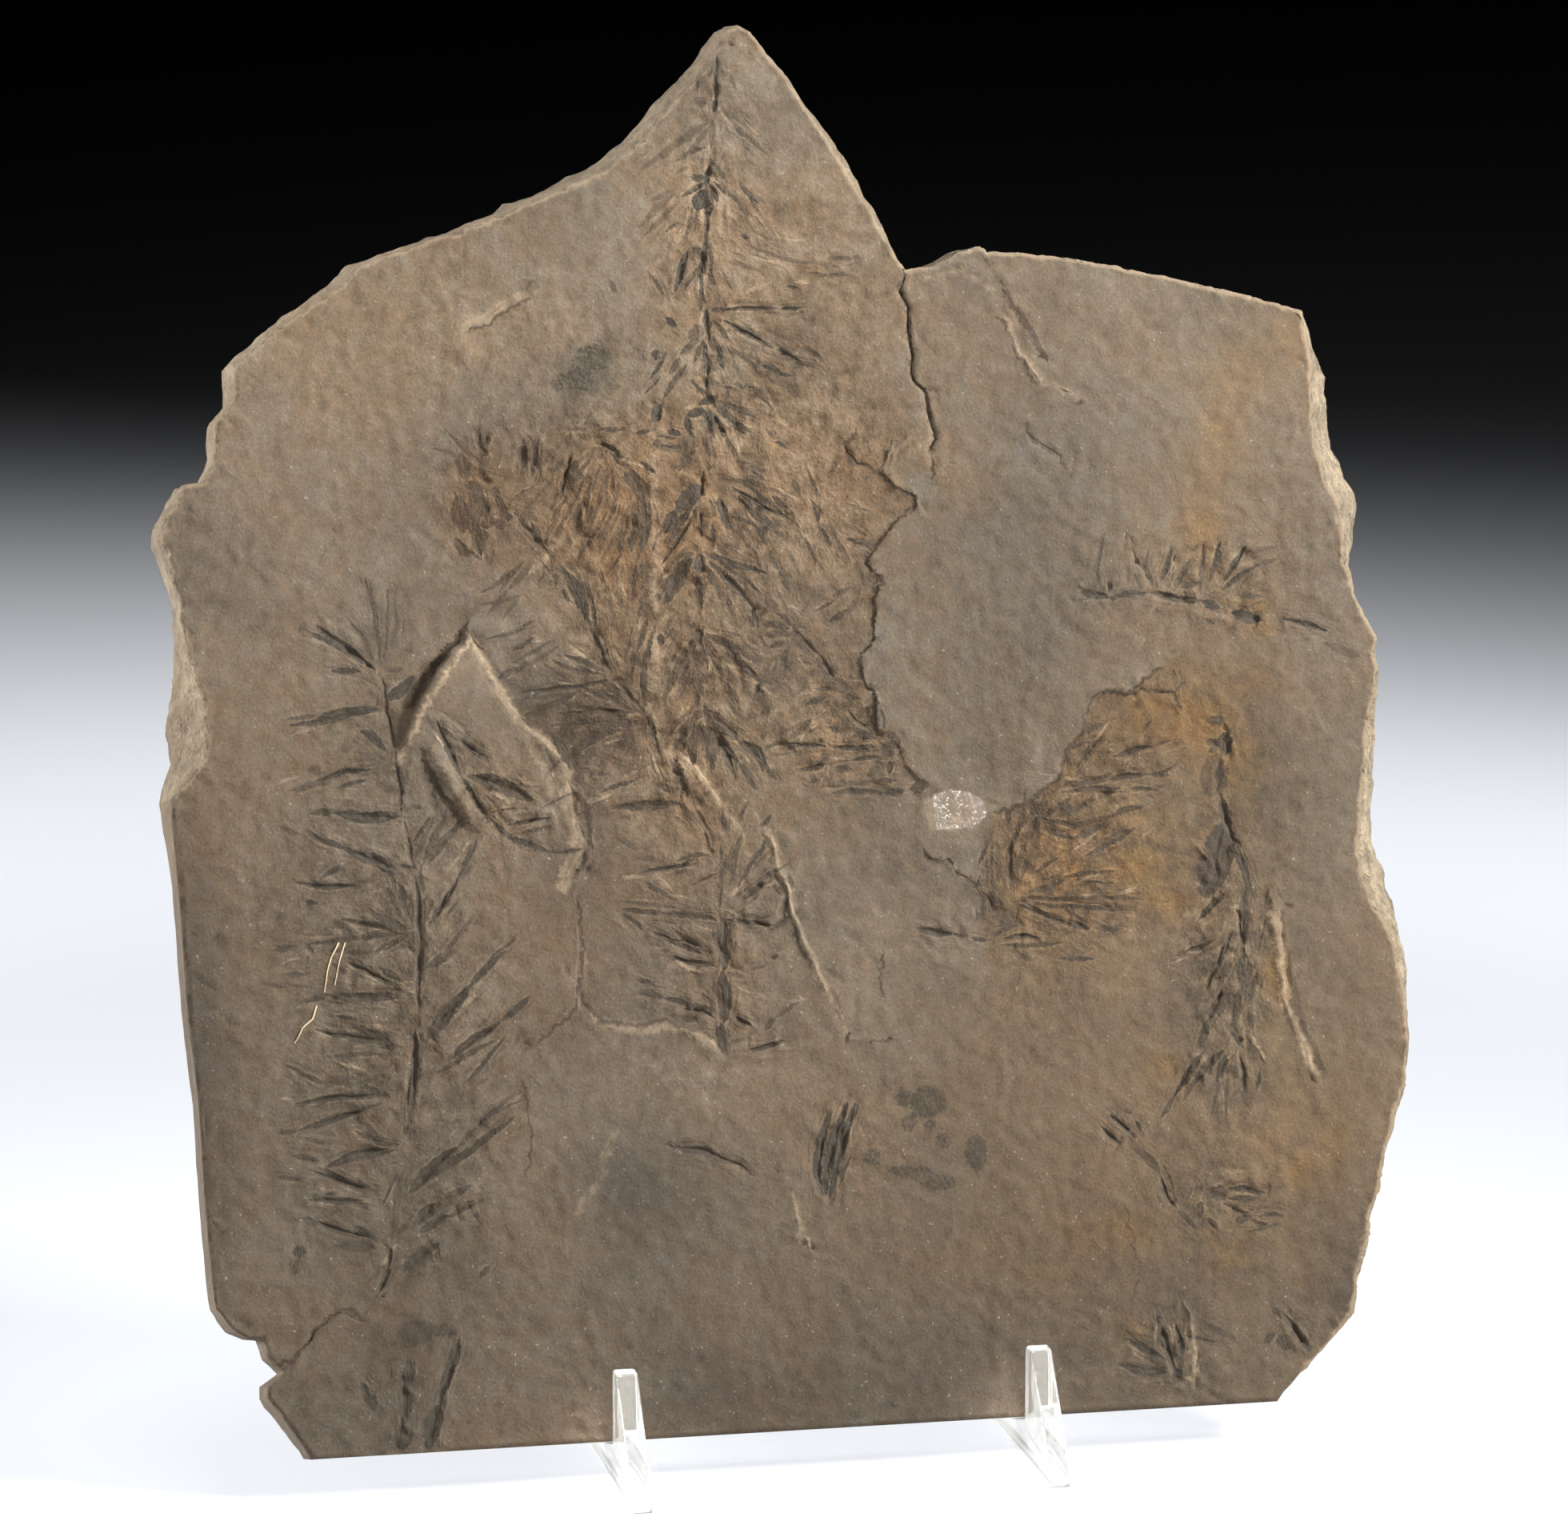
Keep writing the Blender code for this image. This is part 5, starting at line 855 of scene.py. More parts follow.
# %% Roughness, terraces and grooves
PRINT_DEPTH, STEM_DEPTH, LINE_DEPTH = 0.30, 0.10, 0.14
GROOVE_REACH = 0.5  # past a stroke's half width
LEAST_HALF = 0.55  # half width of the narrowest groove
GROOVE_SIDE = 1.15  # where a groove's side ends, in half widths
FINE_NOISE = (2.6, 1)  # size and seed
COARSE_NOISE = (6.5, 2)
FINE_ROUGH = (0.06, 0.38)  # height on a smooth place, and what a torn one adds
COARSE_ROUGH = (0.12, 0.55)
TERRACE_NOISES = ((1.0, 34, 7), (0.45, 9, 8), (0.2, 3.5, 9))  # strength, size, seed
TERRACE_RISE = 0.75
TERRACE_COUNT = 5
TERRACE_EDGE = 0.16  # width of a terrace's edge, as a share of its step
OPEN_CRACK = 0.75  # strength above which a line can be worn shut
CRACK_FILL = 0.45
CRACK_HALF = 0.7
GRIT_NOISE = (3.0, 15)
GRIT_GAIN, GRIT_MEAN, GRIT_LEAST = 1.6, 0.45, 0.2

torn = field("torn", where)
relief = noise_at(flat, *FINE_NOISE) * (FINE_ROUGH[0] + FINE_ROUGH[1] * torn)
relief += noise_at(flat, *COARSE_NOISE) * (COARSE_ROUGH[0] + COARSE_ROUGH[1] * torn)
levels = sum(strength * noise_at(flat, size, seed) for strength, size, seed in TERRACE_NOISES)
levels = levels * TERRACE_COUNT
step_edge = levels - np.floor(levels)
terraces = np.clip((step_edge - 0.5) / TERRACE_EDGE + 0.5, 0, 1)
relief += TERRACE_RISE * (terraces - step_edge)
grit_fill = noise_at(flat, *GRIT_NOISE)
for stroke in strokes:
    near = stroke.near(where, stroke.half + GROOVE_REACH)
    if stroke.kind == FIBRE or len(near) == 0:
        continue
    distance, along, _ = along_and_across(where[near], stroke.chain)
    depth = LINE_DEPTH if stroke.kind == LINE else STEM_DEPTH if stroke.is_stem else PRINT_DEPTH
    width = np.maximum(stroke.half, LEAST_HALF)
    side = np.clip(GROOVE_SIDE - distance / width, 0, 1)
    relief[near] -= depth * stroke.strength * side * stroke.fullness(along)
    if stroke.kind == LINE and stroke.strength > OPEN_CRACK:
        worn_shut = np.clip(grit_fill[near] * GRIT_GAIN + GRIT_MEAN, GRIT_LEAST, 1)
        worn_shut = worn_shut * np.clip(1 - distance / CRACK_HALF, 0, 1)
        relief[near] += CRACK_FILL * worn_shut

# %% [markdown]
# ## The flake and the rod
# The pointed flake by the left plant has come loose along its left side, so that side stands up and
# has a hollow behind it. A thin round rod of stone lies on its lower part.

# %% Lift the flake and lay the rod
FLAKE_LIFT = 1.9  # how much further its left edge stands up
FLAKE_LIFT_REACH = 11.0
FLAKE_RISES = (163, 177)  # v over which the lift grows
FLAKE_TOP, FLAKE_RIGHTMOST = 192.5, -60  # v and u
FLAKE_FALL = 1.2  # distance from the right side over which the lift ends
FLAKE_HOLLOW = 0.8  # behind that edge
HOLLOW_REACH, HOLLOW_RISES, HOLLOW_TOP = 3.0, (168, 176), 194
ROD = np.array([(-84.8, 166.5), (-82.5, 160.5), (-80, 155.5), (-77, 150.5), (-74.3, 145.8)])
ROD_LENGTH, ROD_HALF, ROD_RISE = 23.2, 1.8, 1.8
ROD_END = 1.5  # length over which each end of the rod rounds off

lift = np.clip(1 - to_left / FLAKE_LIFT_REACH, 0, 1) * ramp(face_v, *FLAKE_RISES)
lift *= (left_side > 0) * (face_v < FLAKE_TOP) * (face_u < FLAKE_RIGHTMOST) * ramp(to_right, 0, FLAKE_FALL)
relief += FLAKE_LIFT * lift
behind = (left_side < 0) * np.exp(-to_left / HOLLOW_REACH) * ramp(face_v, *HOLLOW_RISES)
relief -= FLAKE_HOLLOW * behind * (face_v < HOLLOW_TOP)
to_rod, along_rod, _ = along_and_across(where, ROD)
rod_ends = np.clip(np.minimum(along_rod, ROD_LENGTH - along_rod) / ROD_END, 0, 1)
relief += ROD_RISE * np.sqrt(np.clip(1 - (to_rod / ROD_HALF) ** 2, 0, 1)) * rod_ends
print("relief from", round(float(relief.min()), 2), "to", round(float(relief.max()), 2), "mm")

# %% [markdown]
# ## Ragged cracks and a chipped rim
# The points are also shifted sideways by a noise, and more near a crack, whose straight steps become
# a ragged line. The rim is raised a little and then chipped, but hardly where it was sawn.

# %% Shift the points and bite the rim
RELIEF_BY_RIM, SHIFT_BY_RIM = (0, 2), (0.5, 5.5)  # distances from the rim
FACE_SHIFT, CRACK_SHIFT = 0.35, 1.1  # furthest sideways shift of a point, in mm
SHIFT_REACH = 4  # distance over which the larger one fades
SHIFT_NOISES = ((0, 10), (1, 12))  # column and first of its two seeds
SHIFT_SIZES, SHIFT_FINE = (5.0, 2.2), 0.6  # sizes of two noises, and the finer one's strength
RIM_LIFT = 0.5  # which makes the rim's edge crisp
RIM_REACH = 1.6
RIM_BITE = 1.5  # deepest chip out of the rim
BITE_NOISES = ((2.4, 16), (6.0, 17))
BITE_COARSE = 0.7  # strength of the second noise
BITE_REACH = 1.3
SAWN_BITE = 0.12  # share of the bite where the rim was sawn
FOOT_LINE, BITE_BY_FOOT = 1.0, (0, 4)  # v of the sawn foot, and over which the bite grows
SAWN_SIDE = -139  # u left of which the rim was sawn, between these two v
SAWN_V = (36, 150)
FACE_CENTRE = np.array([0.0, 150.0])

uvw[inner, 2] += relief * ramp(to_rim, *RELIEF_BY_RIM)
shift = FACE_SHIFT + (CRACK_SHIFT - FACE_SHIFT) * np.exp(-(to_line / SHIFT_REACH) ** 2)
shift *= ramp(to_rim, *SHIFT_BY_RIM)
for column, seed in SHIFT_NOISES:
    fine = SHIFT_FINE * noise_at(flat, SHIFT_SIZES[1], seed + 1)
    uvw[inner, column] += shift * (noise_at(flat, SHIFT_SIZES[0], seed) + fine)
uvw[inner, 2] += RIM_LIFT * np.exp(-to_rim / RIM_REACH)
uvw[on_face & on_wall, 2] += RIM_LIFT

face_points = np.where(on_face)[0]
face_uv = uvw[face_points, :2]
rim_gap = np.zeros(len(uvw))
rim_gap[inner] = to_rim
bite = np.abs(noise_at(flattened(face_uv), *BITE_NOISES[0]))
bite = bite + BITE_COARSE * np.abs(noise_at(flattened(face_uv), *BITE_NOISES[1]))
sawn = (face_uv[:, 1] < FOOT_LINE) | ((face_uv[:, 0] < SAWN_SIDE) & between(face_uv[:, 1], *SAWN_V))
bite *= np.where(sawn, SAWN_BITE, 1.0) * RIM_BITE * np.exp(-rim_gap[face_points] / BITE_REACH)
bite *= ramp(face_uv[:, 1], *BITE_BY_FOOT)
to_middle = FACE_CENTRE - face_uv
to_middle /= np.linalg.norm(to_middle, axis=1)[:, None]
uvw[face_points, :2] += to_middle * bite[:, None]
print("deepest bite:", round(float(bite.max()), 2), "mm")

# %% [markdown]
# ## The broken wall and the back
# The wall shows the edges of the shale's layers, with chips and grit over them. The sawn left side
# and the foot stay nearly flat. The back is a plain split surface with low bumps.

# %% Shape the broken wall and the back
LAYER_NOISES = (1.1 * 1.6, 3)  # size across the layers, and seed
LAYER_STRETCH = np.array([0.28, 0.28, 1.0])  # longer along them
LAYER_STEPS = 3
CHIP_NOISE = (4.5, 4)
GRIT_WALL_NOISE = (1.7, 14)
LAYER_SHARE, CHIP_SHARE, GRIT_SHARE = 0.40, 0.75, 0.55
WALL_INSET = 0.40  # of its mean
WALL_SAWN_SIDE = -140
WALL_FOOT = 0.05  # v below which nothing moves
SAWN_WALL, BROKEN_WALL = 0.12, 0.55  # how much of the relief each gets
BACK_NOISES = ((0.7, 11, 5), (0.25, 4, 6))  # strength, size and seed

wall_only = np.where(on_wall & ~on_face)[0]
wall_rows = uvw[wall_only]
outward = wall_rows[:, :2] - FACE_CENTRE
outward /= np.linalg.norm(outward, axis=1)[:, None]
saw_cut = (wall_rows[:, 0] < WALL_SAWN_SIDE) & between(wall_rows[:, 1], *SAWN_V)
amount = np.where(wall_rows[:, 1] < WALL_FOOT, 0.0, np.where(saw_cut, SAWN_WALL, BROKEN_WALL))
layers = noise_at(wall_rows * LAYER_STRETCH, *LAYER_NOISES)
layers = np.round(layers * LAYER_STEPS) / LAYER_STEPS
chips = noise_at(wall_rows, *CHIP_NOISE)
grit = noise_at(wall_rows, *GRIT_WALL_NOISE)
inset = amount * (LAYER_SHARE * layers + CHIP_SHARE * chips + GRIT_SHARE * grit - WALL_INSET)
uvw[wall_only, :2] += outward * inset[:, None]
back_only = np.where(on_back & ~on_wall)[0]
bumps = sum(np.abs(noise_at(uvw[back_only], size, seed)) * strength for strength, size, seed in BACK_NOISES)
uvw[back_only, 2] += bumps
slab.data.vertices.foreach_set("co", to_world(uvw).ravel())
slab.data.update()
print("wall points:", len(wall_only), "back points:", len(back_only))

# %% [markdown]
# ## Giving each triangle its strokes
# A leaf's edge is finer than the triangles, so its colour can't be stored at the points. Instead each
# triangle picks the few strokes nearest to it, and stores at its corners how far along and across
# each of them that corner lies. Those distances run evenly over the triangle, so the shader
# can draw the stroke inside it as sharp as it likes.

# %% Pick strokes for each triangle of the split face
SLOTS = 4
REACH = {LINE: 1.8, LEAF: 5.0, FIBRE: 1.0}
PRINT_REACH = REACH[LEAF]
FAR = 99.0
STRONG_FIRST = 0.5  # how much nearer a strong one counts

flat_uv = uvw[:, :2].copy()
flat_uv[inner] = where
face_rows = np.where(part == SPLIT_FACE)[0]
corner_uv = flat_uv[corners[face_rows]]
centres = corner_uv.mean(1)
scores = np.full((len(face_rows), SLOTS), FAR)
chosen = np.full((len(face_rows), SLOTS), -1)
for number, stroke in enumerate(strokes):
    reach = stroke.half + REACH[stroke.kind]
    near = stroke.near(centres, reach)
    if len(near) == 0:
        continue
    distance = along_and_across(centres[near], stroke.chain)[0]
    near = near[distance < reach]
    carried_score = distance[distance < reach] - stroke.half - STRONG_FIRST * abs(stroke.strength)
    carried_number = np.full(len(near), number)
    for slot in range(SLOTS):
        held_score = scores[near, slot]
        held_number = chosen[near, slot]
        better = carried_score < held_score
        scores[near, slot] = np.where(better, carried_score, held_score)
        chosen[near, slot] = np.where(better, carried_number, held_number)
        carried_score = np.where(better, held_score, carried_score)
        carried_number = np.where(better, held_number, carried_number)
print("triangles with a stroke in reach:", int((chosen[:, 0] >= 0).sum()), "of", len(face_rows))

# %% Store the distances at the triangles' corners
def store_corners(name, values):
    """A vector for each corner of each face."""
    layer = slab.data.attributes.new(name, "FLOAT_VECTOR", "CORNER")
    layer.data.foreach_set("vector", np.asarray(values, dtype=np.float32).ravel())


SEED_RANGE = (1, 9)  # a line's seed is below zero and a print's above
rng = random.Random(11)
seeds = [rng.uniform(*SEED_RANGE) * (-1 if stroke.kind == LINE else 1) for stroke in strokes]
for slot in range(SLOTS):
    place_in_stroke = np.zeros((len(corners), 3, 3))
    place_in_stroke[:, :, 1] = FAR
    size_of_stroke = np.zeros((len(corners), 3, 3))
    size_of_stroke[:, :, :2] = 1.0
    order = np.argsort(chosen[:, slot], kind="stable")
    numbers, firsts = np.unique(chosen[order, slot], return_index=True)
    for number, rows in zip(numbers, np.split(order, firsts[1:])):
        if number < 0:
            continue
        stroke = strokes[number]
        _, along, across = along_and_across(corner_uv[rows].reshape(-1, 2), stroke.chain)
        values = np.stack([along, across, np.full(len(along), seeds[number])], axis=1)
        place_in_stroke[face_rows[rows]] = values.reshape(-1, 3, 3)
        size_of_stroke[face_rows[rows]] = (stroke.half, stroke.length, stroke.strength)
    store_corners(f"stroke_place_{slot}", place_in_stroke)
    store_corners(f"stroke_size_{slot}", size_of_stroke)
print("corner layers:", [layer.name for layer in slab.data.attributes if layer.name.startswith("stroke")])

# %% Store the scraps, and how near the edge is
EDGE_FADE = 2.6
SCRAP_SIDE = 1.6
FOOT_FADE = (2, 8)  # v over which the pale rim begins
LEFT_RIM = (60, 0.8)  # u left of which the rim is less pale, and its share
SAWN_RIM = (-100, 155, 0.2)  # left of this u and below this v it is nearly plain


def store_points(name, *columns):
    """A vector for each point, from three columns."""
    layer = slab.data.attributes.new(name, "FLOAT_VECTOR", "POINT")
    layer.data.foreach_set("vector", np.stack(columns, axis=1).astype(np.float32).ravel())


all_u, all_v = flat_uv[:, 0], flat_uv[:, 1]
scraps = np.zeros(len(uvw))
for strength, half_u, half_v, u, v in SCRAPS:
    spread = ((all_u - u) / half_u) ** 2 + ((all_v - v) / half_v) ** 2
    scraps = np.maximum(scraps, strength * np.clip(SCRAP_SIDE - spread, 0, 1))
edge = np.where(on_face, 1.0, 0.0)
edge[inner] = np.exp(-to_rim / EDGE_FADE)
edge *= ramp(all_v, *FOOT_FADE) * np.where(all_u < LEFT_RIM[0], LEFT_RIM[1], 1.0)
edge *= np.where((all_u < SAWN_RIM[0]) & (all_v < SAWN_RIM[1]), SAWN_RIM[2], 1.0)
fields = {name: field(name, flat_uv) for name in SPOTS}
print("points within 3 mm of the edge:", int((to_rim < 3).sum()))

# %% [markdown]
# ## Where a colour stops at a step
# The tongue is part of an upper layer, so the stains and torn patches of the layer beneath end at
# its edges, where soft spots alone would run across. They are raised on the lower side and lowered
# on the upper one. The flake is a little paler and greyer than the stone round it, and beside its right edge
# a painted shadow darkens the stone.

# %% Change the fields along the tongue and on the flake
TONGUE_RIGHT = np.array([
    (46, 108), (46.5, 127), (49.5, 143.5), (59.5, 145.5), (66.5, 151.5), (69, 157.5), (73.5, 163.5),
    (75.5, 170), (78, 171.5), (85.5, 171.5), (89, 174.5), (94.5, 177.5)])
TONGUE_LEFT = np.array([
    (40, 224.5), (32, 234), (27, 226.5), (35, 219), (23.5, 206.5), (22, 205), (26.5, 200), (23.5, 189.5),
    (19.5, 182.5), (20.5, 175), (23, 165.5), (29, 160.5), (34.5, 150.5)])
# lowest and highest v, reach on the lower side, and what is added to each field there
TONGUE_SIDES = (
    (TONGUE_RIGHT, 106, 182, 20.0,
     {"rust": 0.12, "ochre": 0.22, "dark": 0.12, "torn": 0.25, "brown_film": 0.4}),
    (TONGUE_LEFT, 146, 240, 13.0,
     {"rust": 0.08, "ochre": 0.15, "dark": 0.12, "torn": 0.3, "brown_film": 0.3}))
END_FADE = 6  # v over which they begin and end
SIDE_WIDTH = 1.2
STAIN_LOSS = 0.85  # on the upper side
STAIN_REACH = 12
GREY_LOSS = 0.8  # on the lower side
MOST_FIELD = 1.6
FLAKE_V = (120, 193)
FLAKE_U = -48  # the flake lies left of this
FLAKE_MIDDLE = 14  # distance over which its colour fades
FLAKE_FADE = (126, 142)
FLAKE_PALE, FLAKE_GREY = 0.22, 0.30
# painted shadow beside the flake's right edge
FLAKE_SHADE = (0.45, 6.0, 140)  # darkness beside its right edge, its reach and its lowest v

for chain, low, high, reach, changes in TONGUE_SIDES:
    away, _, side = along_and_across(flat_uv, chain)
    level = np.clip((all_v - low) / END_FADE, 0, 1) * np.clip((high - all_v) / END_FADE, 0, 1)
    under = level * np.clip(0.5 - side / SIDE_WIDTH, 0, 1)
    over = level * np.clip(0.5 + side / SIDE_WIDTH, 0, 1)
    for name, gain in changes.items():
        fields[name] = fields[name] * (1 - STAIN_LOSS * over * np.exp(-(away / STAIN_REACH) ** 2))
        fields[name] = np.clip(fields[name] + gain * under * np.exp(-(away / reach) ** 2), 0, MOST_FIELD)
    fields["grey"] = fields["grey"] * (1 - GREY_LOSS * under * np.exp(-(away / reach) ** 2))
away_left, _, side_left = along_and_across(flat_uv, FLAKE_LEFT)
away_right, _, side_right = along_and_across(flat_uv, FLAKE_RIGHT)
on_flake = (side_left > 0) & (side_right < 0) & between(all_v, *FLAKE_V) & (all_u < FLAKE_U)
depth_in_flake = np.minimum(away_left, away_right)
on_flake = on_flake * np.exp(-(depth_in_flake / FLAKE_MIDDLE) ** 2) * ramp(all_v, *FLAKE_FADE)
fields["pale"] = fields["pale"] + FLAKE_PALE * on_flake
fields["grey"] = fields["grey"] + FLAKE_GREY * on_flake
# Painted shadow beside the flake's right edge, added to the dark field.
darkness, shade_reach, shade_low = FLAKE_SHADE
shade = darkness * (side_right > 0) * np.exp(-away_right / shade_reach) * (all_v > shade_low)
fields["dark"] = fields["dark"] + shade
store_points("stain", fields["rust"], fields["ochre"], fields["grey"])
store_points("tone", fields["pale"], fields["dark"], fields["torn"])
store_points("film", fields["brown_film"], scraps, edge)
print("fields:", {name: round(float(values.mean()), 3) for name, values in fields.items()})

# %% [markdown]
# ## How fresh the wall is
# Only a fresh break is pale, and an old one is as brown as the face. The right side of the wall
# is fresh, the left and the peak less so, and the sawn lower left hardly at all.

# %% Store the wall's freshness
# left of this u and between these v the wall is this fresh, and a later row counts more
LESS_FRESH = ((-60, -NOWHERE, NOWHERE, 0.45), (-110, -NOWHERE, 155, 0.12), (45, 270, NOWHERE, 0.35))
BACK_FRESH = 0.35
SMOOTH_ANGLE = 48  # degrees, past which an edge of the stone stays sharp
broken = slab.data.attributes.new("broken", "FLOAT", "FACE")
middle_u, middle_v = flat_uv[corners].mean(1).T
freshness = np.where(part == BACK, BACK_FRESH, 0.0)
freshness[part == WALL] = 1.0
for left_of, low, high, value in LESS_FRESH:
    freshness[(part == WALL) & (middle_u < left_of) & between(middle_v, low, high)] = value
broken.data.foreach_set("value", freshness)
make_active(slab)
bpy.ops.object.shade_smooth_by_angle(angle=math.radians(SMOOTH_ANGLE))
print("triangles of the wall:", int((part == WALL).sum()))

# %% [markdown]
# ## Shader maths as plain expressions
# A material here is a long sum, so it is written as one. A Wire stands for a socket that gives a
# number, and adding or multiplying wires adds Math nodes. Every other node comes from one method of
# the Graph, which takes the node's type, its settings and its sockets.

# %% Wire and Graph
class Wire:
    """A number that varies over the surface."""

    def __init__(self, graph, socket):
        self.graph = graph
        self.socket = socket

    def math(self, operation, *others, clamp=False):
        sockets = {0: self}
        sockets.update({i + 1: other for i, other in enumerate(others)})
        return self.graph.node("ShaderNodeMath", {"operation": operation, "use_clamp": clamp}, sockets)

    def __add__(self, other):
        return self.math("ADD", other)

    def __sub__(self, other):
        return self.math("SUBTRACT", other)

    def __rsub__(self, other):
        return self.math("MULTIPLY", -1.0).math("ADD", other)

    def __mul__(self, other):
        return self.math("MULTIPLY", other)

    def __truediv__(self, other):
        return self.math("DIVIDE", other)

    def __pow__(self, other):
        return self.math("POWER", other)

    __radd__ = __add__
    __rmul__ = __mul__

    def clamp(self):
        return self.math("ADD", 0.0, clamp=True)

    def most(self, other):
        return self.math("MAXIMUM", other)

    def least(self, other):
        return self.math("MINIMUM", other)

    def size(self):
        return self.math("ABSOLUTE")

    def step(self, low, high):
        """Smoothly from 0 at low to 1 at high."""
        settings = {"interpolation_type": "SMOOTHSTEP"}
        sockets = {"Value": self, "From Min": low, "From Max": high}
        return self.graph.node("ShaderNodeMapRange", settings, sockets)


class Graph:
    """The node tree of one new material."""

    def __init__(self, name):
        self.material = bpy.data.materials.new(name)
        self.material.use_nodes = True
        self.tree = self.material.node_tree
        self.tree.nodes.clear()
        self.output = self.tree.nodes.new("ShaderNodeOutputMaterial")
        self.shader = self.tree.nodes.new("ShaderNodeBsdfPrincipled")
        self.tree.links.new(self.shader.outputs[0], self.output.inputs["Surface"])

    def node(self, kind, settings=None, sockets=None, output=0):
        """A new node: its settings, then the values or links of its sockets. Gives one output."""
        made = self.tree.nodes.new(kind)
        for key, value in (settings or {}).items():
            setattr(made, key, value)
        for key, value in (sockets or {}).items():
            self.connect(made.inputs[key], value)
        return Wire(self, made.outputs[output])

    def connect(self, socket, value):
        """A socket's link if the value is a wire, or else its value."""
        if isinstance(value, Wire):
            self.tree.links.new(value.socket, socket)
        else:
            socket.default_value = value

    def set(self, **sockets):
        """Values or links of the shader's own sockets, with _ for a space."""
        for key, value in sockets.items():
            self.connect(self.shader.inputs[key.replace("_", " ")], value)

    def place(self):
        """Object coordinates in millimetres."""
        metres = self.node("ShaderNodeTexCoord", output="Object")
        return self.node("ShaderNodeVectorMath", {"operation": "SCALE"}, {0: metres, "Scale": 1 / MM})

    def vector(self, name):
        """A vector stored on the mesh."""
        return self.node("ShaderNodeAttribute", {"attribute_name": name}, output="Vector")

    def split(self, vector):
        """The three numbers of a vector."""
        made = self.node("ShaderNodeSeparateXYZ", None, {0: vector})
        return [Wire(self, output) for output in made.socket.node.outputs]

    def join(self, x, y, z):
        return self.node("ShaderNodeCombineXYZ", None, {0: x, 1: y, 2: z})

    def noise(self, vector, size, detail=2.0, roughness=0.5):
        """Noise from 0 to 1, with features about one size wide."""
        sockets = {"Vector": vector, "Scale": 1.0 / size, "Detail": detail, "Roughness": roughness}
        return self.node("ShaderNodeTexNoise", None, sockets)

    def mix(self, factor, a, b, blend_type="MIX"):
        """Colour a turned into colour b by a factor."""
        settings = {"data_type": "RGBA", "blend_type": blend_type}
        return self.node("ShaderNodeMix", settings, {0: factor, 6: a, 7: b}, output=2)

    def tint(self, factor, colour, by):
        """A colour multiplied by another, by a factor."""
        return self.mix(factor, colour, (*by, 1.0), "MULTIPLY")

    def shade(self, colour, brightness):
        """A colour made lighter or darker by a number that varies."""
        grey = self.join(brightness, brightness, brightness)
        return self.mix(1.0, colour, grey, "MULTIPLY")

    def bump(self, height, distance=MM, strength=1.0):
        """A normal from a height in millimetres."""
        sockets = {"Height": height, "Distance": distance, "Strength": strength}
        return self.node("ShaderNodeBump", None, sockets)


print("shader helpers ready")

# %% [markdown]
# ## The shale
# The stone is grey-brown mud, pressed hard. Close up it has a fine even grain with a few pale
# specks. From a step away it has broad warm and grey areas. The prints are a thin film of carbon,
# nearly black on the stems and broken up on the leaves, and brown where iron got in. Round each leaf
# the stone has a grain that runs along the leaf, and one side of a leaf often has a pale torn
# edge. The freshly broken wall is paler and shows layers.

# %% Each stroke as a mask
BROAD, CLOUDY, PATCHY, SANDY, GRAINY = 55.0, 15.0, 3.2, 0.75, 0.32  # sizes of the noises in mm
BASE_RISE, TIP_FALL = 3.3, 2.8  # how fast a leaf widens from each end
WOBBLE_ALONG, WOBBLE_ACROSS = 0.75, 0.3  # steps of noise for each mm
LINE_WANDER = 2.4  # how far a line's middle strays, in mm
FULL_FORM, WOBBLE_EDGE, SAND_EDGE = 1.2, 0.9, 0.8  # what moves a print's edge
STREAKS_ALONG, STREAKS_ACROSS = 0.24, 1.0
STREAK_STEP, STREAK_SHARE = (0.36, 0.54), 0.40
END_REACH = 0.4  # how far a mask goes past its ends
NEAR_END = 2.0  # the same for the grain beside a leaf
LEAF_SOFT, SOFT, PALE_SOFT = 0.08, 0.20, -1.2  # softness of a mask's edge
LEAF_DARKER = 0.28  # than a line of the same strength
TORN_GAP, TORN_SHARP, TORN_PALE, TORN_STEP = 0.3, 3.2, 0.36, (0.46, 0.60)  # pale edge of a leaf

shale = Graph("shale")
mm = shale.place()
broad = shale.noise(mm, BROAD, 2.0)
cloudy = shale.noise(mm, CLOUDY, 4.0, 0.62)
patchy = shale.noise(mm, PATCHY, 3.0, 0.6)
sandy = shale.noise(mm, SANDY, 1.5, 0.6)
grainy = shale.noise(mm, GRAINY, 0.0)


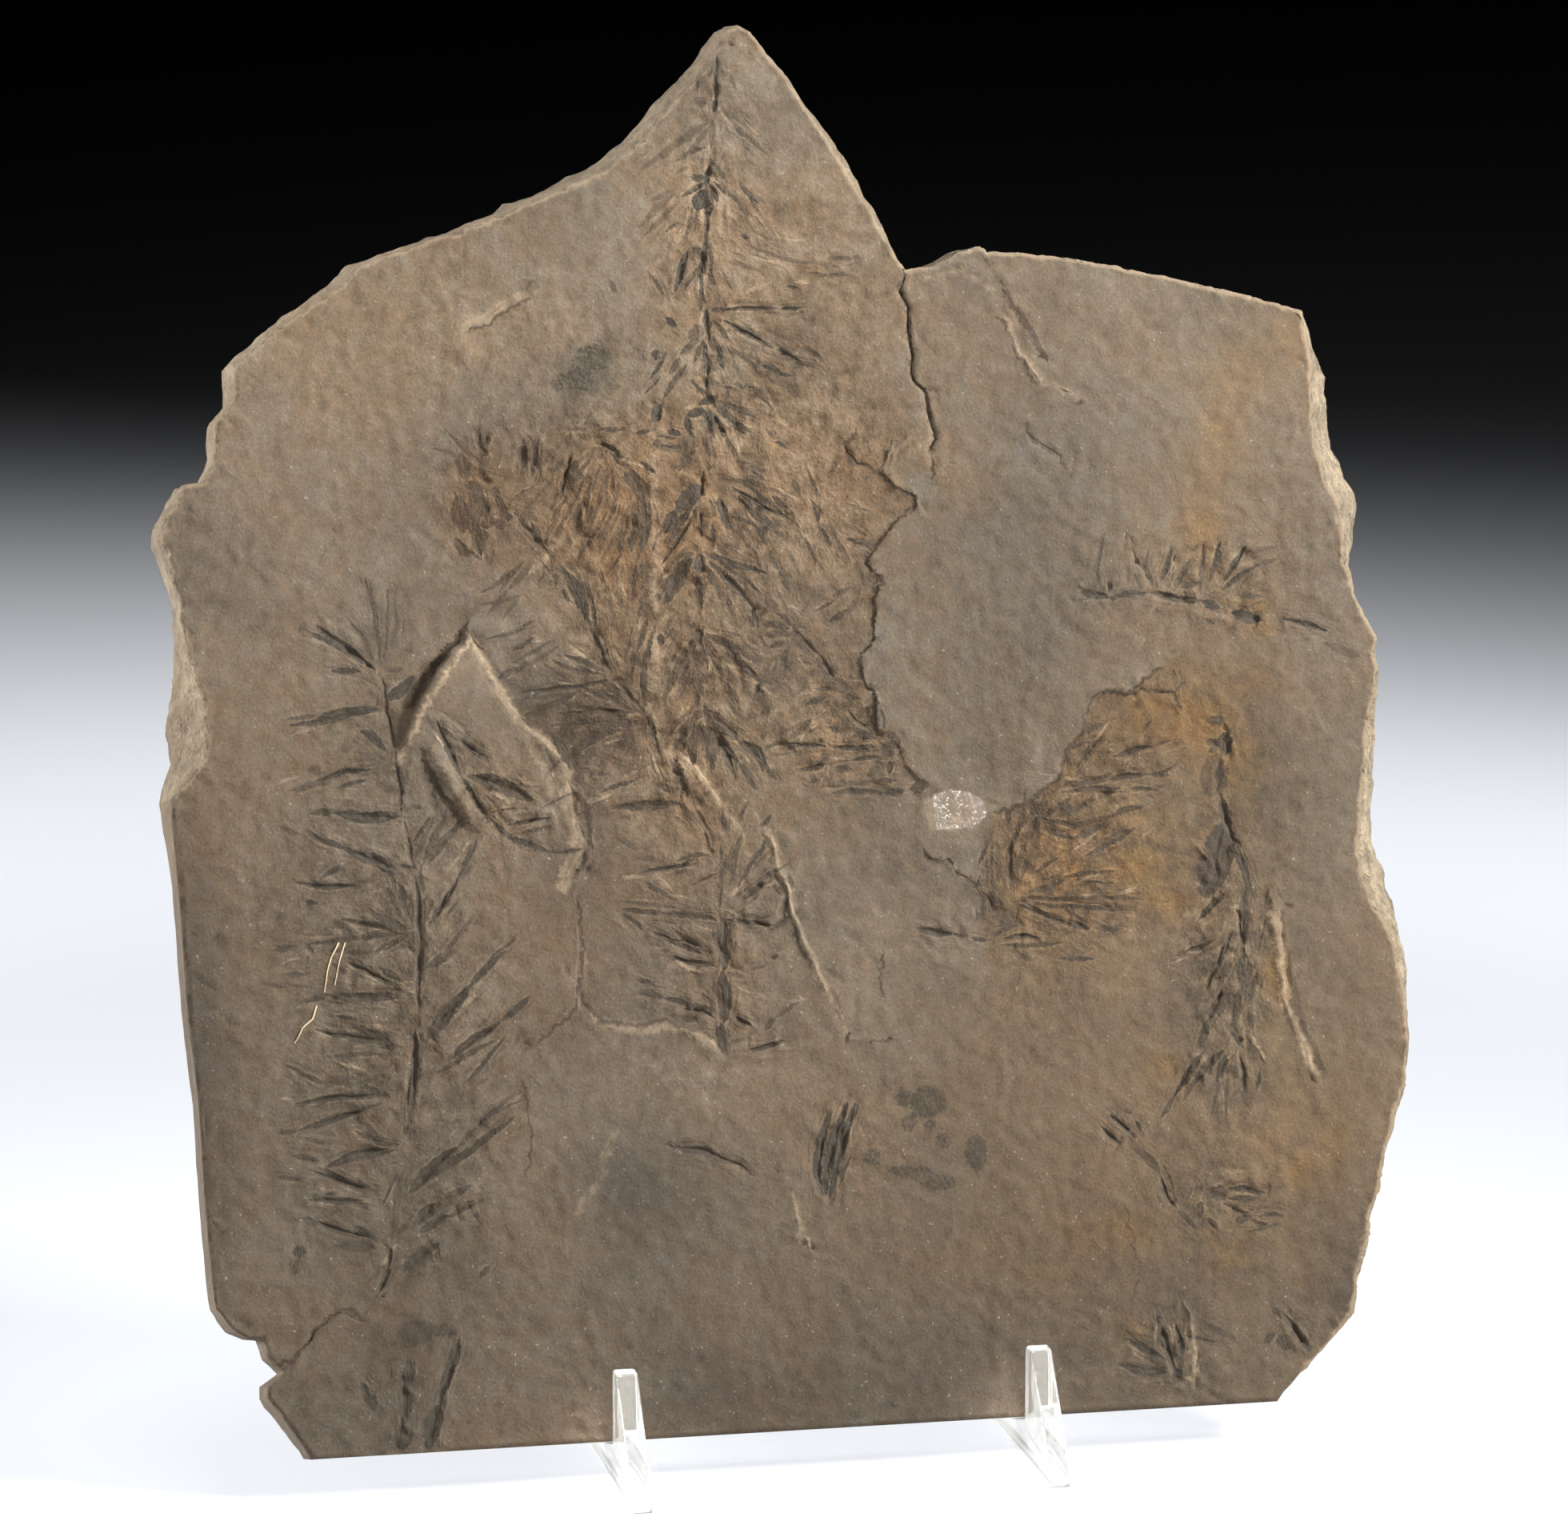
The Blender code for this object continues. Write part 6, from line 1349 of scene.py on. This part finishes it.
class Print:
    """What one slot's stroke does to the stone."""

    def __init__(self, slot):
        along, across, seed = shale.split(shale.vector(f"stroke_place_{slot}"))
        half, length, strength = shale.split(shale.vector(f"stroke_size_{slot}"))
        is_leaf = seed.math("GREATER_THAN", 0.0)
        share = (along / length).clamp()
        leaf_form = (share * BASE_RISE).least((1.0 - share) * TIP_FALL).clamp() ** LEAF_FULLNESS
        line_form = (share.least(1.0 - share) * LINE_TAPER + LINE_LEAST).least(1.0)
        form = line_form + is_leaf * (leaf_form - line_form)
        place = shale.join(along * WOBBLE_ALONG, across * WOBBLE_ACROSS * is_leaf, seed)
        wobble = shale.noise(place, 1.0, 1.0) - 0.5
        aside = (across + wobble * (1.0 - is_leaf) * LINE_WANDER).size()
        ragged = half * (form * FULL_FORM + wobble * WOBBLE_EDGE) + (sandy - 0.5) * SAND_EDGE * form
        place = shale.join(along * STREAKS_ALONG, across * STREAKS_ACROSS, seed * 3.0)
        self.streaks = shale.noise(place, 1.0, 1.5, 0.6)
        ends = ((along + END_REACH).least(length - along + END_REACH) * 2.0).clamp()
        soft = SOFT + is_leaf * LEAF_SOFT + (1.0 - is_leaf) * (strength * PALE_SOFT).clamp()
        body = ((ragged - aside) / soft + 0.5).clamp() * ends
        mask = body * (self.streaks.step(*STREAK_STEP) * STREAK_SHARE + (1 - STREAK_SHARE))
        # Dark lines: shaded cracks and painted shade beside steps. Pale lines: worn lips and painted
        # highlights on lit edges.
        self.dark = mask * strength.most(0.0) * (is_leaf * LEAF_DARKER + (1 - LEAF_DARKER))
        self.line = self.dark * (1.0 - is_leaf)
        self.pale = mask * (strength * -1.0).most(0.0)
        torn_edge = (1.0 - (across - ragged - TORN_GAP).size() * TORN_SHARP).clamp() * ends * is_leaf
        torn_edge = torn_edge * strength.clamp() * self.streaks.step(*TORN_STEP) * TORN_PALE
        self.pale = self.pale.most(torn_edge)
        beyond = ((along + NEAR_END).least(length - along + NEAR_END) / NEAR_END).clamp()
        beside = (1.0 - across.size() / PRINT_REACH).clamp()
        self.near = beside * beyond * is_leaf * strength.size().least(1.0)


prints = [Print(slot) for slot in range(SLOTS)]


def most(values):
    """The largest of several wires."""
    result = values[0]
    for value in values[1:]:
        result = result.most(value)
    return result


dark_print = most([one.dark for one in prints])
dark_line = most([one.line for one in prints])
pale_print = most([one.pale for one in prints])
fibre_height = (prints[0].streaks - 0.5) * prints[0].near
rust, ochre, grey = shale.split(shale.vector("stain"))
pale, dark, torn_here = shale.split(shale.vector("tone"))
brown_film, scrap, rim_here = shale.split(shale.vector("film"))
broken_here = shale.node("ShaderNodeAttribute", {"attribute_name": "broken"}, output="Fac")
print("nodes so far:", len(shale.tree.nodes))

# %% Colour of the stone
STONE_WARM = (0.124, 0.0855, 0.0520, 1.0)
STONE_COOL = (0.098, 0.0735, 0.0495, 1.0)
PALE_STONE_AND_HIGHLIGHT = (0.270, 0.198, 0.124, 1.0)
FRESH_STONE = (0.250, 0.196, 0.128, 1.0)
BLUE_BLACK = (0.0270, 0.0195, 0.0105, 1.0)
BROWN_BLACK = (0.042, 0.0235, 0.0095, 1.0)
SHADED_LINE_BROWN = (0.046, 0.027, 0.013, 1.0)
GREY_MUD = (0.098, 0.082, 0.062, 1.0)
SPECK = (0.42, 0.38, 0.32, 1.0)
WARM, COOL = (1.12, 0.96, 0.74), (0.92, 1.02, 1.06)  # these multiply a colour
TORN_TINT = (1.02, 0.95, 0.86)
RUST_TINT, OCHRE_TINT, GREY_TINT = (0.94, 0.80, 0.63), (1.20, 0.96, 0.58), (0.80, 0.88, 0.97)
PALE_GAIN, DARK_LOSS = 0.30, 0.36  # in brightness, for a whole step of each field
CLOUD_CONTRAST, PATCH_CONTRAST, SAND_CONTRAST = 0.62, 0.55, 0.58
GRAIN_CONTRAST, FIBRE_CONTRAST = 0.12, 1.2
HUE_CONTRAST = 1.5
SPECK_SHARE, CHIP_COLOUR_SHARE = 0.32, 0.55

stone = shale.mix(broad.step(0.35, 0.65), STONE_WARM, STONE_COOL)
stone = shale.mix((patchy + cloudy - 0.9).clamp() * 1.6, stone, GREY_MUD)
hue = shale.noise(mm, 4.0, 2.0, 0.7) - 0.5
unrest = 1.0 + torn_here * 1.6
stone = shale.tint((hue * (HUE_CONTRAST + torn_here)).clamp(), stone, WARM)
stone = shale.tint((hue * (-HUE_CONTRAST - torn_here)).clamp(), stone, COOL)
stone = shale.tint(torn_here, stone, TORN_TINT)
stone = shale.tint(rust * (cloudy * 0.9 + patchy * 0.9), stone, RUST_TINT)
stone = shale.tint((ochre * (cloudy * 2.0 + patchy - 1.0) * 1.5).clamp(), stone, OCHRE_TINT)
stone = shale.tint(grey * (0.55 + cloudy * 0.6), stone, GREY_TINT)
# The pale and dark fields: partly the stone's tone, partly painted light towards the top and painted shade
# towards the bottom and the right.
stone = shale.shade(stone, 1.0 + pale * PALE_GAIN - dark * DARK_LOSS)
clouds = 1.0 + (cloudy - 0.5) * CLOUD_CONTRAST * unrest
stone = shale.shade(stone, clouds + (patchy - 0.5) * (PATCH_CONTRAST + torn_here * 1.5))
stone = shale.shade(stone, 1.0 + (sandy - 0.5) * SAND_CONTRAST)
stone = shale.shade(stone, (1 - GRAIN_CONTRAST / 2) + grainy * GRAIN_CONTRAST)
beside_leaf = 1.0 + prints[0].near * (torn_here * 0.12 - 0.08)
stone = shale.shade(stone, beside_leaf + fibre_height * (FIBRE_CONTRAST + torn_here * 1.4))
specks = shale.noise(mm, 0.6, 0.0).step(0.74, 0.86) * patchy.step(0.40, 0.6)
stone = shale.mix(specks * SPECK_SHARE, stone, SPECK)
rim_chips = (rim_here + patchy * 0.7 - 0.85).step(0.0, 0.35)
stone = shale.mix(rim_chips * CHIP_COLOUR_SHARE, stone, PALE_STONE_AND_HIGHLIGHT)

# %% Colour of the broken wall and of the prints
LAYER_FINE = 0.12  # how much slower a layer changes along than across
LAYER_NOISE = 0.9
FILM_GAIN, SCRAP_FILM, FILM_MOST, LINE_SHADE_MOST = 1.45, 0.80, 0.97, 0.8
FILM_LEAST, FILM_STEP, FILM_SAND = 0.60, (0.36, 0.56), 0.48  # grains of sand that break the film up
PALE_LEAST, PALE_STEP, PALE_PATCH, PALE_STRONG = 0.10, (0.38, 0.60), 0.42, 0.36

depth_in_wall = shale.node(
    "ShaderNodeVectorMath", {"operation": "DOT_PRODUCT"}, {0: mm, 1: tuple(W_AXIS)}, output="Value")
layer_place = shale.node("ShaderNodeVectorMath", {"operation": "SCALE"}, {0: mm, "Scale": LAYER_FINE})
lx, ly, lz = shale.split(layer_place)
layer_noise = shale.noise(shale.join(lx + depth_in_wall, ly, lz), LAYER_NOISE, 2.0, 0.6)
fresh = shale.shade(FRESH_STONE, 0.62 + layer_noise * 0.40)
fresh = shale.shade(fresh, (cloudy * 1.2 + patchy * 1.6 + sandy * 0.9 - 0.95).most(0.35))
stone = shale.mix((broken_here * (cloudy * 2.2 + patchy * 1.0 - 0.75)).clamp(), stone, fresh)
film_colour = shale.mix((brown_film * (0.4 + cloudy)).clamp(), BLUE_BLACK, BROWN_BLACK)
scrap_mask = (scrap + sandy * 0.9 + patchy * 0.5 - 1.15).step(0.0, 0.35)
film = (dark_print * FILM_GAIN).most(scrap_mask * SCRAP_FILM)
film = film * (FILM_LEAST + sandy.step(*FILM_STEP) * FILM_SAND)
paleness = patchy.step(*PALE_STEP) * PALE_PATCH + PALE_LEAST + pale_print * pale_print * PALE_STRONG
# Pale strokes: torn and worn edges, and painted highlights along lit steps and ridges.
colour = shale.mix(pale_print * paleness, stone, PALE_STONE_AND_HIGHLIGHT)
colour = shale.mix((film * FILM_MOST).clamp(), colour, film_colour)
# Lines: shaded cracks and painted shadow beside steps, in one brown.
colour = shale.mix((dark_line * LINE_SHADE_MOST).clamp(), colour, SHADED_LINE_BROWN)

# %% Surface of the stone
SAND_BUMP, PATCH_BUMP, TORN_BUMP, FIBRE_BUMP = 0.13, 0.19, 0.60, 0.45  # heights in mm
WALL_LAYER_BUMP, WALL_PATCH_BUMP, WALL_SAND_BUMP = 0.35, 1.7, 0.5
STONE_ROUGHNESS, FILM_POLISH = 0.90, 0.12

height = sandy * SAND_BUMP + patchy * (PATCH_BUMP + torn_here * TORN_BUMP) + fibre_height * FIBRE_BUMP
wall_height = layer_noise * WALL_LAYER_BUMP + patchy * WALL_PATCH_BUMP + sandy * WALL_SAND_BUMP
height = height + broken_here * wall_height
shale.set(
    Base_Color=colour,
    Roughness=STONE_ROUGHNESS - film * FILM_POLISH,
    Normal=shale.bump(height),
    Specular_IOR_Level=0.35)
slab.data.materials.append(shale.material)
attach(slab, "root")
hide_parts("slab")
print("shale nodes:", len(shale.tree.nodes))

# %% [markdown]
# ## The clear stand
# The legs and the brace are cut from clear acrylic sheet and flame polished, so their edges are
# slightly rounded and catch the light as bright lines. The frame's plates have the right outline but
# razor edges. A merged copy of each gets its flat caps back as single faces, and a small bevel.
# Clear pieces cast no shadow, as the renderer would give them that of solid ones.

# %% Polished plates
STAND = ("stand_leg_left", "stand_leg_right", "stand_brace")
PLATE_BEVEL = 0.8
PLATE_BEVEL_SEGMENTS = 3
ACRYLIC = (0.955, 0.95, 0.895, 1.0)
FLAT_ANGLE, BEVEL_ANGLE, ROUND_ANGLE = (math.radians(angle) for angle in (1.0, 35.0, 40.0))

clear = Graph("clear_acrylic")
clear.set(Base_Color=ACRYLIC, Roughness=0.07, Transmission_Weight=0.90, IOR=1.49)


def polished(node, name):
    """A plate of the stand with rounded edges."""
    piece = merged_copy(node, name)
    bpy.ops.object.mode_set(mode="EDIT")
    bpy.ops.mesh.select_all(action="SELECT")
    bpy.ops.mesh.dissolve_limited(angle_limit=FLAT_ANGLE)
    bpy.ops.object.mode_set(mode="OBJECT")
    bevel = piece.modifiers.new("rounded edges", "BEVEL")
    bevel.width = PLATE_BEVEL * MM
    bevel.segments = PLATE_BEVEL_SEGMENTS
    bevel.limit_method = "ANGLE"
    bevel.angle_limit = BEVEL_ANGLE
    bpy.ops.object.modifier_apply(modifier=bevel.name)
    bpy.ops.object.shade_smooth_by_angle(angle=ROUND_ANGLE)
    piece.data.materials.append(clear.material)
    piece.visible_shadow = False
    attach(piece, "root")
    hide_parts(node)
    return piece


plates = [polished(node, node + "_polished") for node in STAND]
print("plates:", [(plate.name, len(plate.data.polygons)) for plate in plates])

# %% [markdown]
# ## The glassy crust
# At the tip of the tongue sits a small clear crust, full of tiny facets. It starts as the merged
# plate from the frame, is cut finely, and its top is lifted to a low dome with pebbles on it. Its
# rim and its left end are crumbly and pale instead of clear; their white flecks are partly crumbs and partly
# painted glints.

# %% Clear crust
CRUST_CUTS = 7
PEBBLE_NOISES = ((0.35, 1.6, 21), (0.12, 0.6, 22))  # height, size and seed
CRUST_HALF = np.array([7.0, 5.0])  # half its width and half its height
DOME_FALL = 0.55  # how much lower the top is at the rim
CRUMB_NOISE, CRUMB_GAIN, CRUMB_MEAN, CRUMB_MOST, CRUMB_BELOW = (1.8, 23), 2.2, 0.10, 0.7, 151.5
CRUMB_RIM = (0.70, 0.22)  # share of the way out where the crumbly rim begins, and its width
CRUMB_LEFT = (39.6, 1.6)  # u left of which it crumbles, and over how far

crust = merged_copy("clear_patch", "clear_crust")
bpy.ops.object.mode_set(mode="EDIT")
bpy.ops.mesh.select_all(action="SELECT")
bpy.ops.mesh.subdivide(number_cuts=CRUST_CUTS)
bpy.ops.mesh.quads_convert_to_tris(quad_method="BEAUTY", ngon_method="BEAUTY")
bpy.ops.object.mode_set(mode="OBJECT")
crust_rows = to_face(coordinates(crust.data))
top = crust_rows[:, 2].max()
low = crust_rows[:, 2].min()
raised = (crust_rows[:, 2] - low) / (top - low)
pebbles = sum(np.abs(noise_at(crust_rows, size, seed)) * rise for rise, size, seed in PEBBLE_NOISES)
crust_middle = crust_rows[:, :2].mean(0)
reach_out = np.linalg.norm((crust_rows[:, :2] - crust_middle) / CRUST_HALF, axis=1)
crust_rows[:, 2] += raised * (pebbles - DOME_FALL * np.clip(reach_out, 0, 1) ** 3)
crumbs = np.clip(noise_at(crust_rows, *CRUMB_NOISE) * CRUMB_GAIN + CRUMB_MEAN, 0, CRUMB_MOST)
crumbs = crumbs * (crust_rows[:, 1] < CRUMB_BELOW)
crumbly_rim = (reach_out - CRUMB_RIM[0]) / CRUMB_RIM[1]
crumbly_left = (CRUMB_LEFT[0] - crust_rows[:, 0]) / CRUMB_LEFT[1]
rough_here = np.clip(np.maximum(crumbly_rim, crumbly_left), crumbs, 1)
crumbly = crust.data.attributes.new("crumbly", "FLOAT", "POINT")
crumbly.data.foreach_set("value", rough_here.astype(np.float32))
crust.data.vertices.foreach_set("co", to_world(crust_rows).ravel())
crust.data.update()
make_active(crust)
bpy.ops.object.shade_smooth()
print("crumbly points:", int((rough_here > 0.5).sum()), "of", len(rough_here))

# %% Material of the crust
GLASS, CRUMB_AND_GLINT = (0.74, 0.66, 0.56, 1.0), (0.98, 0.96, 0.92, 1.0)
SPARKLE_SIZE, FLECK_SIZE, FLECK_GROUP = 0.7, 0.5, 2.2  # sizes of the noises, in mm
glass = Graph("glassy_crust")
glass_mm = glass.place()
sparkle = glass.noise(glass_mm, SPARKLE_SIZE, 2.0, 0.7)
crumbly_here = glass.node("ShaderNodeAttribute", {"attribute_name": "crumbly"}, output="Fac")
# White flecks: partly crumbs, partly painted glints.
flecks = glass.noise(glass_mm, FLECK_SIZE, 1.0).step(0.50, 0.62) * crumbly_here
flecks = flecks * glass.noise(glass_mm, FLECK_GROUP, 1.0).step(0.38, 0.60)
glass.set(
    Base_Color=glass.mix(flecks, GLASS, CRUMB_AND_GLINT),
    Roughness=0.05 + flecks * 0.35,
    Normal=glass.bump(sparkle * (0.06 + crumbly_here * 0.8)),
    Transmission_Weight=0.96,
    IOR=1.5)
crust.data.materials.append(glass.material)
crust.visible_shadow = False
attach(crust, "root")
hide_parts("clear_patch")
print("crust:", len(crust.data.polygons), "faces")

# %% [markdown]
# ## Root hairs
# A few pale hairs lie on the face beside the left plant. Each is a thin curve on the stone, with its
# height read from the slab below it, and is turned into a mesh.

# %% Pale hairs on the face
HAIRS = [
    (0.45, -108.5, 119.5, -110.5, 116, -111.5, 113, -112.5, 108),
    (0.40, -107, 119.5, -108.5, 115.5, -110, 109.5),
    (0.45, -114.5, 105, -115.5, 102, -118, 100, -119, 98, -120, 96.5),
]
RAY_FROM = 20.0  # w from which the face's height is read
HAIR_PARTS = 4  # of each step of a hair
HAIR_RISE = 0.2  # of its middle above the face, in widths
HAIR_TAPER = 0.6  # how much thinner its end is
ROOT_PALE, ROOT_DARK = (0.62, 0.47, 0.30, 1.0), (0.45, 0.33, 0.20, 1.0)
tree = BVHTree.FromPolygons([Vector(row) for row in to_world(uvw)], [list(face) for face in corners])


def on_surface(u, v, lift):
    """The world place above the slab's face at (u, v)."""
    start = Vector(to_world([(u, v, RAY_FROM)])[0])
    hit = tree.ray_cast(start, -Vector(W_AXIS))[0]
    return hit + Vector(W_AXIS) * lift * MM


def add_hair(number, values):
    """One hair as a mesh tube that follows the face."""
    width = values[0]
    points = list(zip(values[1::2], values[2::2]))
    curve = bpy.data.curves.new(f"hair_curve_{number}", "CURVE")
    curve.dimensions = "3D"
    curve.bevel_depth = width / 2 * MM
    curve.bevel_resolution = 2
    curve.use_fill_caps = True
    spline = curve.splines.new("POLY")
    fine = []
    for (u0, v0), (u1, v1) in zip(points, points[1:]):
        for k in range(HAIR_PARTS):
            fine.append((u0 + (u1 - u0) * k / HAIR_PARTS, v0 + (v1 - v0) * k / HAIR_PARTS))
    fine.append(points[-1])
    spline.points.add(len(fine) - 1)
    for i, (u, v) in enumerate(fine):
        spline.points[i].co = (*on_surface(u, v, width * HAIR_RISE), 1.0)
        spline.points[i].radius = 1.0 - HAIR_TAPER * i / len(fine)
    hair = bpy.data.objects.new(f"root_hair_{number}", curve)
    bpy.context.scene.collection.objects.link(hair)
    make_active(hair)
    bpy.ops.object.convert(target="MESH")
    return bpy.context.object


hair_graph = Graph("dry_root")
root_noise = hair_graph.noise(hair_graph.place(), 1.2)
hair_graph.set(Base_Color=hair_graph.mix(root_noise, ROOT_PALE, ROOT_DARK), Roughness=0.7)
for number, values in enumerate(HAIRS):
    hair = add_hair(number, values)
    hair.data.materials.append(hair_graph.material)
    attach(hair, "root")
print("hairs:", len(HAIRS))

# %% [markdown]
# ## Table and light
# The slab stands on a pale cloth with painted light: it glows most near the slab and less out to about
# two metres, so that it paints part of the pool of light, and its glow dips right by the slab as a
# painted shadow. Its own colour is darker near the slab, out to a metre, so that it looks evenly pale
# from the front. A lamp overhead makes a pool of light that fades to black two metres behind the slab.
# A large soft lamp on the right skims the face, so that prints and ledges throw short shadows to the
# left. A weaker one on the left fills those shadows, one low in front stands for light off the cloth,
# and one behind on the left lights the edge of the wall there.

# %% Table
TABLE_SIZE = 24.0
# where a glow ends and where it is full, in mm from the middle, and its strength
INNER_GLOW, OUTER_GLOW, NEAR_SHADE = (560.0, 100.0, 0.52), (1800.0, 150.0, 0.34), (190.0, 60.0, 0.08)
NEAR_CLOTH = (1000.0, 220.0)  # the same for the darker cloth by the slab
GLOW, FAR_WHITE, NEAR_GREY = (0.93, 0.95, 1.0, 1.0), (0.82, 0.84, 0.88, 1.0), (0.165, 0.17, 0.18, 1.0)
deselect_all()
bpy.ops.mesh.primitive_plane_add(size=TABLE_SIZE, location=(0, 0, 0))
table = bpy.context.object
table.name = "table"
table_graph = Graph("pale_table")
from_middle = table_graph.node(
    "ShaderNodeVectorMath", {"operation": "LENGTH"}, {0: table_graph.place()}, output="Value")
inner, outer, less = (
    from_middle.step(end, full) * strength for end, full, strength in (INNER_GLOW, OUTER_GLOW, NEAR_SHADE))
# Painted light: the cloth's glow, with a painted shadow where it dips by the slab.
glow = table_graph.shade(GLOW, inner + outer - less)
cloth = table_graph.mix(from_middle.step(*NEAR_CLOTH), FAR_WHITE, NEAR_GREY)
table_graph.set(
    Base_Color=cloth,
    Roughness=0.6,
    Emission_Color=glow,
    Emission_Strength=1.0,
    Specular_IOR_Level=0.2)
table.data.materials.append(table_graph.material)
print("table:", TABLE_SIZE, "metres wide")

# %% Lights
# name, place, size, power, the place it points at and the spread of its beam in degrees
LAMPS = (
    ("key", (1.75, -0.72, 1.30), 0.50, 16.5, (0.0, 0.0, 0.22), 60.0),
    ("fill", (-1.15, -1.0, 0.70), 0.7, 1.2, (0.0, 0.0, 0.15), 80.0),
    ("bounce", (0.0, -0.80, 0.05), 0.8, 1.5, (0.0, 0.0, 0.26), 80.0),
    ("edge", (-1.60, 0.30, 0.45), 0.5, 5.0, (0.0, 0.02, 0.18), 50.0))
POOL_PLACE, POOL_AIM = (-0.1, 0.05, 2.2), (-0.1, 0.05, 0.0)
POOL_RADIUS = 1.93  # of the pool of light on the table, in metres
POOL_POWER, POOL_SOFTNESS, POOL_COLOUR = 85.0, 0.25, (0.95, 0.97, 1.0)


def aimed(lamp, place, aim_at):
    """Turns a lamp at one place towards another."""
    lamp.rotation_euler = (Vector(aim_at) - Vector(place)).to_track_quat("-Z", "Y").to_euler()


for name, place, size, power, aim_at, spread in LAMPS:
    bpy.ops.object.light_add(type="AREA", location=place)
    lamp = bpy.context.object
    lamp.name = name
    lamp.data.size = size
    lamp.data.energy = power
    lamp.data.spread = math.radians(spread)
    aimed(lamp, place, aim_at)
bpy.ops.object.light_add(type="SPOT", location=POOL_PLACE)
pool = bpy.context.object
pool.name = "pool"
pool.data.energy = POOL_POWER
pool.data.shadow_soft_size = POOL_SOFTNESS
pool.data.spot_size = 2 * math.atan(POOL_RADIUS / POOL_PLACE[2])
pool.data.spot_blend = 1.0
pool.data.color = POOL_COLOUR
aimed(pool, POOL_PLACE, POOL_AIM)
world = bpy.data.worlds.new("dark_room")
world.use_nodes = True
world.node_tree.nodes["Background"].inputs["Strength"].default_value = 0.0
bpy.context.scene.world = world
bpy.context.scene.view_settings.view_transform = "Standard"
